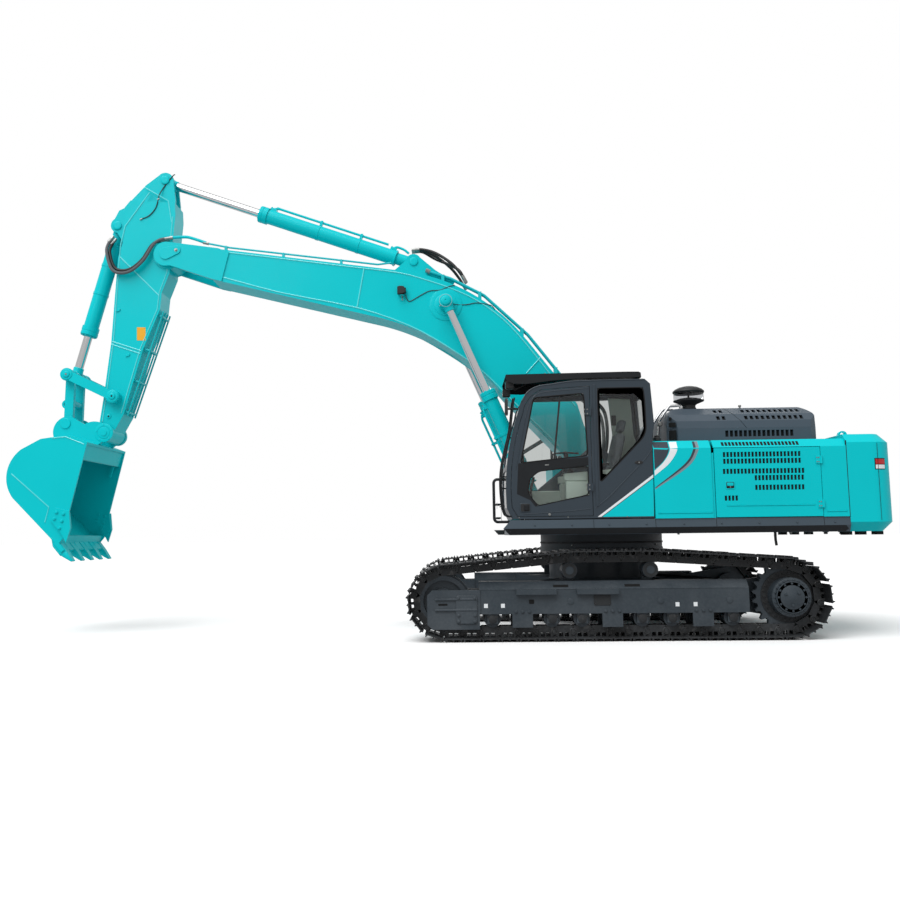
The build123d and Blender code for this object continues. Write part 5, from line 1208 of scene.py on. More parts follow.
@dataclass
class Undercarriage:
    """Bolts, ribs, covers and guards on the track frames, wheels and swing bearing."""

    palette: Palette
    loop: TrackLoop
    middle: float = 1.3
    frame_face: float = 1.49
    shoulder: float = 0.592
    shoulder_lean: float = 85 / 92
    hub_face: float = 1.555
    roller_first: float = -1.52
    roller_last: float = 1.29
    roller_count: int = 9
    roller_height: float = 0.245
    hub_radius: float = 0.226

    def build(self) -> None:
        """Builds and dresses everything below the upper frame."""
        Track(self.palette, self.loop).build()
        for side_name, side in SIDES:
            self.build_frame_dress(side_name, side)
            self.build_drive_dress(side_name, side)
            self.build_roller_dress(side_name, side)
        self.build_bearing()
        self.build_centre()

    def build_frame_dress(self, side_name: str, side: int) -> None:
        """Ribs, covers, slots, blank plates and step treads of one track frame."""
        piece = Piece(f"frame_fittings_{side_name}", self.palette.frame)
        face = side * self.frame_face
        yoke_face = side * (self.frame_face + 0.01)
        for z in (0.486, 0.362):
            x0, x1 = -2.20, -1.70
            piece.plate(rect(x0, z - 0.012, x1, z + 0.012), lane(yoke_face, side * 0.022), 0.004)
        piece.plate(rounded(rect(-1.95, 0.53, -1.70, 0.2), 0.03), lane(yoke_face, side * 0.016),
                    0.004)
        for x, z in ((-1.92, 0.50), (-1.73, 0.50), (-1.92, 0.23), (-1.73, 0.23), (-1.92, 0.30),
                     (-1.73, 0.30)):
            piece.bolt((x, yoke_face + side * 0.016, z), (0, side, 0), 0.015)
        # Painted shade: dark patches stand in for the shade inside the yoke's slot, the shoulder
        # slots and the frame's hole
        piece.use(self.palette.dark)
        piece.plate(rounded(rect(-2.16, 0.435, -2.05, 0.413), 0.01), lane(yoke_face, side * 0.003))
        for x0, x1, z in ((-0.80, -0.62, 0.615), (0.04, 0.22, 0.615)):
            self.slot_on_slope(piece, side, x0, x1, z)
        piece.plate(rounded(rect(-1.09, 0.475, -1.03, 0.425), 0.012), lane(face, side * 0.003))
        piece.use(self.palette.frame)
        ring = [(0.036, 0.0), (0.036, 0.006), (0.03, 0.008)]
        for x in (-0.6, 0.45, 1.25):
            piece.lathe((x, face, 0.45), (0, side, 0), ring, 20)
        for x0, x1 in ((-1.24, -0.77), (-0.53, -0.04)):
            for k in range(5):
                y = face + side * (0.006 + 0.012 * k)
                a, b = lane(y, side * 0.005)
                piece.box((x0 + 0.02, a, self.shoulder), (x1 - 0.02, b, self.shoulder + 0.004))
        for x in (-1.168, -0.115, 0.938):
            for dx in (-0.08, 0.0, 0.08):
                piece.bolt((x + dx, side * (self.middle + 0.19), 0.335), (0, side, 0), 0.016)
        piece.tube([(x, face - side * 0.002, self.shoulder) for x in (-1.67, 1.42)], 0.006, 6)
        piece.tube([(-1.665, face + side * 0.004, z) for z in (0.32, 0.45, 0.588)], 0.008, 6)
        piece.use(self.palette.white)
        for x in (-1.62, -1.42, 0.62, 0.83):
            piece.plate(rect(x, 0.43, x + 0.045, 0.382), lane(face, side * 0.0015))
        piece.use(self.palette.cast)
        piece.plate(rounded(rect(-0.33, 0.52, -0.13, 0.4), 0.02), lane(face, side * 0.008), 0.003)
        for x, z in ((-0.315, 0.505), (-0.145, 0.505), (-0.315, 0.415), (-0.145, 0.415)):
            piece.bolt((x, face + side * 0.008, z), (0, side, 0), 0.008)
        piece.make("undercarriage", slot="frame_paint")

    def slot_on_slope(self, piece: Piece, side: int, x0: float, x1: float, z: float) -> None:
        """A slot on the sloping shoulder of a track frame, painted dark as the shade inside it."""
        top = z + 0.028
        low_y, high_y = (side * (self.frame_face - (height - self.shoulder) * self.shoulder_lean
                                 + 0.002) for height in (z, top))
        piece.add([(x0, low_y, z), (x1, low_y, z), (x1, high_y, top), (x0, high_y, top)],
                  quad(-side))

    def build_drive_dress(self, side_name: str, side: int) -> None:
        """Covers and bolt circles of the final drive and the sprocket's rim."""
        piece = Piece(f"final_drive_{side_name}", self.palette.frame)
        x, z = self.loop.sprocket
        out = (0, side, 0)
        face = side * (self.hub_face - 0.03)
        piece.lathe((x, face, z), out, [(self.hub_radius - 0.002, -0.07),
                                        (self.hub_radius - 0.002, -0.004),
                                        (self.hub_radius - 0.014, 0.004),
                                        (self.hub_radius - 0.03, 0.006), (0.182, 0.006)], 64)
        piece.bolt_ring((x, face + side * 0.006, z), out, 0.2, 22, 0.0105)
        tip = side * self.hub_face
        piece.lathe((x, tip, z), out, [(0.183, -0.022), (0.183, -0.004), (0.175, 0.0), (0.14, 0.0),
                                       (0.134, 0.005), (0.05, 0.005), (0.044, 0.009)], 64)
        piece.bolt_ring((x, tip, z), out, 0.158, 12, 0.009)
        for angle in (0.6, 2.7, 4.7):
            piece.rod((x + 0.09 * math.cos(angle), tip, z + 0.09 * math.sin(angle)),
                      (x + 0.09 * math.cos(angle), tip + side * 0.016, z + 0.09 * math.sin(angle)),
                      0.016, 8)
        piece.use(self.palette.cast)
        rim = side * (self.middle + 0.037)
        piece.lathe((x, rim, z), out, [(0.3, 0.0), (0.3, 0.016), (0.225, 0.02)], 48)
        piece.bolt_ring((x, rim + side * 0.016, z), out, 0.27, 26, 0.014)
        piece.make("undercarriage", slot="frame_paint", smooth=40)

    def build_roller_dress(self, side_name: str, side: int) -> None:
        """Caps of the bottom rollers, the idler's hub and the carrier rollers."""
        piece = Piece(f"roller_caps_{side_name}", self.palette.cast)
        step = (self.roller_last - self.roller_first) / (self.roller_count - 1)
        for i in range(self.roller_count):
            x = self.roller_first + i * step
            for face in (-1, 1):
                y = side * self.middle + face * 0.165
                piece.lathe((x, y, self.roller_height), (0, face, 0),
                            [(0.05, 0.0), (0.05, 0.012), (0.04, 0.016)], 20)
                piece.bolt_ring((x, y, self.roller_height + 0.03), (0, face, 0), 0.052, 2, 0.01)
        x, z = self.loop.idler
        for face in (-1, 1):
            y = side * self.middle + face * 0.1
            piece.lathe((x, y, z), (0, face, 0),
                        [(0.15, -0.02), (0.15, 0.008), (0.14, 0.014), (0.08, 0.016)], 40)
            piece.bolt_ring((x, y + face * 0.016, z), (0, face, 0), 0.11, 8, 0.011)
        for x in self.loop.carriers:
            centre = (x, self.loop.carrier_height)
            for face in (-1, 1):
                y = side * self.middle + face * 0.112
                piece.lathe((centre[0], y, centre[1]), (0, face, 0),
                            [(0.085, 0.0), (0.085, 0.006), (0.06, 0.012)], 28)
        piece.make("undercarriage", slot="frame_paint", smooth=40)

    def build_bearing(self) -> None:
        """Bolts and the seal of the swing bearing."""
        piece = Piece("bearing_bolts", self.palette.cast)
        piece.bolt_ring((0, 0, 1.06), DOWN, 0.76, 36, 0.016)
        piece.lathe((0, 0, 1.115), UP, [(0.798, 0.0), (0.806, 0.004), (0.806, 0.02),
                                        (0.798, 0.024)], 96)
        piece.lathe((0, 0, 1.175), UP, [(0.797, 0.0), (0.79, 0.003), (0.79, 0.012), (0.797, 0.016)],
                    96)
        piece.use(self.palette.zinc)
        for angle in (0.4, 2.2, 4.1, 5.6):
            piece.rod((0.797 * math.cos(angle), 0.797 * math.sin(angle), 1.095),
                      (0.815 * math.cos(angle), 0.815 * math.sin(angle), 1.095), 0.008, 8)
        piece.make("undercarriage", slot="frame_paint")

    def build_centre(self) -> None:
        """Cover plates, bolts, weld beads and the travel hoses of the centre frame."""
        piece = Piece("centre_frame_fittings", self.palette.frame)
        piece.lathe((0, 0, 0.44), DOWN, [(0.36, 0.0), (0.36, 0.01), (0.35, 0.012)], 40)
        piece.bolt_ring((0, 0, 0.428), DOWN, 0.33, 16, 0.012)
        for way in (-1, 1):
            for side in (-1, 1):
                start = Vector((way * 0.52, side * 0.18, 0.661))
                end = Vector((way * 1.05, side * 1.09, 0.661))
                piece.tube([start, end], 0.008, 6)
                piece.tube([start - Vector((0, 0, 0.222)), end - Vector((0, 0, 0.222))], 0.008, 6)
        piece.tube([(0.692 * math.cos(a / 24 * math.pi), 0.692 * math.sin(a / 24 * math.pi), 0.664)
                    for a in range(49)], 0.01, 6)
        piece.use(self.palette.rubber)
        for side in (-1, 1):
            for k in range(3):
                offset = 0.045 * k
                piece.tube(smooth_run([(0.5, side * (0.12 + offset), 0.70),
                                       (0.8, side * (0.34 + offset), 0.69),
                                       (1.2 - offset, side * 0.85, 0.67),
                                       (1.45 - offset, side * 1.0, 0.60),
                                       (1.6, side * 1.06, 0.50 + offset)]), 0.017, 8)
        piece.make("undercarriage", slot="frame_paint")


# ------------------------------------------------------------------------------------------
# House: body, hood, counterweight and deck
# ------------------------------------------------------------------------------------------


@dataclass
class House:
    """Louvres, seams, latches, stripes, rails and small fittings of the upper body."""

    palette: Palette
    layout: Layout
    half_width: float = 1.49
    skirt_top: float = 1.408
    panel_top: float = 2.337
    bevel: float = 2.24
    bevel_inset: float = 0.092
    front_seam: float = 0.432
    door_rear: float = 2.396
    weight_front: float = 2.702
    tail_radius: float = 3.515
    weight_top: float = 2.388
    deck: float = 1.231
    hood_half: float = 1.19
    hood_base: float = 2.505
    hood_top: float = 2.788
    hood_nose: float = 0.695
    hood_seam: float = 1.44
    seam_lean: float = 0.707
    vent_depth: float = 0.03
    hood_corner: float = 0.085
    slot_pitch: float = 0.042
    stud_pitch: float = 0.06
    stud: tuple[Point2, ...] = ((0.016, 0.0), (0.012, 0.004))

    def build(self) -> None:
        """Builds every fitting of the house."""
        for side_name, side in SIDES:
            self.build_louvres(side_name, side)
            self.build_latches(side_name, side)
            self.build_skirt_dress(side_name, side)
        self.build_stripes()
        self.build_panel_relief()
        self.build_hood_dress()
        self.build_cleaner()
        self.build_counterweight_dress()
        self.build_tanks()
        self.build_deck()
        self.build_engine_bay()

    def build_louvres(self, side_name: str, side: int) -> None:
        """Louvres on a side door: slots painted dark as the shade behind them, with thin side
        edges, and the ridge below them.
        """
        piece = Piece(f"door_louvres_{side_name}", self.palette.dark)
        face = side * self.half_width
        for low, first, last in ((2.125, 1.255, 2.16), (2.045, 1.255, 2.16), (1.925, 1.255, 2.185),
                                 (1.845, 1.61, 2.19), (1.73, 1.61, 2.19), (1.608, 1.255, 1.40)):
            count = int((last - first) / self.slot_pitch + 1e-6) + 1
            middle = (first + last) / 2
            for k in range(count):
                x = middle + (k - (count - 1) / 2) * self.slot_pitch
                # Painted shade: a dark plate set just inside each slot
                piece.use(self.palette.dark)
                piece.plate(rect(x - 0.0155, low - 0.0005, x + 0.0155, low + 0.0605),
                            lane(face - side * 0.0125, side * 0.001))
                piece.use(self.palette.teal)
                a, b = sorted((face - side * 0.012, face - side * 0.0008))
                for edge in (-1, 1):
                    piece.box((x + edge * 0.0147 - 0.0015, a, low + 0.0003),
                              (x + edge * 0.0147 + 0.0015, b, low + 0.0597))
        self.press_ridge(piece, side, 1.27, 2.30, 1.551)
        piece.make(f"side_door_{side_name}", slot="teal_paint")

    def build_panel_relief(self) -> None:
        """Slots on the leaning top strip painted dark as shade, pressed ridges, seams and seals of
        the fixed panels.
        """
        piece = Piece("panel_relief", self.palette.dark)
        for side in (LEFT, RIGHT):
            # Painted shade: flat dark quads on the strip stand in for the slots' shade
            for k in range(22):
                x = 1.262 + k * self.slot_pitch
                low, high = ((side * (self.half_width - self.bevel_inset * share + 0.0008),
                              self.bevel + (self.panel_top - self.bevel) * share + 0.0008)
                             for share in (0.22, 0.72))
                piece.add([(x - 0.014, *low), (x + 0.014, *low), (x + 0.014, *high),
                           (x - 0.014, *high)], quad(-side))
        piece.use(self.palette.teal)
        for side, x0, x1 in ((LEFT, 0.46, 1.10), (LEFT, 2.43, 2.67), (RIGHT, 2.43, 2.67)):
            self.press_ridge(piece, side, x0, x1, 1.472)
        piece.use(self.palette.mat)
        seam = self.weight_front - 0.003
        for side in (LEFT, RIGHT):
            a, b = sorted((side * (self.half_width - 0.02), side * (self.half_width + 0.0006)))
            piece.box((seam - 0.004, a, self.skirt_top), (seam + 0.004, b, self.panel_top - 0.03))
        piece.make("house", slot="teal_paint")

    def press_ridge(self, piece: Piece, side: int, x0: float, x1: float, z: float) -> None:
        """Adds a long raised ridge with rounded edges to a side panel.

        Args:
            piece: the piece that takes it.
            side: which side of the machine.
            x0: its front end, from the swing axis.
            x1: its rear end, from the swing axis.
            z: the height of its middle.
        """
        face = side * self.half_width
        piece.plate(bar((x0, z), (x1, z), 0.017), lane(face - side * 0.002, side * 0.0075), 0.005)

    def build_latches(self, side_name: str, side: int) -> None:
        """The recessed handle, its lock and the hinge bolts of a side door."""
        piece = Piece(f"door_latch_{side_name}", self.palette.teal)
        face = side * self.half_width
        x0, x1, z0, z1 = 1.262, 1.378, 1.742, 1.842
        piece.plate(rounded(rect(x0, z0, x1, z1), 0.02), lane(face - side * 0.001, side * 0.005),
                    0.002)
        piece.use(self.palette.guard)
        piece.plate(rounded(rect(x0 + 0.012, z0 + 0.012, x1 - 0.012, z1 - 0.012), 0.015),
                    lane(face, side * 0.006), 0.002)
        piece.use(self.palette.teal)
        piece.plate(rounded(rect(x0 + 0.02, z0 + 0.04, x1 - 0.02, z1 - 0.02), 0.01),
                    lane(face + side * 0.004, side * 0.009), 0.004)
        piece.use(self.palette.zinc)
        piece.lathe(((x0 + x1) / 2, face + side * 0.006, z0 + 0.027), (0, side, 0),
                    [(0.009, 0.0), (0.009, 0.004), (0.007, 0.006)], 16)
        for z in (1.56, 2.08):
            for dx in (-0.05, -0.028):
                for dz in (-0.025, 0.025):
                    piece.bolt((self.door_rear + dx, face + side * 0.0133, z + dz), (0, side, 0),
                               0.005)
        piece.make(f"side_door_{side_name}", slot="teal_paint")

    def build_skirt_dress(self, side_name: str, side: int) -> None:
        """Painted shade on a side skirt's lower face as a dark band with its chevron, and the
        skirt's bolts.
        """
        piece = Piece(f"skirt_trim_{side_name}", self.palette.guard)
        ridge, low = 1.308, self.deck
        lean = 0.035 / (ridge - low)

        def at_height(z: float) -> float:
            """y of the skirt's lower face."""
            return side * (self.half_width - (ridge - z) * lean + 0.0012)

        # Painted shade: the near-black colour over the lower face stands in for the shade under the
        # fold
        x0, x1 = -1.366, self.weight_front
        outline = [(x0 + 0.004, ridge - 0.002), (x1 - 0.055, ridge - 0.002),
                   (x1 - 0.02, ridge - 0.042), (x1 - 0.055, low + 0.004), (x0 + 0.068, low + 0.004)]
        piece.add([(x, at_height(z), z) for x, z in outline], [tuple(range(len(outline)))[::side]])
        piece.use(self.palette.mat)
        for x in (-0.30, 0.43, 1.142, self.door_rear):
            y0, y1 = side * (self.half_width - 0.0115), side * (self.half_width + 0.0008)
            piece.add([(x - 0.003, y0, 1.405), (x + 0.003, y0, 1.405), (x + 0.003, y1, ridge),
                       (x - 0.003, y1, ridge)], quad(side))
        piece.use(self.palette.skirt)
        for k in range(9):
            piece.bolt((-1.0 + k * 0.44, side * (self.half_width - 0.003), 1.345), (0, side, 0),
                       0.008)
        piece.make("house", slot="skirt_paint")

    def build_stripes(self) -> None:
        """Curved stripes on the panel behind the cab: dark corner, white band, thin dark band."""
        piece = Piece("panel_stripes", self.palette.slate)
        left, top, low = self.front_seam + 0.006, 2.326, 1.985
        lines = (((0.620, top), (0.612, 2.20), (0.545, 2.085), (left, low)),
                 ((0.634, top), (0.624, 2.20), (0.552, 2.080), (left, 1.975)),
                 ((0.726, top), (0.708, 2.20), (0.610, 2.055), (left, 1.915)),
                 ((0.912, top), (0.895, 2.20), (0.790, 2.045), (left, 1.775)),
                 ((0.940, top), (0.925, 2.20), (0.810, 2.030), (left, 1.765)),
                 ((0.975, top), (0.960, 2.20), (0.835, 2.018), (left, 1.752)))
        corner, inner, outer, thin_inner, thin_middle, thin_outer = (curve(line, 6)
                                                                     for line in lines)
        parts = len(corner) - 1
        edge = [(left + 0.0001 * k, top - (top - low) * k / parts) for k in range(parts + 1)]
        for finish, first, second in (("slate", edge, corner), ("white", inner, outer),
                                      ("slate", thin_inner, thin_middle),
                                      ("silver", thin_middle, thin_outer)):
            piece.use(getattr(self.palette, finish))
            points = [self.on_panel(x, z) for x, z in (*first, *second)]
            count = len(first)
            piece.add(points, [(k, k + 1, count + k + 1, count + k) for k in range(count - 1)])
        piece.make("house", slot="teal_paint")

    def on_panel(self, x: float, z: float) -> Point3:
        """A point on the left panels' outer face, flat below and leaning in above the bend."""
        share = max(0.0, (z - self.bevel) / (self.panel_top - self.bevel))
        return x, -self.half_width + self.bevel_inset * share - 0.0012, z

    def build_hood_dress(self) -> None:
        """Vents with dark strips and backs painted as the shade behind their slots, corner panels,
        seam seal, knobs, cap and rail feet of the hood.
        """
        piece = Piece("hood_vents", self.palette.dark)
        level = (self.hood_base + self.panel_top) / 2 + 0.016
        # Painted shade: dark strips behind the side louvres' bars and behind the sloping faces'
        # slots
        for side in (LEFT, RIGHT):
            face = side * (self.hood_half - 0.028)
            a, b = lane(face, side * 0.002)
            piece.box((1.36, a, level - 0.045), (2.22, b, level + 0.045))
            self.back_slopes(piece, side, 1.29, 1.41)
        piece.use(self.palette.mat)
        profile = [(y * side, z) for side in (LEFT, RIGHT) for y, z in self.hood_slope()[::side]]
        for start, end in zip(profile, profile[1:]):
            corners = []
            for (y, z), width in ((start, -0.035), (start, 0.035), (end, 0.035), (end, -0.035)):
                seam = self.hood_seam + self.seam_lean * (self.hood_top - z)
                corners.append((seam + width, y * 0.973, z - 0.031))
            piece.add(corners, quad(1))
        piece.use(self.palette.hood)
        for side in (LEFT, RIGHT):
            a, b = sorted((side * (self.hood_half - 0.02), side * (self.hood_half - 0.002)))
            for k in range(16):
                x = 1.79 + (k - 7.5) * 0.056
                piece.box((x - 0.004, a, level - 0.037), (x + 0.004, b, level + 0.037))
        piece.make("house", slot="grey_paint")

        lid = Piece("hood_top_vents", self.palette.dark)
        for side in (LEFT, RIGHT):
            self.back_slopes(lid, side, 1.62, 2.37)
            for row in range(2):
                for k in range(9):
                    self.add_top_slot(lid, 1.66 + k * 0.078,
                                      side * (self.hood_half - 0.53 - row * 0.15))
        lid.use(self.palette.zinc)
        lid.rod((1.665, -0.87, self.hood_top), (1.665, -0.87, self.hood_top + 0.02), 0.012, 12)
        lid.rod((1.665, -0.87, self.hood_top + 0.018), (1.665, -0.87, self.hood_top + 0.04), 0.019,
                16, 0.004)
        lid.make("hood", slot="grey_paint")

        front = Piece("hood_front_fittings", self.palette.dark)
        cut = self.hood_half - self.hood_corner
        # Painted shade: dark patches for the louvre openings on the hood's front corners
        for side in (LEFT, RIGHT):
            for x0, x1, z0, z1 in ((0.712, 0.785, 2.352, 2.49), (0.712, 0.783, 2.528, 2.586),
                                   (0.714, 0.744, 2.612, 2.655)):
                outline = rounded(rect(x0, z0, x1, z1), 0.01)
                front.add([(px - 0.0012, side * (cut + px - self.hood_nose + 0.0012), pz) for px,
                           pz in outline], [tuple(range(len(outline)))])
        for row in range(2):
            for k in range(2):
                self.add_top_slot(front, 1.22 + k * 0.085, -self.hood_half + 0.53 + row * 0.15)
        front.use(self.palette.plastic)
        front.rod((0.515, -1.33, self.panel_top), (0.515, -1.33, self.panel_top + 0.055), 0.045, 20,
                  0.012)
        front.rod((0.515, -1.33, self.panel_top + 0.05), (0.515, -1.33, self.panel_top + 0.075),
                  0.032, 16, 0.008)
        front.use(self.palette.zinc)
        foot = [(0.04, 0.0), (0.04, 0.006), (0.02, 0.01)]
        for rail_y in (-0.85, -0.45):
            front.lathe((0.93, rail_y, self.hood_top), UP, foot, 20)
            front.lathe((0.62, rail_y, self.panel_top), UP, foot, 20)
        front.rod((0.655, -0.875, 2.60), (0.655, -0.915, 2.60), 0.03, 20, 0.008)
        front.make("house", slot="grey_paint")

    def hood_slope(self) -> list[Point2]:
        """The cover's side in section, as distance from the middle and height, foot first."""
        tucks = ((0.0, self.hood_base), (0.018, 2.60), (0.105, 2.69), (0.29, self.hood_top))
        return [(self.hood_half - tuck, z) for tuck, z in tucks]

    def back_slopes(self, piece: Piece, side: int, first: float, last: float) -> None:
        """Dark backs behind the slots of the cover's two sloping faces, painted shade for the
        hollow behind them.

        Args:
            piece: the piece that takes them.
            side: which side of the machine.
            first: where they start, from the swing axis.
            last: where they end.
        """
        for (y0, z0), (y1, z1) in zip(self.hood_slope()[1:], self.hood_slope()[2:]):
            length = math.hypot(y1 - y0, z1 - z0)
            ny, nz = (z1 - z0) / length * self.vent_depth, (y0 - y1) / length * self.vent_depth
            low, high = (side * (y0 - ny), z0 - nz + 0.012), (side * (y1 - ny), z1 - nz - 0.004)
            piece.add([(first, *low), (last, *low), (last, *high), (first, *high)], quad(1))

    def add_top_slot(self, piece: Piece, x: float, y: float) -> None:
        """A raised vent hood on the hood's top, its mouth a dark box painted as the shade inside
        it.
        """
        z = self.hood_top
        piece.use(self.palette.hood)
        piece.loops([[(x - 0.03, y - 0.05, z), (x + 0.03, y - 0.05, z), (x + 0.03, y + 0.05, z),
                      (x - 0.03, y + 0.05, z)],
                     [(x - 0.022, y - 0.045, z + 0.016), (x + 0.026, y - 0.045, z + 0.016),
                      (x + 0.026, y + 0.045, z + 0.016), (x - 0.022, y + 0.045, z + 0.016)]])
        piece.use(self.palette.dark)
        piece.box((x + 0.0265, y - 0.042, z + 0.002), (x + 0.0305, y + 0.042, z + 0.013))

    def build_cleaner(self) -> None:
        """The pre-cleaner's cap, clear bowl, throat and clamp, and the exhaust's collar."""
        piece = Piece("pre_cleaner_cap", self.palette.plastic)
        centre = (1.058, -0.76, 0.0)
        piece.lathe(centre, UP, [(0.082, 2.7885), (0.082, 2.80), (0.09, 2.803), (0.09, 2.815),
                                 (0.082, 2.818), (0.082, 2.845), (0.10, 2.862), (0.188, 2.898),
                                 (0.192, 2.912), (0.165, 2.92)], 48)
        piece.lathe(centre, UP, [(0.165, 2.992), (0.19, 3.005), (0.197, 3.02), (0.193, 3.032),
                                 (0.172, 3.052), (0.12, 3.078), (0.06, 3.092), (0.0, 3.095)], 48)
        piece.lathe(centre, UP, [(0.165, 2.92), (0.12, 2.934), (0.05, 2.946), (0.0, 2.948)], 40)
        piece.rod((centre[0], centre[1], 2.94), (centre[0], centre[1], 3.0), 0.012, 12)
        piece.rod((centre[0], centre[1], 3.09), (centre[0], centre[1], 3.0955), 0.02, 12)
        piece.use(self.palette.bowl)
        piece.lathe(centre, UP, [(0.183, 2.914), (0.187, 2.95), (0.184, 3.003)], 48)
        piece.use(self.palette.zinc)
        piece.lathe(centre, UP, [(0.0835, 2.77), (0.0855, 2.772), (0.0855, 2.784), (0.0835, 2.786)],
                    40)
        piece.make("house", slot="dark_plastic", replaces=["pre_cleaner"], smooth=40)

        stack = Piece("exhaust_stack", self.palette.cast)
        stack.lathe((1.75, 0.64, self.hood_top), UP,
                    [(0.095, 0.0), (0.095, 0.012), (0.0708, 0.016), (0.0708, 0.03)], 32)
        stack.bolt_ring((1.75, 0.64, self.hood_top + 0.012), UP, 0.083, 6, 0.006)
        stack.make("hood", slot="cast_iron")

    def build_counterweight_dress(self) -> None:
        """Reflectors, seams, lifting points, dark feet, bolts and drain hose at the tail."""
        piece = Piece("counterweight_trim", self.palette.white)
        for side in (LEFT, RIGHT):
            for finish, z0, z1 in (("dark", 1.955, 2.09), ("red", 2.02, 2.08),
                                   ("white", 1.965, 2.012)):
                piece.use(getattr(self.palette, finish))
                lift = 0.001 if finish == "dark" else 0.004
                points = []
                steps = 8
                start, end = (0.04, 0.50) if finish == "dark" else (0.07, 0.47)
                for k in range(steps + 1):
                    share = start + (end - start) * k / steps
                    x, y, nx, ny = self.tail_point(side, share)
                    points += [(x + nx * lift, y + ny * lift, z0),
                               (x + nx * lift, y + ny * lift, z1)]
                faces = [(2 * k, 2 * k + 2, 2 * k + 3, 2 * k + 1) for k in range(steps)]
                piece.add(points, [face[::-side] for face in faces])
        piece.use(self.palette.mat)
        for side in (LEFT, RIGHT):
            y = side * (self.half_width + 0.0006)
            piece.add([(x, y, z) for x, z in rect(3.06 - 0.0025, 1.36, 3.06 + 0.0025, 2.27)],
                      quad(side))
        piece.use(self.palette.guard)
        for y in (-0.62, 0.62):
            piece.rod((3.2, y, self.weight_top), (3.2, y, self.weight_top + 0.012), 0.05, 20, 0.004)
        piece.use(self.palette.mat)
        for side in (LEFT, RIGHT):
            y0, y1 = sorted((side * 1.0592, side * 1.1808))
            for x in (2.79, 2.96, 3.16):
                piece.box((x - 0.0458, y0, self.deck - 0.0408),
                          (x + 0.0458, y1, self.deck - 0.0005))
        piece.use(self.palette.cast)
        for y in (-0.8, -0.3, 0.3, 0.8):
            piece.bolt((2.86, y, self.deck), DOWN, 0.026)
        piece.use(self.palette.rubber)
        piece.tube(smooth_run([(1.88, -1.30, 1.232), (1.88, -1.30, 1.15), (1.885, -1.31, 1.075)]),
                   0.016, 10)
        piece.use(self.palette.zinc)
        for x, y in ((2.2, -0.9), (1.2, 0.7)):
            piece.bolt((x, y, self.deck), DOWN, 0.016)
        piece.make("house", slot="teal_paint")

    def tail_point(self, side: int, share: float) -> tuple[float, float, float, float]:
        """A point on the rounded corner between the counterweight's side and its back.

        Args:
            side: which side.
            share: 0 where the round starts, 1 where it meets the tail.

        Returns:
            x, y and the outward direction's x and y.
        """
        corner = 0.27
        inner_y = self.half_width - corner
        inner_x = math.sqrt((self.tail_radius - corner) ** 2 - inner_y ** 2)
        end = math.atan2(inner_y, inner_x)
        angle = math.pi / 2 + (end - math.pi / 2) * share
        nx, ny = math.cos(angle), math.sin(angle) * side
        return inner_x + corner * nx, side * inner_y + corner * ny, nx, ny

    def build_tanks(self) -> None:
        """Caps, steps, treads, grips and lamps of the boxes on the right."""
        piece = Piece("tank_fittings", self.palette.guard)
        for x0, x1, y0, y1, z in ((-1.20, -0.62, 0.78, 1.38, 1.86),
                                  (-0.50, 0.26, 0.66, 1.38, 2.25)):
            piece.use(self.palette.guard)
            piece.box((x0, y0, z + 0.0003), (x1, y1, z + 0.006), 0.002)
            rows, columns = int((y1 - y0) / self.stud_pitch), int((x1 - x0) / self.stud_pitch)
            for i in range(columns):
                for j in range(rows):
                    stud = (x0 + 0.04 + i * self.stud_pitch, y0 + 0.04 + j * self.stud_pitch,
                            z + 0.006)
                    piece.lathe(stud, UP, self.stud, 8)
        piece.use(self.palette.zinc)
        piece.rod((0.72, 1.0, 2.313), (0.72, 1.0, 2.345), 0.11, 28, 0.006)
        piece.bolt_ring((0.72, 1.0, 2.345), UP, 0.085, 6, 0.009)
        piece.use(self.palette.plastic)
        piece.rod((-0.28, 1.0, 2.256), (-0.28, 1.0, 2.306), 0.07, 24, 0.01)
        piece.rod((0.95, 1.22, 2.313), (0.95, 1.22, 2.38), 0.035, 16, 0.006)
        piece.use(self.palette.mat)
        for x0, x1, z0, z1 in ((-1.25, -0.59, 1.43, 1.80), (-0.54, 0.30, 1.43, 2.16),
                               (0.35, 1.09, 1.43, 2.22)):
            outline = rounded(rect(x0, z0, x1, z1), 0.05)
            inner = inset_outline(outline, 0.006)
            piece.add([(px, self.half_width + 0.0008, pz) for px, pz in (*outline, *inner)],
                      [face[::-1] for face in band(len(outline))])
        piece.use(self.palette.guard)
        for x, z in ((-0.66, 1.62), (0.98, 1.85)):
            piece.plate(rounded(rect(x - 0.05, z - 0.04, x + 0.05, z + 0.04), 0.015),
                        lane(self.half_width, 0.008), 0.003)
        for z in (1.42, 1.64):
            piece.box((-1.272, 1.12, z), (-1.27, 1.44, z + 0.02))
        for z in (1.48, 1.68):
            piece.rod((-1.33, 1.16, z), (-1.33, 1.42, z), 0.014, 12)
            for y in (1.16, 1.42):
                piece.rod((-1.27, y, z), (-1.33, y, z), 0.014, 12)
        piece.use(self.palette.lens)
        piece.plate(rect(-1.333, 1.612, -1.3305, 1.708), (0.912, 1.068))
        piece.use(self.palette.zinc)
        for rail_y in (1.4, 0.75):
            for x, z in ((-1.22, 1.86), (-0.48, 2.25)):
                piece.lathe((x, rail_y, z + 0.0003), UP,
                            [(0.042, 0.0), (0.042, 0.007), (0.02, 0.01)], 20)
        piece.make("house", slot="teal_paint")

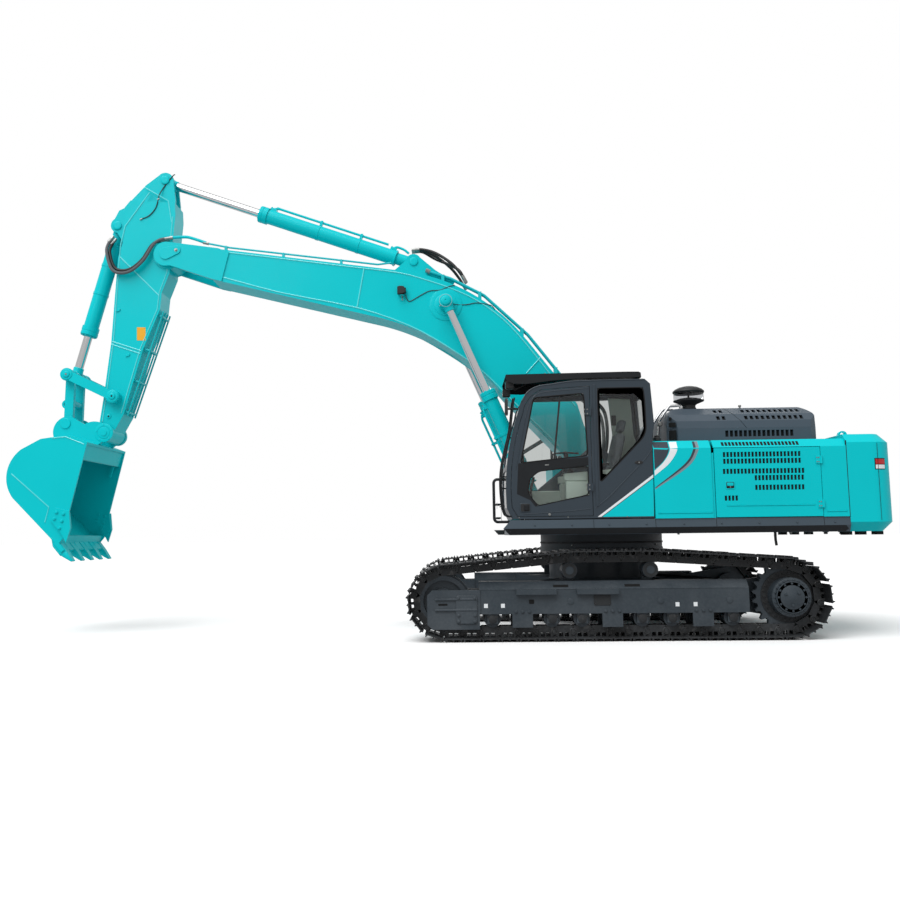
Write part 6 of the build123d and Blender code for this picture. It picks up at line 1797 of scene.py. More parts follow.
    def build_deck(self) -> None:
        """Treads, hoses, valve block, bolts and foot pin caps on the open deck below the boom."""
        piece = Piece("deck_fittings", self.palette.guard)
        top = self.deck + 0.062
        piece.box((-1.25, -0.50, top), (-1.02, 0.60, top + 0.005), 0.002)
        for i in range(3):
            for j in range(17):
                piece.lathe((-1.21 + i * 0.07, -0.46 + j * 0.064, top + 0.005), UP, self.stud, 8)
        piece.use(self.palette.cast)
        piece.box((0.10, -0.22, top), (0.62, 0.24, top + 0.34), 0.01)
        piece.rod((-0.35, 0, top), (-0.35, 0, top + 0.2), 0.15, 28, 0.01)
        piece.bolt_ring((-0.35, 0, top + 0.2), UP, 0.12, 8, 0.011)
        for k in range(4):
            piece.rod((0.16 + k * 0.12, -0.12, top + 0.34), (0.16 + k * 0.12, -0.12, top + 0.40),
                      0.03, 12)
        piece.use(self.palette.rubber)
        for k in range(5):
            y = -0.16 + 0.08 * k
            piece.tube(smooth_run([(0.10, y, top + 0.24), (-0.02, y * 1.1, top + 0.30),
                                   (-0.14, y * 1.2, top + 0.22), (-0.24, y * 0.9, top + 0.14)]),
                       0.018, 8)
        for side in (LEFT, RIGHT):
            for k in range(2):
                y = side * (0.36 + 0.05 * k)
                piece.tube(smooth_run([(0.3, side * 0.2, top + 0.1), (0.0, y, top + 0.06),
                                       (-0.5, y, top + 0.035), (-0.78, y, top + 0.10),
                                       (-0.86, side * (0.40 + 0.03 * k), top + 0.22)]), 0.017, 8)
        piece.make("house", slot="frame_paint")

        pins = Piece("foot_pin_caps", self.palette.zinc)
        x, z = self.layout.pivot("boom_lift")
        for side in (LEFT, RIGHT):
            pins.use(self.palette.teal)
            pins.lathe((x, side * 0.318, z), (0, side, 0),
                       [(0.115, 0.0), (0.115, 0.006), (0.075, 0.008)], 28)
            pins.use(self.palette.zinc)
            pins.bolt_ring((x, side * 0.33, z), (0, side, 0), 0.03, 3, 0.01)
        pins.make("house", slot="skirt_paint")

    def build_engine_bay(self) -> None:
        """Valve cover, fan shroud and belts' guard that show through an open hood or door."""
        piece = Piece("engine_fittings", self.palette.cast)
        piece.box((1.58, -0.30, 2.30), (2.18, 0.26, 2.37), 0.015)
        for k in range(6):
            piece.bolt((1.62 + k * 0.105, -0.28, 2.355), UP, 0.009)
        piece.use(self.palette.plastic)
        piece.lathe((1.88, -0.561, 1.85), (0, -1, 0),
                    [(0.33, 0.0), (0.33, 0.10), (0.31, 0.11), (0.31, 0.02)], 32)
        piece.use(self.palette.zinc)
        for k in range(7):
            angle = 2 * math.pi * k / 7
            c, s = math.cos(angle), math.sin(angle)
            piece.add([(1.88 + 0.05 * c, -0.60, 1.85 + 0.05 * s),
                       (1.88 + 0.29 * c - 0.05 * s, -0.59, 1.85 + 0.29 * s + 0.05 * c),
                       (1.88 + 0.29 * c + 0.05 * s, -0.64, 1.85 + 0.29 * s - 0.05 * c)],
                      [(0, 1, 2)])
        piece.use(self.palette.rubber)
        piece.tube(smooth_run([(1.6, -0.2, 2.37), (1.45, -0.4, 2.42), (1.2, -0.6, 2.45),
                               (1.06, -0.74, 2.55)]), 0.06, 14)
        piece.make("house", slot="cast_iron")


# ------------------------------------------------------------------------------------------
# Cab
# ------------------------------------------------------------------------------------------


@dataclass
class Cab:
    """Seals, door fittings, lamps, rails, mirrors, stripe and the driver's place."""

    palette: Palette
    left: float = -1.470
    right: float = -0.545
    middle: float = -1.0075
    floor: float = 1.462

    def build(self) -> None:
        """Builds it all."""
        self.build_door()
        self.build_shell()
        self.build_visor()
        self.build_rails_and_mirrors()
        self.build_driver_place()

    def frit(self, piece: Piece, outer: Sequence[Point2], inner: Sequence[Point2],
             y: float) -> None:
        """A flat black band between two outlines with as many points.

        Args:
            piece: the piece that takes it.
            outer: outer outline from the swing axis.
            inner: inner outline.
            y: its plane.
        """
        piece.add([(px, y, pz) for px, pz in (*outer, *inner)], band(len(outer)))

    def seal(self, piece: Piece, outline: Sequence[Point2], y: float, radius: float) -> None:
        """A rubber seal round an outline."""
        ring = rounded(outline, 0.05, 5)
        line = [Vector((px, y, pz)) for px, pz in ring]
        rings = []
        count = len(line)
        for i, here in enumerate(line):
            run = (line[(i + 1) % count] - line[i - 1]).normalized()
            side = run.cross(Vector((0, 1, 0))).normalized()
            rings.append([here + radius * (math.cos(2 * math.pi * k / 8) * side
                                           + math.sin(2 * math.pi * k / 8) * Vector((0, 1, 0)))
                          for k in range(8)])
        piece.loops(rings, closed=True)

    def build_door(self) -> None:
        """Window seals, black bands, handle, lock, hinges and pressed lines of the door."""
        piece = Piece("cab_door_fittings", self.palette.mat)
        upper = ((-0.372, 2.925), (-0.975, 2.88), (-1.04, 2.58), (-1.15, 2.09), (-0.342, 2.17))
        lower = ((-0.344, 2.05), (-0.935, 1.99), (-1.045, 1.90), (-1.07, 1.73), (-0.956, 1.575),
                 (-0.346, 1.70))
        face = self.left - 0.0015
        self.seal(piece, upper, self.left + 0.004, 0.009)
        self.seal(piece, lower, self.left + 0.004, 0.007)
        piece.use(self.palette.guard)
        outer = [(-0.340, 2.150), (-0.98, 2.105), (-1.178, 2.085), (-1.200, 1.72), (-1.045, 1.645),
                 (-0.985, 1.568), (-0.338, 1.692)]
        self.frit(piece, outer, [(-0.344, 2.05), (-0.935, 1.99), (-1.045, 1.90), (-1.07, 1.73),
                                 (-1.013, 1.652), (-0.956, 1.575), (-0.346, 1.70)], face)
        x0, x1, z0, z1 = -1.172, -1.040, 1.500, 1.612
        piece.use(self.palette.cab)
        piece.plate(rounded(rect(x0, z0, x1, z1), 0.022), (self.left - 0.006, self.left + 0.001),
                    0.003)
        piece.use(self.palette.plastic)
        inner = rounded(rect(x0 + 0.012, z0 + 0.01, x1 - 0.012, z1 - 0.01), 0.015)
        piece.plate(inner, (self.left - 0.0075, self.left - 0.002), 0.002)
        piece.use(self.palette.guard)
        piece.plate(rounded(rect(x0 + 0.05, z0 + 0.018, x1 - 0.022, z1 - 0.02), 0.01),
                    (self.left - 0.017, self.left - 0.006), 0.005)
        piece.use(self.palette.zinc)
        piece.lathe((-0.817, self.left, 1.472), (0, -1, 0),
                    [(0.016, 0.0), (0.016, 0.006), (0.013, 0.009), (0.005, 0.009), (0.004, 0.005)],
                    24)
        for z in (1.79, 2.70):
            for dx in (-0.335, -0.37):
                for dz in (-0.026, 0.026):
                    piece.bolt((dx, self.left - 0.013, z + dz), (0, -1, 0), 0.006)
        piece.use(self.palette.cab)
        ridge = smooth_run([(px, self.left, pz) for px,
                            pz in ((-1.12, 1.478), (-0.80, 1.496), (-0.55, 1.512), (-0.33, 1.535))],
                           5)
        piece.tube(ridge, 0.005, 8)
        rim = smooth_run([(px, self.left, pz) for px,
                          pz in ((-0.315, 2.985), (-0.62, 2.968), (-0.86, 2.944), (-0.985, 2.875),
                                 (-1.06, 2.70), (-1.135, 2.36), (-1.205, 2.02))], 5)
        piece.tube(rim, 0.0045, 8)
        piece.use(self.palette.plastic)
        piece.plate(bar((-0.655, 2.90), (-0.743, 2.135), 0.022),
                    (self.left + 0.006, self.left + 0.03), 0.003)
        piece.use(self.palette.zinc)
        piece.plate(rounded([(-0.86, 2.055), (-0.81, 2.058), (-0.81, 2.072), (-0.86, 2.069)],
                            0.006), (self.left - 0.006, self.left - 0.001), 0.001)
        piece.use(self.palette.plastic)
        piece.rod((-0.75, self.left + 0.052, 2.13), (-0.40, self.left + 0.052, 2.155), 0.012, 12)
        piece.make("cab_door", slot="cab_paint")

    def build_shell(self) -> None:
        """Seals, black bands, stripe, vent, gutters and bolts of the cab's walls."""
        piece = Piece("cab_shell_trim", self.palette.guard)
        face = self.left - 0.0015
        outer = [(-0.221, 3.011), (0.351, 3.001), (0.368, 2.805), (0.372, 2.482), (0.345, 2.40),
                 (-0.168, 1.832), (-0.208, 1.84)]
        inner = [(-0.182, 2.916), (0.238, 2.909), (0.319, 2.822), (0.331, 2.482), (0.27, 2.355),
                 (-0.123, 1.941), (-0.170, 1.95)]
        self.frit(piece, outer, inner, face + 0.0095)
        hole = [(-0.205, 2.985), (0.345, 2.985), (0.358, 2.80), (0.362, 2.47), (0.322, 2.375),
                (-0.185, 1.862), (-0.205, 1.87)]
        piece.use(self.palette.mat)
        self.seal(piece, hole, self.left + 0.003, 0.007)
        door = [(-0.300, 1.449), (-1.198, 1.449), (-1.262, 1.56), (-1.272, 1.80), (-1.240, 2.10),
                (-1.185, 2.42), (-1.11, 2.70), (-1.04, 2.86), (-0.96, 2.95), (-0.86, 2.985),
                (-0.300, 3.013)]
        self.frit(piece, door, inset_outline(door, 0.004), self.left + 0.006)
        piece.use(self.palette.teal)
        corner = [(-0.195, 1.4365), (0.4150, 1.4365), (0.4235, 1.885)]
        piece.add([(px, face, pz) for px, pz in corner], [(0, 1, 2)])
        piece.use(self.palette.white)
        stripe = [(-0.250, 1.4365), (-0.207, 1.4365), (0.4240, 1.896), (0.4245, 1.932)]
        piece.add([(px, face - 0.0003, pz) for px, pz in stripe], [(0, 1, 2, 3)])
        piece.use(self.palette.plastic)
        steps = 28
        vent = [(0.260 + 0.05 * math.cos(2 * math.pi * k / steps),
                 2.078 + 0.022 * math.sin(2 * math.pi * k / steps)) for k in range(steps)]
        piece.plate(vent, (self.left - 0.006, self.left + 0.001), 0.003)
        piece.use(self.palette.zinc)
        piece.lathe((0.262, self.left - 0.006, 2.078), (0, -1, 0), [(0.009, 0.0), (0.009, 0.004)],
                    12)
        piece.use(self.palette.cab)
        swage = smooth_run([(px, self.left, pz) for px,
                            pz in ((-0.27, 1.545), (-0.10, 1.68), (0.12, 1.90), (0.32, 2.10),
                                   (0.425, 2.235))], 6)
        piece.tube(swage, 0.0055, 8)
        edge = smooth_run([(px, self.left + 0.002, pz) for px,
                           pz in ((-1.115, 2.84), (-1.04, 2.955), (-0.92, 3.018), (-0.75, 3.043),
                                  (-0.482, 3.074), (0.0, 3.081), (0.36, 3.081))], 6)
        piece.tube(edge, 0.009, 8)
        piece.use(self.palette.guard)
        for y in (self.left + 0.04, self.right - 0.04):
            piece.box((-0.25, y - 0.01, 1.43), (-0.23, y + 0.01, 1.445))
        piece.use(self.palette.cab)
        piece.box((-0.262, self.left - 0.009, 1.56), (-0.232, self.left + 0.001, 3.03), 0.004)
        piece.use(self.palette.mat)
        piece.box((-1.29, self.left + 0.08, 2.042), (-1.22, self.right - 0.08, 2.062))
        piece.use(self.palette.zinc)
        for px, pz in ((-1.18, 1.437), (-0.6, 1.437), (0.1, 1.4365)):
            piece.lathe((px, self.left, pz), (0, -1, 0), [(0.008, 0.0), (0.006, 0.003)], 12)
        piece.use(self.palette.plastic)
        piece.tube([(-1.195, -0.75, 2.10), (-1.14, -0.80, 2.35), (-1.07, -0.95, 2.70)], 0.008, 8)
        piece.box((-1.235, -0.80, 2.03), (-1.185, -0.70, 2.11), 0.01)
        piece.use(self.palette.mat)
        piece.box((0.4205, self.left + 0.03, 1.45), (0.4275, self.left + 0.06, 2.30))
        piece.make("house", slot="cab_paint")

    def build_visor(self) -> None:
        """The guard over the roof with its lamps, wiring and struts."""
        piece = Piece("roof_visor", self.palette.guard)
        y0, y1 = self.left + 0.012, self.right - 0.012
        top = [(-1.302, 3.172), (-0.62, 3.177), (0.15, 3.183), (0.300, 3.181), (0.326, 3.168),
               (0.330, 3.116)]
        low = [(0.30, 3.112), (-0.20, 3.1115), (-0.45, 3.106), (-0.72, 3.09), (-0.93, 3.066),
               (-1.06, 3.052), (-1.20, 3.058), (-1.288, 3.085)]
        profile = [*top, *low]
        for y_span in ((y0, y0 + 0.006), (y1 - 0.006, y1)):
            piece.plate(profile, y_span, 0.002)
        piece.loops([[(px, y0, pz), (px, y1, pz), (px, y1, pz - 0.005), (px, y0, pz - 0.005)]
                     for px, pz in top])
        for k in range(5):
            y = y0 + 0.14 + k * 0.155
            piece.box((-1.18, y, 3.174), (0.20, y + 0.03, 3.187), 0.004)
        piece.use(self.palette.plastic)
        for y in (self.left + 0.080, self.right - 0.160):
            piece.box((-1.304, y - 0.003, 3.008), (-1.205, y + 0.093, 3.108), 0.012)
            piece.box((-1.25, y + 0.035, 3.10), (-1.23, y + 0.055, 3.165))
        piece.use(self.palette.lens)
        for y in (self.left + 0.080, self.right - 0.160):
            piece.box((-1.306, y + 0.008, 3.020), (-1.302, y + 0.082, 3.096), 0.001)
        piece.use(self.palette.rubber)
        for k, y in enumerate((self.left + 0.125, self.left + 0.14)):
            wire = [(-1.22, y, 3.07), (-1.19, y, 3.02 - 0.02 * k), (-1.13, y, 3.03),
                    (-1.05, y, 3.06)]
            piece.tube(smooth_run(wire, 5), 0.006, 8)
        piece.use(self.palette.zinc)
        for px in (-0.82, 0.18):
            for y in (self.left + 0.11, self.right - 0.11):
                piece.bolt((px, y, 3.184), UP, 0.01)
        piece.use(self.palette.cab)
        piece.lathe((0.35, self.left + 0.09, 3.0905), UP,
                    [(0.03, 0.0), (0.026, 0.012), (0.01, 0.016)], 20)
        piece.box((-0.79, self.left + 0.13, 3.0895), (-0.03, self.right - 0.13, 3.1), 0.006)
        piece.make("house", slot="cab_paint", replaces=["roof_guard"])

    def build_rails_and_mirrors(self) -> None:
        """The curved rail at the front pillar, the mirrors and their arms."""
        piece = Piece("pillar_rail", self.palette.guard)
        y = self.left - 0.004
        for dx, yy in ((0.0, y), (-0.035, y + 0.07)):
            line = [(-1.205, 2.885), (-1.225, 2.78), (-1.262, 2.50), (-1.318, 2.27), (-1.366, 2.06),
                    (-1.385, 1.86), (-1.376, 1.64), (-1.350, 1.50), (-1.318, 1.462), (-1.27, 1.452)]
            piece.tube(smooth_run([(px + dx * 0.4, yy, pz) for px, pz in line], 5), 0.0105, 10)
        for px, pz in ((-1.250, 2.56), (-1.335, 2.19), (-1.380, 1.92), (-1.376, 1.70)):
            piece.rod((px, y - 0.002, pz), (px - 0.014, y + 0.074, pz), 0.009, 10)
        for px, pz, reach in ((-1.28, 2.40, 0.06), (-1.375, 1.93, 0.055), (-1.378, 1.79, 0.055)):
            piece.rod((px, y + 0.03, pz), (px + reach, y + 0.05, pz), 0.009, 10)
        piece.make("house", slot="cab_paint")

        mirror = Piece("mirror_housings", self.palette.plastic)
        a, b = self.left - 0.031, self.left + 0.131
        outline = rounded(rect(a, 2.679, b, 2.881), 0.03)
        self.mirror_head(mirror, outline, -1.319, -1.287)
        outline = rounded(rect(1.4165, 1.989, 1.4855, 2.251), 0.025)
        self.mirror_head(mirror, outline, -1.241, -1.199)
        mirror.use(self.palette.guard)
        mirror.tube(smooth_run([(-1.29, self.left + 0.038, 2.752),
                                (-1.24, self.left + 0.038, 2.753),
                                (-1.165, self.left + 0.038, 2.752)], 4), 0.0125, 10)
        mirror.rod((-1.222, 1.40, 2.12), (-1.222, 1.425, 2.12), 0.02, 14)
        mirror.make("house", slot="dark_plastic", replaces=["mirrors"])

    def mirror_head(self, piece: Piece, outline: Sequence[Point2], front: float,
                    rear: float) -> None:
        """A mirror's shell with its glass at the back.

        Args:
            piece: the piece that takes it.
            outline: its rounded outline of y and z.
            front: x of its front.
            rear: x of its glass.
        """
        corners = counterclockwise(outline)
        piece.use(self.palette.plastic)
        depth = rear - front
        rings = []
        for share, inset in ((0.0, 0.012), (0.25, 0.003), (0.6, 0.0), (1.0, 0.0)):
            rings.append([(front + depth * share, py, pz) for py,
                          pz in inset_outline(corners, inset)])
        piece.loops(rings)
        piece.use(self.palette.chrome)
        glass = inset_outline(corners, 0.008)
        piece.loops([[(rear - 0.001, py, pz) for py, pz in glass],
                     [(rear + 0.001, py, pz) for py, pz in glass]])

    def build_driver_place(self) -> None:
        """Seat, consoles, levers, pedals, screen, trim and belt."""
        trim = Piece("cab_lining", self.palette.trim)
        floor = self.floor
        trim.use(self.palette.plastic)
        trim.box((-1.15, self.left + 0.09, floor + 0.0005),
                 (0.36, self.right - 0.06, floor + 0.012), 0.003)
        for k in range(9):
            y = self.middle - 0.32 + 0.08 * k
            trim.box((-1.08, y, floor + 0.012), (-0.55, y + 0.02, floor + 0.017))
        trim.use(self.palette.trim)
        for side in (-1, 1):
            y0, y1 = sorted((self.middle + side * 0.255, self.middle + side * 0.370))
            trim.box((-0.60, y0, floor), (0.12, y1, floor + 0.42), 0.02)
            trim.loops([
                [(-0.62, y0, floor + 0.42), (0.10, y0, floor + 0.42), (0.10, y1, floor + 0.42),
                 (-0.62, y1, floor + 0.42)],
                [(-0.62, y0, floor + 0.50), (0.10, y0, floor + 0.56), (0.10, y1, floor + 0.56),
                 (-0.62, y1, floor + 0.50)]])
            trim.use(self.palette.plastic)
            trim.lathe((-0.54, (y0 + y1) / 2, floor + 0.50), UP,
                       [(0.05, 0.0), (0.045, 0.02), (0.03, 0.035), (0.03, 0.05), (0.018, 0.06)], 24)
            trim.tube(smooth_run([(-0.54, (y0 + y1) / 2, floor + 0.55),
                                  (-0.55, (y0 + y1) / 2, floor + 0.60),
                                  (-0.57, (y0 + y1) / 2, floor + 0.65)], 4), 0.013, 12)
            trim.lathe((-0.57, (y0 + y1) / 2, floor + 0.64), (-0.2, 0, 1),
                       [(0.018, 0.0), (0.026, 0.03), (0.028, 0.09), (0.024, 0.12), (0.012, 0.135)],
                       20)
            for k in range(3):
                trim.box((-0.42 + 0.05 * k, (y0 + y1) / 2 - 0.02, floor + 0.51),
                         (-0.395 + 0.05 * k, (y0 + y1) / 2 + 0.02, floor + 0.53))
            trim.use(self.palette.trim)
        wall = self.right - 0.044
        trim.plate([(0.14, 1.50), (0.37, 1.50), (0.40, 2.40), (0.37, 2.50), (0.34, 2.96),
                    (0.06, 2.98), (0.10, 2.50), (0.05, 2.20)], (wall - 0.05, wall - 0.001), 0.012)
        trim.plate(rect(-1.18, 1.48, 0.38, 1.79), (wall - 0.045, wall), 0.01)
        trim.use(self.palette.plastic)
        for z in (2.35, 2.62):
            trim.box((0.09, wall - 0.056, z), (0.15, wall - 0.049, z + 0.13), 0.004)
        trim.use(self.palette.trim)
        trim.box((0.295, self.left + 0.06, 1.47), (0.372, self.right - 0.06, 2.04), 0.02)
        trim.box((-0.9, self.left + 0.05, 3.030), (0.34, self.left + 0.155, 3.046), 0.004)
        trim.box((-0.9, self.right - 0.155, 3.030), (0.34, self.right - 0.05, 3.046), 0.004)
        trim.box((0.01, self.left + 0.05, 3.030), (0.34, self.right - 0.05, 3.046), 0.004)
        trim.use(self.palette.plastic)
        for side in (-1, 1):
            y = self.middle + side * 0.07
            trim.plate([(-1.02, floor + 0.02), (-0.88, floor + 0.02), (-0.93, floor + 0.12),
                        (-1.03, floor + 0.18), (-1.045, floor + 0.17), (-0.95, floor + 0.10)],
                       (y - 0.045, y + 0.045), 0.004)
            trim.tube(smooth_run([(-0.97, y, floor + 0.10), (-1.00, y, floor + 0.30),
                                  (-0.96, y, floor + 0.48)], 4), 0.011, 10)
        trim.rod((-1.08, self.right - 0.16, 1.50), (-1.08, self.right - 0.16, 2.15), 0.018, 12)
        trim.box((-1.125, self.right - 0.29, 2.08), (-1.06, self.right - 0.07, 2.26), 0.012)
        trim.use(self.palette.lens)
        trim.box((-1.061, self.right - 0.275, 2.10), (-1.057, self.right - 0.085, 2.245))
        trim.use(self.palette.plastic)
        trim.tube(smooth_run([(-0.76, self.left + 0.10, 2.145), (-0.74, self.left + 0.10, 2.20),
                              (-0.60, self.left + 0.10, 2.215), (-0.44, self.left + 0.10, 2.205)],
                             5), 0.011, 10)
        trim.make("house", slot="trim_plastic")

        frame = Piece("seat_frame", self.palette.plastic)
        y = self.middle
        frame.box((-0.44, y - 0.19, floor + 0.0125), (0.02, y + 0.19, floor + 0.07), 0.01)
        for k in range(6):
            frame.box((-0.41, y - 0.17 + 0.004 * k, floor + 0.07 + 0.035 * k),
                      (-0.01, y + 0.17 - 0.004 * k, floor + 0.095 + 0.035 * k), 0.01)
        frame.box((-0.47, y - 0.20, floor + 0.28), (0.03, y + 0.20, floor + 0.33), 0.012)
        for side in (-1, 1):
            frame.rod((0.0, y + side * 0.215, floor + 0.34), (0.0, y + side * 0.245, floor + 0.34),
                      0.05, 20)
            frame.box((-0.40, y + side * 0.2475 - 0.004, floor + 0.60),
                      (-0.06, y + side * 0.2475 + 0.004, floor + 0.63), 0.002)
        frame.make("house", slot="trim_plastic")

        cushion = Piece("seat_cushion", self.palette.cushion)
        cushion.sewn((-0.56, y - 0.235, floor + 0.335), (-0.03, y + 0.235, floor + 0.455), 0.22, 14)
        seat = cushion.make("house", slot="trim_plastic")

        back = Piece("seat_back", self.palette.cushion)
        lean = Matrix.Translation(Vector((-0.015, y,
                                          floor
                                          + 0.43))) @ Matrix.Rotation(math.radians(13), 4, "Y")
        back.at(lean)
        back.sewn((-0.065, -0.225, 0.0), (0.065, 0.225, 0.60), 0.2, 14)
        rest = back.make("house", slot="trim_plastic")

        head = Piece("head_rest", self.palette.cushion)
        head.at(lean)
        head.sewn((-0.045, -0.13, 0.615), (0.045, 0.13, 0.765), 0.2, 10)
        pad = head.make("house", slot="trim_plastic", replaces=["cab_interior"])


# ------------------------------------------------------------------------------------------
# Boom, arm, cylinders and bucket
# ------------------------------------------------------------------------------------------


@dataclass(frozen=True)
class CylinderSpec:
    """One cylinder: its bodies, pins and sizes."""

    name: str
    barrel: str
    rod: str
    base: Point2
    eye: Point2
    length: float
    radius: float
    rod_radius: float
    eye_width: float
    middle: float = 0.0
    pipe_side: int = 1
    nose: float = 0.003
    pipe_turn: float = 0.0


@dataclass
class WorkingArm:
    """Welds, pin caps, glands, pipes, hoses, lamp and bucket fittings."""

    palette: Palette
    layout: Layout
    boom_half: float = 0.262
    arm_half: float = 0.200
    bucket_half: float = 0.725
    gland_extra: float = 0.014
    hose_radius: float = 0.021
    weld: float = 0.0095
    boom_eye: Point2 = (-2.025, 4.351)
    arm_base: Point2 = (-2.46, 5.0)
    arm_eye: Point2 = (-5.954, 6.256)
    bucket_base: Point2 = (-6.619, 5.611)
    link_eye: Point2 = (-7.211, 2.805)

    def side_point(self, place: Point2, y: float) -> Point3:
        """A side-view point at some y."""
        return place[0], y, place[1]

    def build(self) -> None:
        """Builds it all."""
        for spec in self.cylinders():
            self.build_cylinder(spec)
        self.build_boom_dress()
        self.build_boom_lamp()
        self.build_arm_dress()
        self.build_linkage_dress()
        self.build_bucket_dress()
        self.build_hoses()

    def cylinders(self) -> list[CylinderSpec]:
        """The four cylinders."""
        base = (-0.863, 1.65)
        result = [CylinderSpec(f"boom_cylinder_{name}", "boom_cylinder_barrels",
                               "boom_cylinder_rods", base, self.boom_eye, 1.6, 0.094, 0.052, 0.072,
                               side * 0.428, -1) for name, side in SIDES]
        result.append(CylinderSpec("arm_cylinder", "arm_cylinder_barrel", "arm_cylinder_rod",
                                   self.arm_base, self.arm_eye, 2.3, 0.102, 0.058, 0.088, 0.0, 1))
        result.append(CylinderSpec("bucket_cylinder", "bucket_cylinder_barrel",
                                   "bucket_cylinder_rod", self.bucket_base, (-7.199, 3.475), 1.59,
                                   0.102, 0.058, 0.088, 0.0, 0, 0.024, 1.0))
        return result

    def build_cylinder(self, spec: CylinderSpec) -> None:
        """Gland, ports, pipe and eyes of one cylinder.

        Args:
            spec: the cylinder.
        """
        base = Vector((spec.base[0], spec.middle, spec.base[1]))
        eye = Vector((spec.eye[0], spec.middle, spec.eye[1]))
        run = (eye - base).normalized()
        out = (Vector((0, 1, 0)).cross(run) * spec.pipe_side + Vector((0, 1, 0))
               * spec.pipe_turn).normalized()
        across = run.cross(out)
        gland = spec.radius + self.gland_extra
        piece = Piece(f"{spec.name}_gland", self.palette.teal)
        end = base + run * spec.length
        piece.lathe(end, run, [(gland + 0.0015, -0.121), (gland + 0.0015, -0.062),
                               (gland - 0.004, -0.058), (gland - 0.004, -0.050),
                               (gland + 0.0015, -0.046), (gland + 0.0015, -0.004),
                               (gland - 0.004, 0.001), (spec.rod_radius + 0.022, 0.0015),
                               (spec.rod_radius + 0.018, spec.nose * 0.9),
                               (spec.rod_radius + 0.002, spec.nose),
                               (spec.rod_radius + 0.002, -0.06)], 40, True)
        for k in range(10):
            angle = 2 * math.pi * k / 10
            radial = out * math.cos(angle) + across * math.sin(angle)
            piece.bolt(end + radial * (gland - 0.02) + run * (spec.nose / 3 - 0.007), run, 0.013)
        piece.lathe(base + run * 0.262, run,
                    [(spec.radius + 0.001, 0.0), (spec.radius + 0.012, 0.004),
                     (spec.radius + 0.012, 0.02), (spec.radius + 0.001, 0.028)], 40, True)
        for head in (base + run * 0.34, base + run * (spec.length - 0.165)):
            turn = Matrix.Translation(head) @ Matrix((across, run, out)).transposed().to_4x4()
            piece.at(turn)
            piece.box((-0.034, -0.045, spec.radius - 0.012), (0.034, 0.045, spec.radius + 0.034),
                      0.006)
            for dx in (-0.022, 0.022):
                for dy in (-0.032, 0.032):
                    piece.bolt((dx, dy, spec.radius + 0.034), UP, 0.007)
            piece.at()
        reach = spec.radius + 0.052
        start = base + run * 0.43
        stop = base + run * (spec.length - 0.165)
        line = [start + out * reach, base + run * (spec.length - 0.34) + out * reach,
                base + run * (spec.length - 0.24) + out * reach, stop + out * (spec.radius + 0.03)]
        piece.tube(smooth_run(line, 5), 0.017, 12)
        if spec.name != "bucket_cylinder":
            second = [base + run * 0.34 + out * (spec.radius + 0.03), base + run * 0.30 + out
                      * (spec.radius + 0.055), base + run * 0.20 + out * (spec.radius + 0.05),
                      base + run * 0.12 + out * (spec.radius + 0.02)]
            piece.tube(smooth_run(second, 5), 0.017, 12)
        for share in (0.36, 0.62):
            here = base + run * (spec.length * share)
            piece.lathe(here, run, [(spec.radius + 0.001, -0.02), (spec.radius + 0.005, -0.018),
                                    (spec.radius + 0.005, 0.018), (spec.radius + 0.001, 0.02)], 36,
                        True)
            turn = Matrix.Translation(here) @ Matrix((across, run, out)).transposed().to_4x4()
            piece.at(turn)
            piece.box((-0.03, -0.018, spec.radius), (0.03, 0.018, reach + 0.022), 0.004)
            piece.bolt((0.0, 0.0, reach + 0.022), UP, 0.008)
            piece.at()
        for side in (-1, 1):
            rim = spec.middle + side * spec.eye_width
            piece.lathe((spec.base[0], rim, spec.base[1]), (0, side, 0),
                        [(0.084, -0.004), (0.080, 0.0015), (0.058, 0.0015), (0.058, 0.0)], 36, True)
        piece.use(self.palette.zinc)
        piece.bolt(base + run * -0.086, -run, 0.007)
        piece.make(spec.barrel, slot="teal_paint")

        head = Piece(f"{spec.name}_rod_eye", self.palette.teal)
        low, high = spec.middle - spec.eye_width - 0.001, spec.middle + spec.eye_width + 0.001
        head.cross(spec.eye, 0.0875, (low, high), 44, 0.006)
        head.lathe(eye - run * 0.15, run, [(spec.rod_radius + 0.001, 0.0),
                                           (spec.rod_radius + 0.012, 0.006),
                                           (spec.rod_radius + 0.012, 0.05), (0.078, 0.085)], 36)
        head.use(self.palette.zinc)
        head.bolt(eye - run * 0.02 + out * 0.087, out, 0.008)
        if spec.name.startswith("boom"):
            side = 1 if spec.middle > 0 else -1
            outer = spec.middle + side * (spec.eye_width + 0.014)
            head.use(self.palette.teal)
            head.lathe((spec.eye[0], outer, spec.eye[1]), (0, side, 0),
                       [(0.062, -0.014), (0.062, 0.006), (0.056, 0.010), (0.012, 0.010),
                        (0.010, 0.004)], 36)
        head.make(spec.rod, slot="chrome")

    def weld_bead(self, piece: Piece, points: Sequence[Point2], y: float,
                  radius: float | None = None) -> None:
        """A raised weld line along a side face, in the lighter teal that is a painted highlight.
            points: side-view points from the swing axis.
            y: the face.
            radius: the bead's radius.
        """
        before = piece.finishes[piece.current]
        # The lighter teal is a painted highlight along the weld
        piece.use(self.palette.bead)
        piece.tube([self.side_point(point, y) for point in points], radius or self.weld, 8)
        piece.use(before)

    def edge_bead(self, piece: Piece, points: Sequence[Point2], half: float) -> None:
        """Beads on both sides."""
        for side in (LEFT, RIGHT):
            self.weld_bead(piece, points, side * half)

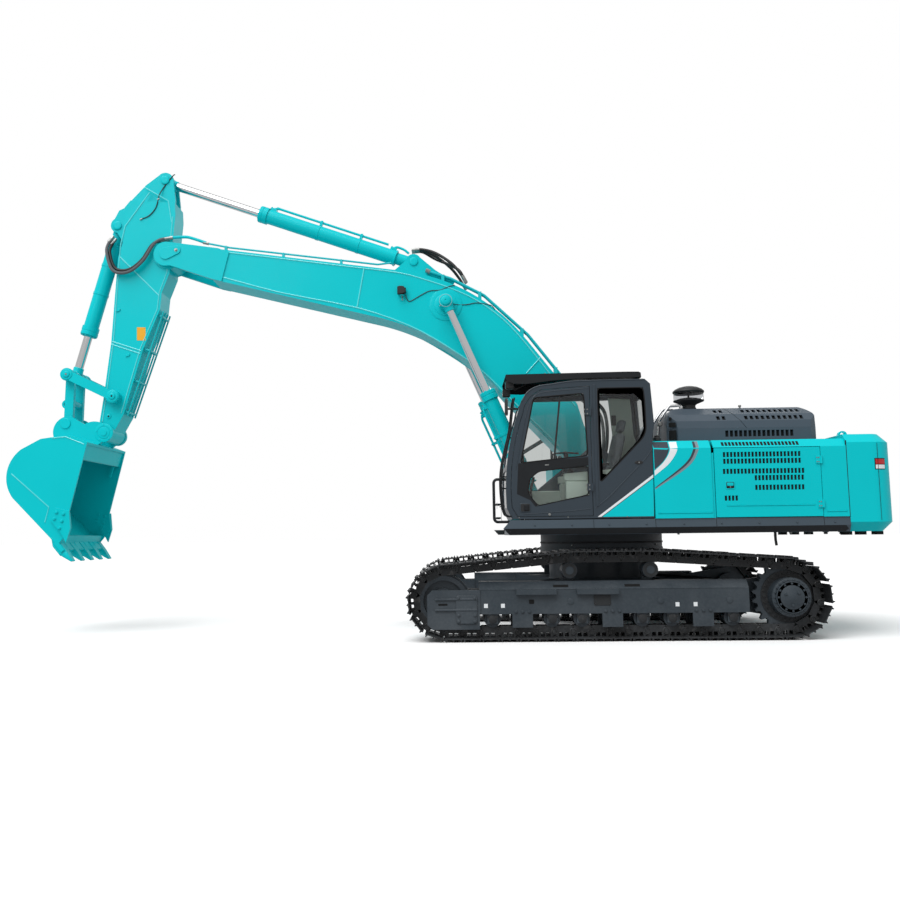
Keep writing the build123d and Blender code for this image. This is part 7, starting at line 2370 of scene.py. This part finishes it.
    def pin_cap(self, piece: Piece, place: Point2, side: int, y: float, radius: float,
                bolts: int) -> None:
        """A round cap on a pin's end.

        Args:
            piece: the piece that takes it.
            place: the pin, in the side view.
            side: which way it looks.
            y: the face it stands on.
            radius: its radius.
            bolts: bolts on it, 0 for none.
        """
        piece.lathe((place[0], y, place[1]), (0, side, 0),
                    [(radius, -0.002), (radius, 0.006), (radius - 0.006, 0.010),
                     (radius * 0.5, 0.010)], 36)
        if bolts:
            piece.bolt_ring((place[0], y + side * 0.010, place[1]), (0, side, 0), radius * 0.62,
                            bolts, 0.009, 0.3)

    def build_boom_dress(self) -> None:
        """Weld lines, edge beads, bosses and pin caps of the boom."""
        piece = Piece("boom_welds", self.palette.teal)
        lower = [(-5.20, 4.835), (-4.293, 4.57), (-3.238, 4.335), (-2.534, 4.075), (-2.029, 3.785),
                 (-1.577, 3.455), (-1.203, 3.075), (-0.88, 2.74), (-0.55, 2.40)]
        upper = [(-5.15, 5.168), (-4.3, 5.048), (-3.4, 4.918), (-2.67, 4.812), (-2.30, 4.705),
                 (-1.95, 4.575), (-1.60, 4.40), (-1.25, 4.13), (-0.96, 3.80), (-0.62, 3.34),
                 (-0.32, 2.93)]
        for line in (curve(lower, 3), curve(upper, 3), ((-5.199, 5.20), (-5.269, 4.83)),
                     ((-3.133, 4.895), (-3.233, 4.345)), ((-0.771, 3.59), (-0.956, 3.389))):
            self.edge_bead(piece, line, self.boom_half)
        for side in (LEFT, RIGHT):
            face = side * self.boom_half
            piece.lathe((self.boom_eye[0], face, self.boom_eye[1]), (0, side, 0),
                        [(0.222, 0.0), (0.222, 0.006), (0.214, 0.009), (0.154, 0.009),
                         (0.154, 0.0145), (0.147, 0.018), (0.10, 0.018)], 56)
            nose = self.layout.pivot("arm_curl")
            y = side * 0.282
            outline = []
            bolt_at = (-5.735, 5.192)
            steps = 12
            way = Vector((bolt_at[0] - nose[0], bolt_at[1] - nose[1])).normalized()
            normal = Vector((-way.y, way.x))
            for k in range(steps + 1):
                angle = math.pi / 2 + math.pi * k / steps
                outline.append((nose[0] + 0.085
                                * (math.cos(angle) * way.x + math.sin(angle) * normal.x),
                                nose[1] + 0.085
                                * (math.cos(angle) * way.y + math.sin(angle) * normal.y)))
            for k in range(steps + 1):
                angle = -math.pi / 2 + math.pi * k / steps
                outline.append((bolt_at[0] + 0.06
                                * (math.cos(angle) * way.x + math.sin(angle) * normal.x),
                                bolt_at[1] + 0.06
                                * (math.cos(angle) * way.y + math.sin(angle) * normal.y)))
            piece.plate(outline, lane(y, side * 0.016), 0.003)
            piece.use(self.palette.zinc)
            piece.bolt((bolt_at[0], y + side * 0.016, bolt_at[1]), (0, side, 0), 0.016)
            piece.use(self.palette.teal)
            foot = self.layout.pivot("boom_lift")
            piece.lathe((foot[0], side * 0.270, foot[1]), (0, side, 0),
                        [(0.150, 0.0), (0.150, 0.0025), (0.12, 0.004)], 40)
            self.pin_cap(piece, self.arm_base, side, side * 0.147, 0.058, 0)
        piece.use(self.palette.guard)
        piece.box((-4.35, self.boom_half - 0.001, 4.70), (-4.05, self.boom_half + 0.002, 4.86))
        piece.make("boom", slot="teal_paint")

        clips = Piece("boom_pipe_fittings", self.palette.zinc)
        for side in (LEFT, RIGHT):
            for y in (0.172, 0.224):
                clips.rod(self.side_point((-2.235, 4.825), side * y),
                          self.side_point((-2.29, 4.853), side * y), 0.026, 6)
            clips.rod(self.side_point((-5.292, 5.288), side * 0.235),
                      self.side_point((-5.372, 5.308), side * 0.235), 0.022, 6)
            clips.use(self.palette.teal)
            clips.tube(smooth_run([self.side_point(p, side * 0.235)
                                   for p in ((-5.33, 5.30), (-5.45, 5.345), (-5.586, 5.388),
                                             (-5.70, 5.392), (-5.80, 5.388))], 4), 0.021, 12)
            clips.use(self.palette.zinc)
        clips.use(self.palette.teal)
        for x, z in ((-5.05, 5.187), (-4.25, 5.07), (-3.45, 4.958)):
            for side in (LEFT, RIGHT):
                clips.bolt(self.side_point((x, z + 0.055), side * 0.247), UP, 0.007)
        clips.make("boom", slot="teal_paint")

    def build_boom_lamp(self) -> None:
        """The working lamp on the boom's left side with its bracket and wire."""
        piece = Piece("boom_lamp_body", self.palette.plastic)
        x0, x1, z0, z1 = -2.678, -2.562, 4.492, 4.608
        y0, y1 = -0.355, -0.275
        outline = [(x0, z0 + 0.006), (x0, z1 - 0.012), (x0 + 0.028, z1), (x1 - 0.03, z1 - 0.008),
                   (x1, z1 - 0.05), (x1 - 0.006, z0 + 0.02), (x1 - 0.04, z0 + 0.002),
                   (x0 + 0.02, z0)]
        piece.plate(outline, (y0, y1), 0.010)
        for k in range(4):
            z = z0 + 0.024 + 0.019 * k
            piece.box((x1 - 0.02, y0 + 0.012, z), (x1, y1 - 0.012, z + 0.006))
        piece.use(self.palette.lens)
        piece.plate(rect(x0 - 0.0015, z0 + 0.016, x0 + 0.002, z1 - 0.022), (y0 + 0.012, y1 - 0.012))
        piece.use(self.palette.teal)
        piece.box((-2.645, -0.345, 4.476), (-2.585, -0.262, 4.482))
        piece.box((-2.645, -0.268, 4.415), (-2.585, -0.262, 4.482))
        piece.use(self.palette.zinc)
        piece.bolt((-2.615, -0.31, 4.476), DOWN, 0.010)
        for z in (4.432, 4.458):
            piece.bolt((-2.615, -0.268, z), (0, -1, 0), 0.007)
        piece.use(self.palette.rubber)
        wire = [(-2.575, 4.50), (-2.54, 4.42), (-2.50, 4.41), (-2.359, 4.49), (-2.24, 4.545),
                (-2.10, 4.555), (-1.98, 4.60), (-1.90, 4.62)]
        run = smooth_run([self.side_point(p, -0.2685 - (0.02 if k == 0 else 0.0)) for k,
                          p in enumerate(wire)], 6)
        piece.tube(run, 0.0055, 8)
        grease = [(-1.935, 4.352), (-1.85, 4.344), (-1.73, 4.346), (-1.60, 4.366), (-1.42, 4.33),
                  (-1.36, 4.27)]
        for side in (LEFT, RIGHT):
            ends = [self.side_point(p, side * (0.30 if k == 0 else 0.2685)) for k,
                    p in enumerate(grease)]
            piece.tube(smooth_run(ends, 6), 0.0055, 8)
        piece.make("boom", slot="dark_plastic", replaces=["boom_lamp"])

    def build_arm_dress(self) -> None:
        """Weld lines, ridges, lugs, the blank plate, pipes and pin caps of the arm."""
        piece = Piece("arm_welds", self.palette.teal)
        lines = (
            ((-6.225, 6.135), (-5.884, 5.93), (-5.83, 5.62)),
            ((-6.148, 6.06), (-6.485, 5.58), (-6.545, 5.30)),
            ((-6.554, 5.144), (-5.985, 4.575)),
            ((-6.640, 3.905), (-6.233, 3.765)),
            ((-6.634, 3.945), (-6.219, 3.805)),
        )
        for side in (LEFT, RIGHT):
            for line in lines:
                self.weld_bead(piece, line, side * self.arm_half)
            rim = [(-5.815, 5.70), (-5.885, 4.90), (-5.985, 4.62), (-6.008, 4.385), (-6.235, 3.83),
                   (-6.478, 2.94)]
            self.weld_bead(piece, rim, side * self.arm_half, 0.008)
            rim = [(-6.545, 5.30), (-6.555, 5.12), (-6.608, 3.95), (-6.692, 3.175), (-6.735, 2.83)]
            self.weld_bead(piece, rim, side * self.arm_half, 0.008)
            for x, z, radius in ((-6.55, 4.373, 0.028), (-6.404, 3.74, 0.03)):
                piece.plate(rounded([(x - radius, z - 0.02), (x + radius, z),
                                     (x + radius, z + 0.036), (x - radius, z + 0.018)], 0.015),
                            lane(side * self.arm_half, side * 0.014), 0.003)
            piece.lathe((-6.648, side * self.arm_half, 2.903), (0, side, 0),
                        [(0.034, 0.0), (0.034, 0.008), (0.026, 0.012), (0.012, 0.012)], 24)
            # Painted shade: a dark disc for the hole in the lug
            piece.use(self.palette.dark)
            piece.lathe((-6.648, side * (self.arm_half + 0.0118), 2.903), (0, side, 0),
                        [(0.0125, 0.0), (0.0125, 0.001)], 16)
            piece.use(self.palette.teal)
            self.pin_cap(piece, self.arm_eye, side, side * 0.148, 0.062, 0)
            self.pin_cap(piece, self.bucket_base, side, side * 0.148, 0.062, 0)
        hinge = self.layout.pivot("arm_curl")
        for side in (LEFT, RIGHT):
            piece.lathe((hinge[0], side * 0.2005, hinge[1]), (0, side, 0),
                        [(0.205, -0.001), (0.202, 0.006), (0.196, 0.008)], 48)
        piece.use(self.palette.amber)
        yellow = [(-6.286, 4.137), (-6.166, 4.132), (-6.162, 3.948), (-6.282, 3.952)]
        piece.plate(yellow, (-self.arm_half - 0.0022, -self.arm_half - 0.0002))
        piece.use(self.palette.zinc)
        for px, pz in ((-6.276, 4.125), (-6.176, 4.121), (-6.172, 3.959), (-6.272, 3.963)):
            piece.lathe((px, -self.arm_half - 0.0022, pz), (0, -1, 0),
                        [(0.0045, 0.0), (0.003, 0.002)], 10)
        piece.use(self.palette.rubber)
        cable = [(-5.829, 6.33), (-5.90, 6.245), (-5.978, 6.131), (-6.012, 6.02), (-6.025, 5.944),
                 (-6.064, 5.819), (-6.15, 5.72), (-6.26, 5.673)]
        ys = [-0.142, -0.142, -0.15, -0.2, -0.207, -0.207, -0.207, -0.205]
        piece.tube(smooth_run([self.side_point(p, y) for p, y in zip(cable, ys)], 6), 0.0075, 8)
        piece.use(self.palette.zinc)
        for place, y in (((-5.829, 6.33), -0.142), ((-6.26, 5.673), -0.207),
                         ((-6.02, 5.955), -0.209)):
            piece.rod(self.side_point((place[0] - 0.015, place[1] - 0.008), y),
                      self.side_point((place[0] + 0.015, place[1] + 0.008), y), 0.011, 8)
        piece.make("arm", slot="teal_paint")

    def build_linkage_dress(self) -> None:
        """Pin caps and rims of the rockers and of the bucket link."""
        rocker = Piece("rocker_caps", self.palette.teal)
        pivot, top = self.layout.pivot("rocker_swing"), self.layout.pivot("link_swing")
        for side in (LEFT, RIGHT):
            face = side * 0.330
            for place, radius in ((pivot, 0.083), (top, 0.078)):
                rocker.lathe((place[0], face, place[1]), (0, side, 0),
                             [(radius, 0.0), (radius, 0.005), (radius - 0.005, 0.008),
                              (0.048, 0.008)], 40)
                self.pin_cap(rocker, place, side, side * 0.342, 0.044, 0)
            # Painted shade: a dark disc for the pin's hole
            rocker.use(self.palette.dark)
            rocker.lathe((pivot[0], side * 0.3505, pivot[1]), (0, side, 0),
                         [(0.013, 0.0), (0.013, 0.003)], 16)
            rocker.use(self.palette.zinc)
            rocker.bolt((top[0], side * 0.3515, top[1]), (0, side, 0), 0.009)
            rocker.use(self.palette.teal)
        rocker.make("rocker_links", slot="teal_paint")

        link = Piece("bucket_link_rims", self.palette.teal)
        for side in (LEFT, RIGHT):
            for place, radius in ((self.link_eye, 0.09), (top, 0.084)):
                link.lathe((place[0], side * 0.196, place[1]), (0, side, 0),
                           [(radius, 0.0), (radius, 0.004), (radius - 0.004, 0.006), (0.06, 0.006)],
                           36)
        link.use(self.palette.mat)
        for y in (-0.2205, 0.2165):
            link.cross(self.link_eye, 0.0845, (y, y + 0.004), 36)
        link.make("bucket_link", slot="teal_paint")

    def build_bucket_dress(self) -> None:
        """Teeth, side cutter bolts, weld lines, wear strips and pin hubs of the bucket."""
        piece = Piece("bucket_welds", self.palette.teal)
        for side in (LEFT, RIGHT):
            face = side * self.bucket_half
            for line in (((-7.72, 2.10), (-7.209, 1.66), (-7.255, 1.465)),
                         ((-7.20, 2.56), (-7.02, 2.575), (-6.77, 2.475)),
                         ((-7.10, 1.635), (-6.955, 1.60))):
                self.weld_bead(piece, line, face, 0.0075)
            hub = self.layout.pivot("bucket_curl")
            y = side * 0.280
            piece.lathe((hub[0], y, hub[1]), (0, side, 0),
                        [(0.128, 0.0), (0.128, 0.0025), (0.124, 0.004), (0.090, 0.004),
                         (0.088, 0.0015), (0.082, 0.0015), (0.080, 0.0055), (0.074, 0.0065),
                         (0.0, 0.0065)], 44)
            piece.bolt_ring((hub[0], y - side * 0.011, hub[1]), (0, side, 0), 0.106, 5, 0.014, 0.4)
            piece.lathe((self.link_eye[0], y, self.link_eye[1]), (0, side, 0),
                        [(0.072, 0.0), (0.072, 0.010), (0.066, 0.0145), (0.0, 0.0145)], 36)
            cutter = side * (self.bucket_half + 0.034)
            bolts = ((-7.092, 1.590), (-7.000, 1.569), (-7.118, 1.507), (-7.019, 1.478),
                     (-7.046, 1.387))
            for px, pz in bolts:
                piece.lathe((px, cutter, pz), (0, side, 0),
                            [(0.026, 0.0), (0.026, 0.004), (0.024, 0.006)], 16)
                piece.lathe((px, cutter, pz), (0, side, 0),
                            [(0.018, 0.0), (0.018, 0.014), (0.014, 0.018)], 6)
            inner = side * (self.bucket_half - 0.026)
            for px, pz in bolts:
                piece.lathe((px, inner, pz), (0, -side, 0),
                            [(0.02, 0.0), (0.02, 0.012), (0.016, 0.016)], 6)
        for y in (-0.5, -0.166, 0.166, 0.5):
            strip = [(-7.745, 1.90), (-7.700, 1.775), (-7.15, 1.225), (-7.165, 1.212),
                     (-7.716, 1.762), (-7.765, 1.90)]
            piece.plate(strip, (y - 0.05, y + 0.05))
        for y in (-0.62, 0.62):
            gusset = [(-6.80, 2.455), (-6.845, 2.30), (-6.905, 2.12), (-6.93, 2.13), (-6.885, 2.31),
                      (-6.84, 2.46)]
            piece.plate(gusset, (y - 0.02, y + 0.02))
        piece.make("bucket", slot="teal_paint")

        teeth = Piece("bucket_teeth", self.palette.teal)
        span = 2 * self.bucket_half - 0.104 - 0.04
        for index in range(5):
            y = (index / 4 - 0.5) * span
            teeth.use(self.palette.teal)
            adaptor = [(-7.172, 1.252), (-7.152, 1.150), (-7.048, 1.028), (-6.998, 1.072),
                       (-7.075, 1.175), (-7.10, 1.262)]
            teeth.plate(adaptor, (y - 0.060, y + 0.060), 0.012)
            point_side = [(-7.050, 1.043), (-7.038, 1.030), (-6.906, 0.9555), (-6.886, 0.964),
                          (-6.965, 1.088), (-6.998, 1.092)]
            middle = (-6.98, 1.03)
            rings = []
            for dy, share in ((-0.056, 0.72), (-0.048, 1.0), (0.048, 1.0), (0.056, 0.72)):
                rings.append([(middle[0] + (px - middle[0]) * share, y + dy,
                               middle[1] + (pz - middle[1]) * share) for px,
                              pz in counterclockwise(point_side, False)])
            teeth.loops(rings)
            teeth.use(self.palette.guard)
            teeth.lathe((-7.03, y - 0.062, 1.09), (0, 1, 0), [(0.014, 0.0), (0.014, 0.124)], 12)
        for k in range(4):
            y = (k / 4 - 0.375) * span
            teeth.use(self.palette.teal)
            lip = [(-7.15, 1.215), (-7.128, 1.178), (-7.028, 1.068), (-6.988, 1.105),
                   (-7.085, 1.238)]
            teeth.plate(lip, (y - 0.07, y + 0.07), 0.006)
        teeth.make("bucket", slot="teal_paint")

    def fitting(self, piece: Piece, start: Sequence[float], end: Sequence[float],
                radius: float) -> None:
        """A crimped hose end."""
        a, b = Vector(start), Vector(end)
        way = (b - a).normalized()
        piece.use(self.palette.zinc)
        piece.rod(a, a + way * 0.05, radius * 1.18, 6)
        piece.rod(a + way * 0.045, a + way * 0.11, radius * 1.12, 16)

    def blended_hose(self, name: str, bodies: tuple[str, str], points: Sequence[Point3],
                     radius: float, finish: bpy.types.Material, slot: str) -> None:
        """A hose between two bodies, with its crimped ends.

        Args:
            name: the piece's name.
            bodies: where it starts and where it ends.
            points: what it passes through.
            radius: its radius.
            finish: its cover.
            slot: the record's material slot.
        """
        piece = Piece(name, finish)
        line = smooth_run(points, 10)
        piece.use(finish)
        piece.tube(line, radius, 14)
        self.fitting(piece, points[0], line[3], radius)
        self.fitting(piece, points[-1], line[-4], radius)
        hose = piece.make(bodies[0], slot=slot, rides=False)
        way = (Vector(points[-1]) - Vector(points[0])).normalized()
        tuple(Piece.origin + Vector(points[0]) + way * 0.1)
        tuple(Piece.origin + Vector(points[-1]) - way * 0.1)
        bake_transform(hose)

    def build_hoses(self) -> None:
        """Hoses from pipe to pipe over the joints."""
        for side_name, side in SIDES:
            loop = [(-5.80, 5.387), (-6.022, 5.318), (-6.198, 5.045), (-6.406, 4.896),
                    (-6.619, 4.931), (-6.725, 5.20), (-6.708, 5.36), (-6.66, 5.45)]
            spread = (0.235, 0.275, 0.292, 0.285, 0.27, 0.235, 0.19, 0.165)
            for k, (inward, gap) in enumerate(((0.0, 0.0), (0.055, 0.012))):
                points = [(px + (-6.40 - px) * inward * 2, side * (py - gap * 2.0),
                           pz + (5.20 - pz) * inward * 2.4) for (px, pz), py in zip(loop, spread)]
                self.blended_hose(f"bucket_hose_{side_name}_{k}", ("boom", "arm"), points,
                                  self.hose_radius, (self.palette.sleeve, self.palette.rubber)[k],
                                  "dark_plastic")
            for k, y in enumerate((0.172, 0.224)):
                self.blended_hose(f"boom_foot_hose_{side_name}_{k}", ("house", "boom"),
                                  [(0.10, side * (0.06 + 0.08 * k), 1.60),
                                   (-0.02, side * (0.08 + 0.07 * k), 1.95),
                                   (0.10, side * (0.12 + 0.05 * k), 2.40),
                                   (0.08, side * (y - 0.02), 2.85), (-0.14, side * y, 3.06),
                                   (-0.31, side * y, 3.13)], 0.019, self.palette.rubber,
                                  "dark_plastic")
        base_x = self.arm_base[0]
        for k, (y, end_y) in enumerate(((-0.05, -0.172), (0.0, 0.172), (0.05, -0.224))):
            self.blended_hose(f"arm_cylinder_hose_{k}", ("arm_cylinder_barrel", "boom"),
                              [(base_x - 0.03, y, 5.19), (base_x + 0.12, y * 1.2, 5.19),
                               (-2.16, y * 1.6, 5.13 - 0.02 * k),
                               (-1.96, (y * 2 + end_y) / 2, 4.98 - 0.01 * k),
                               (-1.84, end_y * 0.95, 4.84), (-1.78, end_y, 4.74),
                               (-1.74, end_y, 4.665)], 0.02, self.palette.rubber, "dark_plastic")


# ------------------------------------------------------------------------------------------
# Studio
# ------------------------------------------------------------------------------------------


@dataclass
class Studio:
    """Pale floor, soft light and the camera."""

    layout: Layout
    floor_size: float = 400.0
    floor_throw: Colour = (0.45, 0.45, 0.46)
    air_level: float = 0.55
    overhead_level: float = 2.0
    overhead_from: Point3 = (-6.0, -9.0, 20.0)
    key_power: float = 500.0
    rear_power: float = 500.0
    camera_place: Point3 = (-1.953133, -12.81444773, 1.24791)
    right: Point3 = (0.99921065, 0.03805905, -0.0113837)
    up: Point3 = (0.01564281, -0.11355513, 0.99340854)
    view: Point3 = (-0.03651551, 0.99280247, 0.11406085)
    lens: float = 37.7384
    shift: Point2 = (0.03501, -0.02605)

    def build(self) -> None:
        """Builds floor, lights and camera."""
        self.build_floor()
        self.build_light()
        self.build_camera()

    def build_floor(self) -> None:
        """Lays the floor: white to the eye, and a duller throw of light back up."""
        half = self.floor_size / 2
        mesh = bpy.data.meshes.new("studio_floor")
        mesh.from_pydata([(-half, -half, -0.006), (half, -half, -0.006), (half, half, -0.006),
                          (-half, half, -0.006)], [], [(0, 1, 2, 3)])
        shader = Shader("studio_floor")
        shader.set(Roughness=0.9, Specular_IOR_Level=0.05)
        path = shader.tree.nodes.new("ShaderNodeLightPath")
        tone = shader.tree.nodes.new("ShaderNodeMix")
        tone.data_type = "RGBA"
        tone.inputs[6].default_value = (*self.floor_throw, 1.0)
        tone.inputs[7].default_value = (1.0, 1.0, 1.0, 1.0)
        shader.tree.links.new(path.outputs["Is Camera Ray"], tone.inputs[0])
        shader.link(tone.outputs[2], "Base Color")
        mesh.materials.append(shader.material)
        floor = bpy.data.objects.new("studio_floor", mesh)
        bpy.context.scene.collection.objects.link(floor)

    def build_light(self) -> None:
        """A white surround, a wide soft light from above and one large light from the front."""
        scene = bpy.context.scene
        world = bpy.data.worlds.new("studio_air")
        world.use_nodes = True
        nodes, links = world.node_tree.nodes, world.node_tree.links
        air = nodes["Background"]
        path = nodes.new("ShaderNodeLightPath")
        level = nodes.new("ShaderNodeMapRange")
        level.inputs["To Min"].default_value = self.air_level
        level.inputs["To Max"].default_value = 1.0
        links.new(path.outputs["Is Camera Ray"], level.inputs["Value"])
        links.new(level.outputs["Result"], air.inputs["Strength"])
        air.inputs["Color"].default_value = (1.0, 1.0, 1.0, 1.0)
        scene.world = world
        overhead = bpy.data.lights.new("overhead_light", "SUN")
        overhead.energy = self.overhead_level
        overhead.angle = math.radians(50)
        self.hang("overhead_light", overhead, self.overhead_from)
        for name, place, size, power in (
            ("key_light", (-7.0, -12.0, 11.0), 8.0, self.key_power),
            ("rear_light", (6.0, 13.0, 9.0), 8.0, self.rear_power),
        ):
            light = bpy.data.lights.new(name, "AREA")
            light.size = size
            light.energy = power
            self.hang(name, light, place)
        scene.view_settings.view_transform = "Standard"

    def hang(self, name: str, light: bpy.types.Light, place: Point3) -> None:
        """Hangs a light and points it at the machine.

        Args:
            name: the light's name.
            light: its data.
            place: where it hangs.
        """
        lamp = bpy.data.objects.new(name, light)
        lamp.location = place
        aim = Vector((0.0, 0.0, 2.0)) - Vector(place)
        lamp.rotation_euler = aim.to_track_quat("-Z", "Y").to_euler()
        bpy.context.scene.collection.objects.link(lamp)

    def build_camera(self) -> None:
        """Places the camera."""
        camera = bpy.data.cameras.new("studio_camera")
        camera.sensor_width = 36.0
        camera.lens = self.lens
        camera.shift_x, camera.shift_y = self.shift
        camera.clip_end = 500.0
        rig = bpy.data.objects.new("studio_camera", camera)
        axes = Matrix((self.right, self.up, tuple(-c for c in self.view))).transposed().to_4x4()
        x, y, z = self.camera_place
        axes.translation = Vector((x + self.layout.swing_x, y, z))
        rig.matrix_world = axes
        bpy.context.scene.collection.objects.link(rig)
        bpy.context.scene.camera = rig


# CAD nodes and the finish that each keeps its shape under
NODE_FINISHES = {
    "teal": ("arm", "boom", "boom_cylinder_barrels", "arm_cylinder_barrel",
             "bucket_cylinder_barrel", "bucket", "rocker_links", "bucket_link", "counterweight",
             "body_panels", "left_front_panel", "hydraulic_tank", "fuel_tank", "tool_box",
             "side_door_left", "side_door_right"),
    "teal_rough": ("boom_pipes", "arm_guard"),
    "cab": ("cab_shell", "cab_floor", "cab_left_frame", "cab_door"),
    "guard": ("roof_guard", "handrails", "right_rails"),
    "stainless": ("hood_rails",),
    "hood": ("hood", "hood_base", "hood_front"),
    "skirt": ("upper_frame", "side_skirts"),
    "frame": ("centre_frame", "swing_bearing", "track_frame_left", "track_frame_right", "sprockets",
              "idlers", "bottom_rollers", "carrier_rollers"),
    "chrome": ("boom_cylinder_rods", "arm_cylinder_rod", "bucket_cylinder_rod"),
    "glass": ("cab_glass", "door_glass"),
    "plastic": ("pre_cleaner", "boom_lamp", "mirrors", "work_lamps"),
    "trim": ("cab_interior",),
    "cast": ("engine_block", "exhaust_pipe"),
}


def dress_nodes(frame: dict, palette: Palette) -> None:
    """Gives every CAD node its finish.

    Args:
        palette: the finishes.
    """
    chosen = {node: finish for finish, nodes in NODE_FINISHES.items() for node in nodes}
    for name, node in frame["nodes"].items():
        finish = getattr(palette, chosen.get(name, "frame"))
        for index in range(len(node.data.materials)):
            node.data.materials[index] = finish


def main() -> None:
    """Builds the machine's dress round the frame."""
    logging.basicConfig(level=logging.INFO, format="%(name)s: %(message)s")
    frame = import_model()
    layout = Layout.read(frame)
    Piece.origin = Vector((layout.swing_x, 0.0, 0.0))
    palette = Palette()
    dress_nodes(frame, palette)
    Studio(layout).build()
    loop = TrackLoop()
    Undercarriage(palette, loop).build()
    House(palette, layout).build()
    Cab(palette).build()
    WorkingArm(palette, layout).build()


if __name__ == "__main__":
    main()
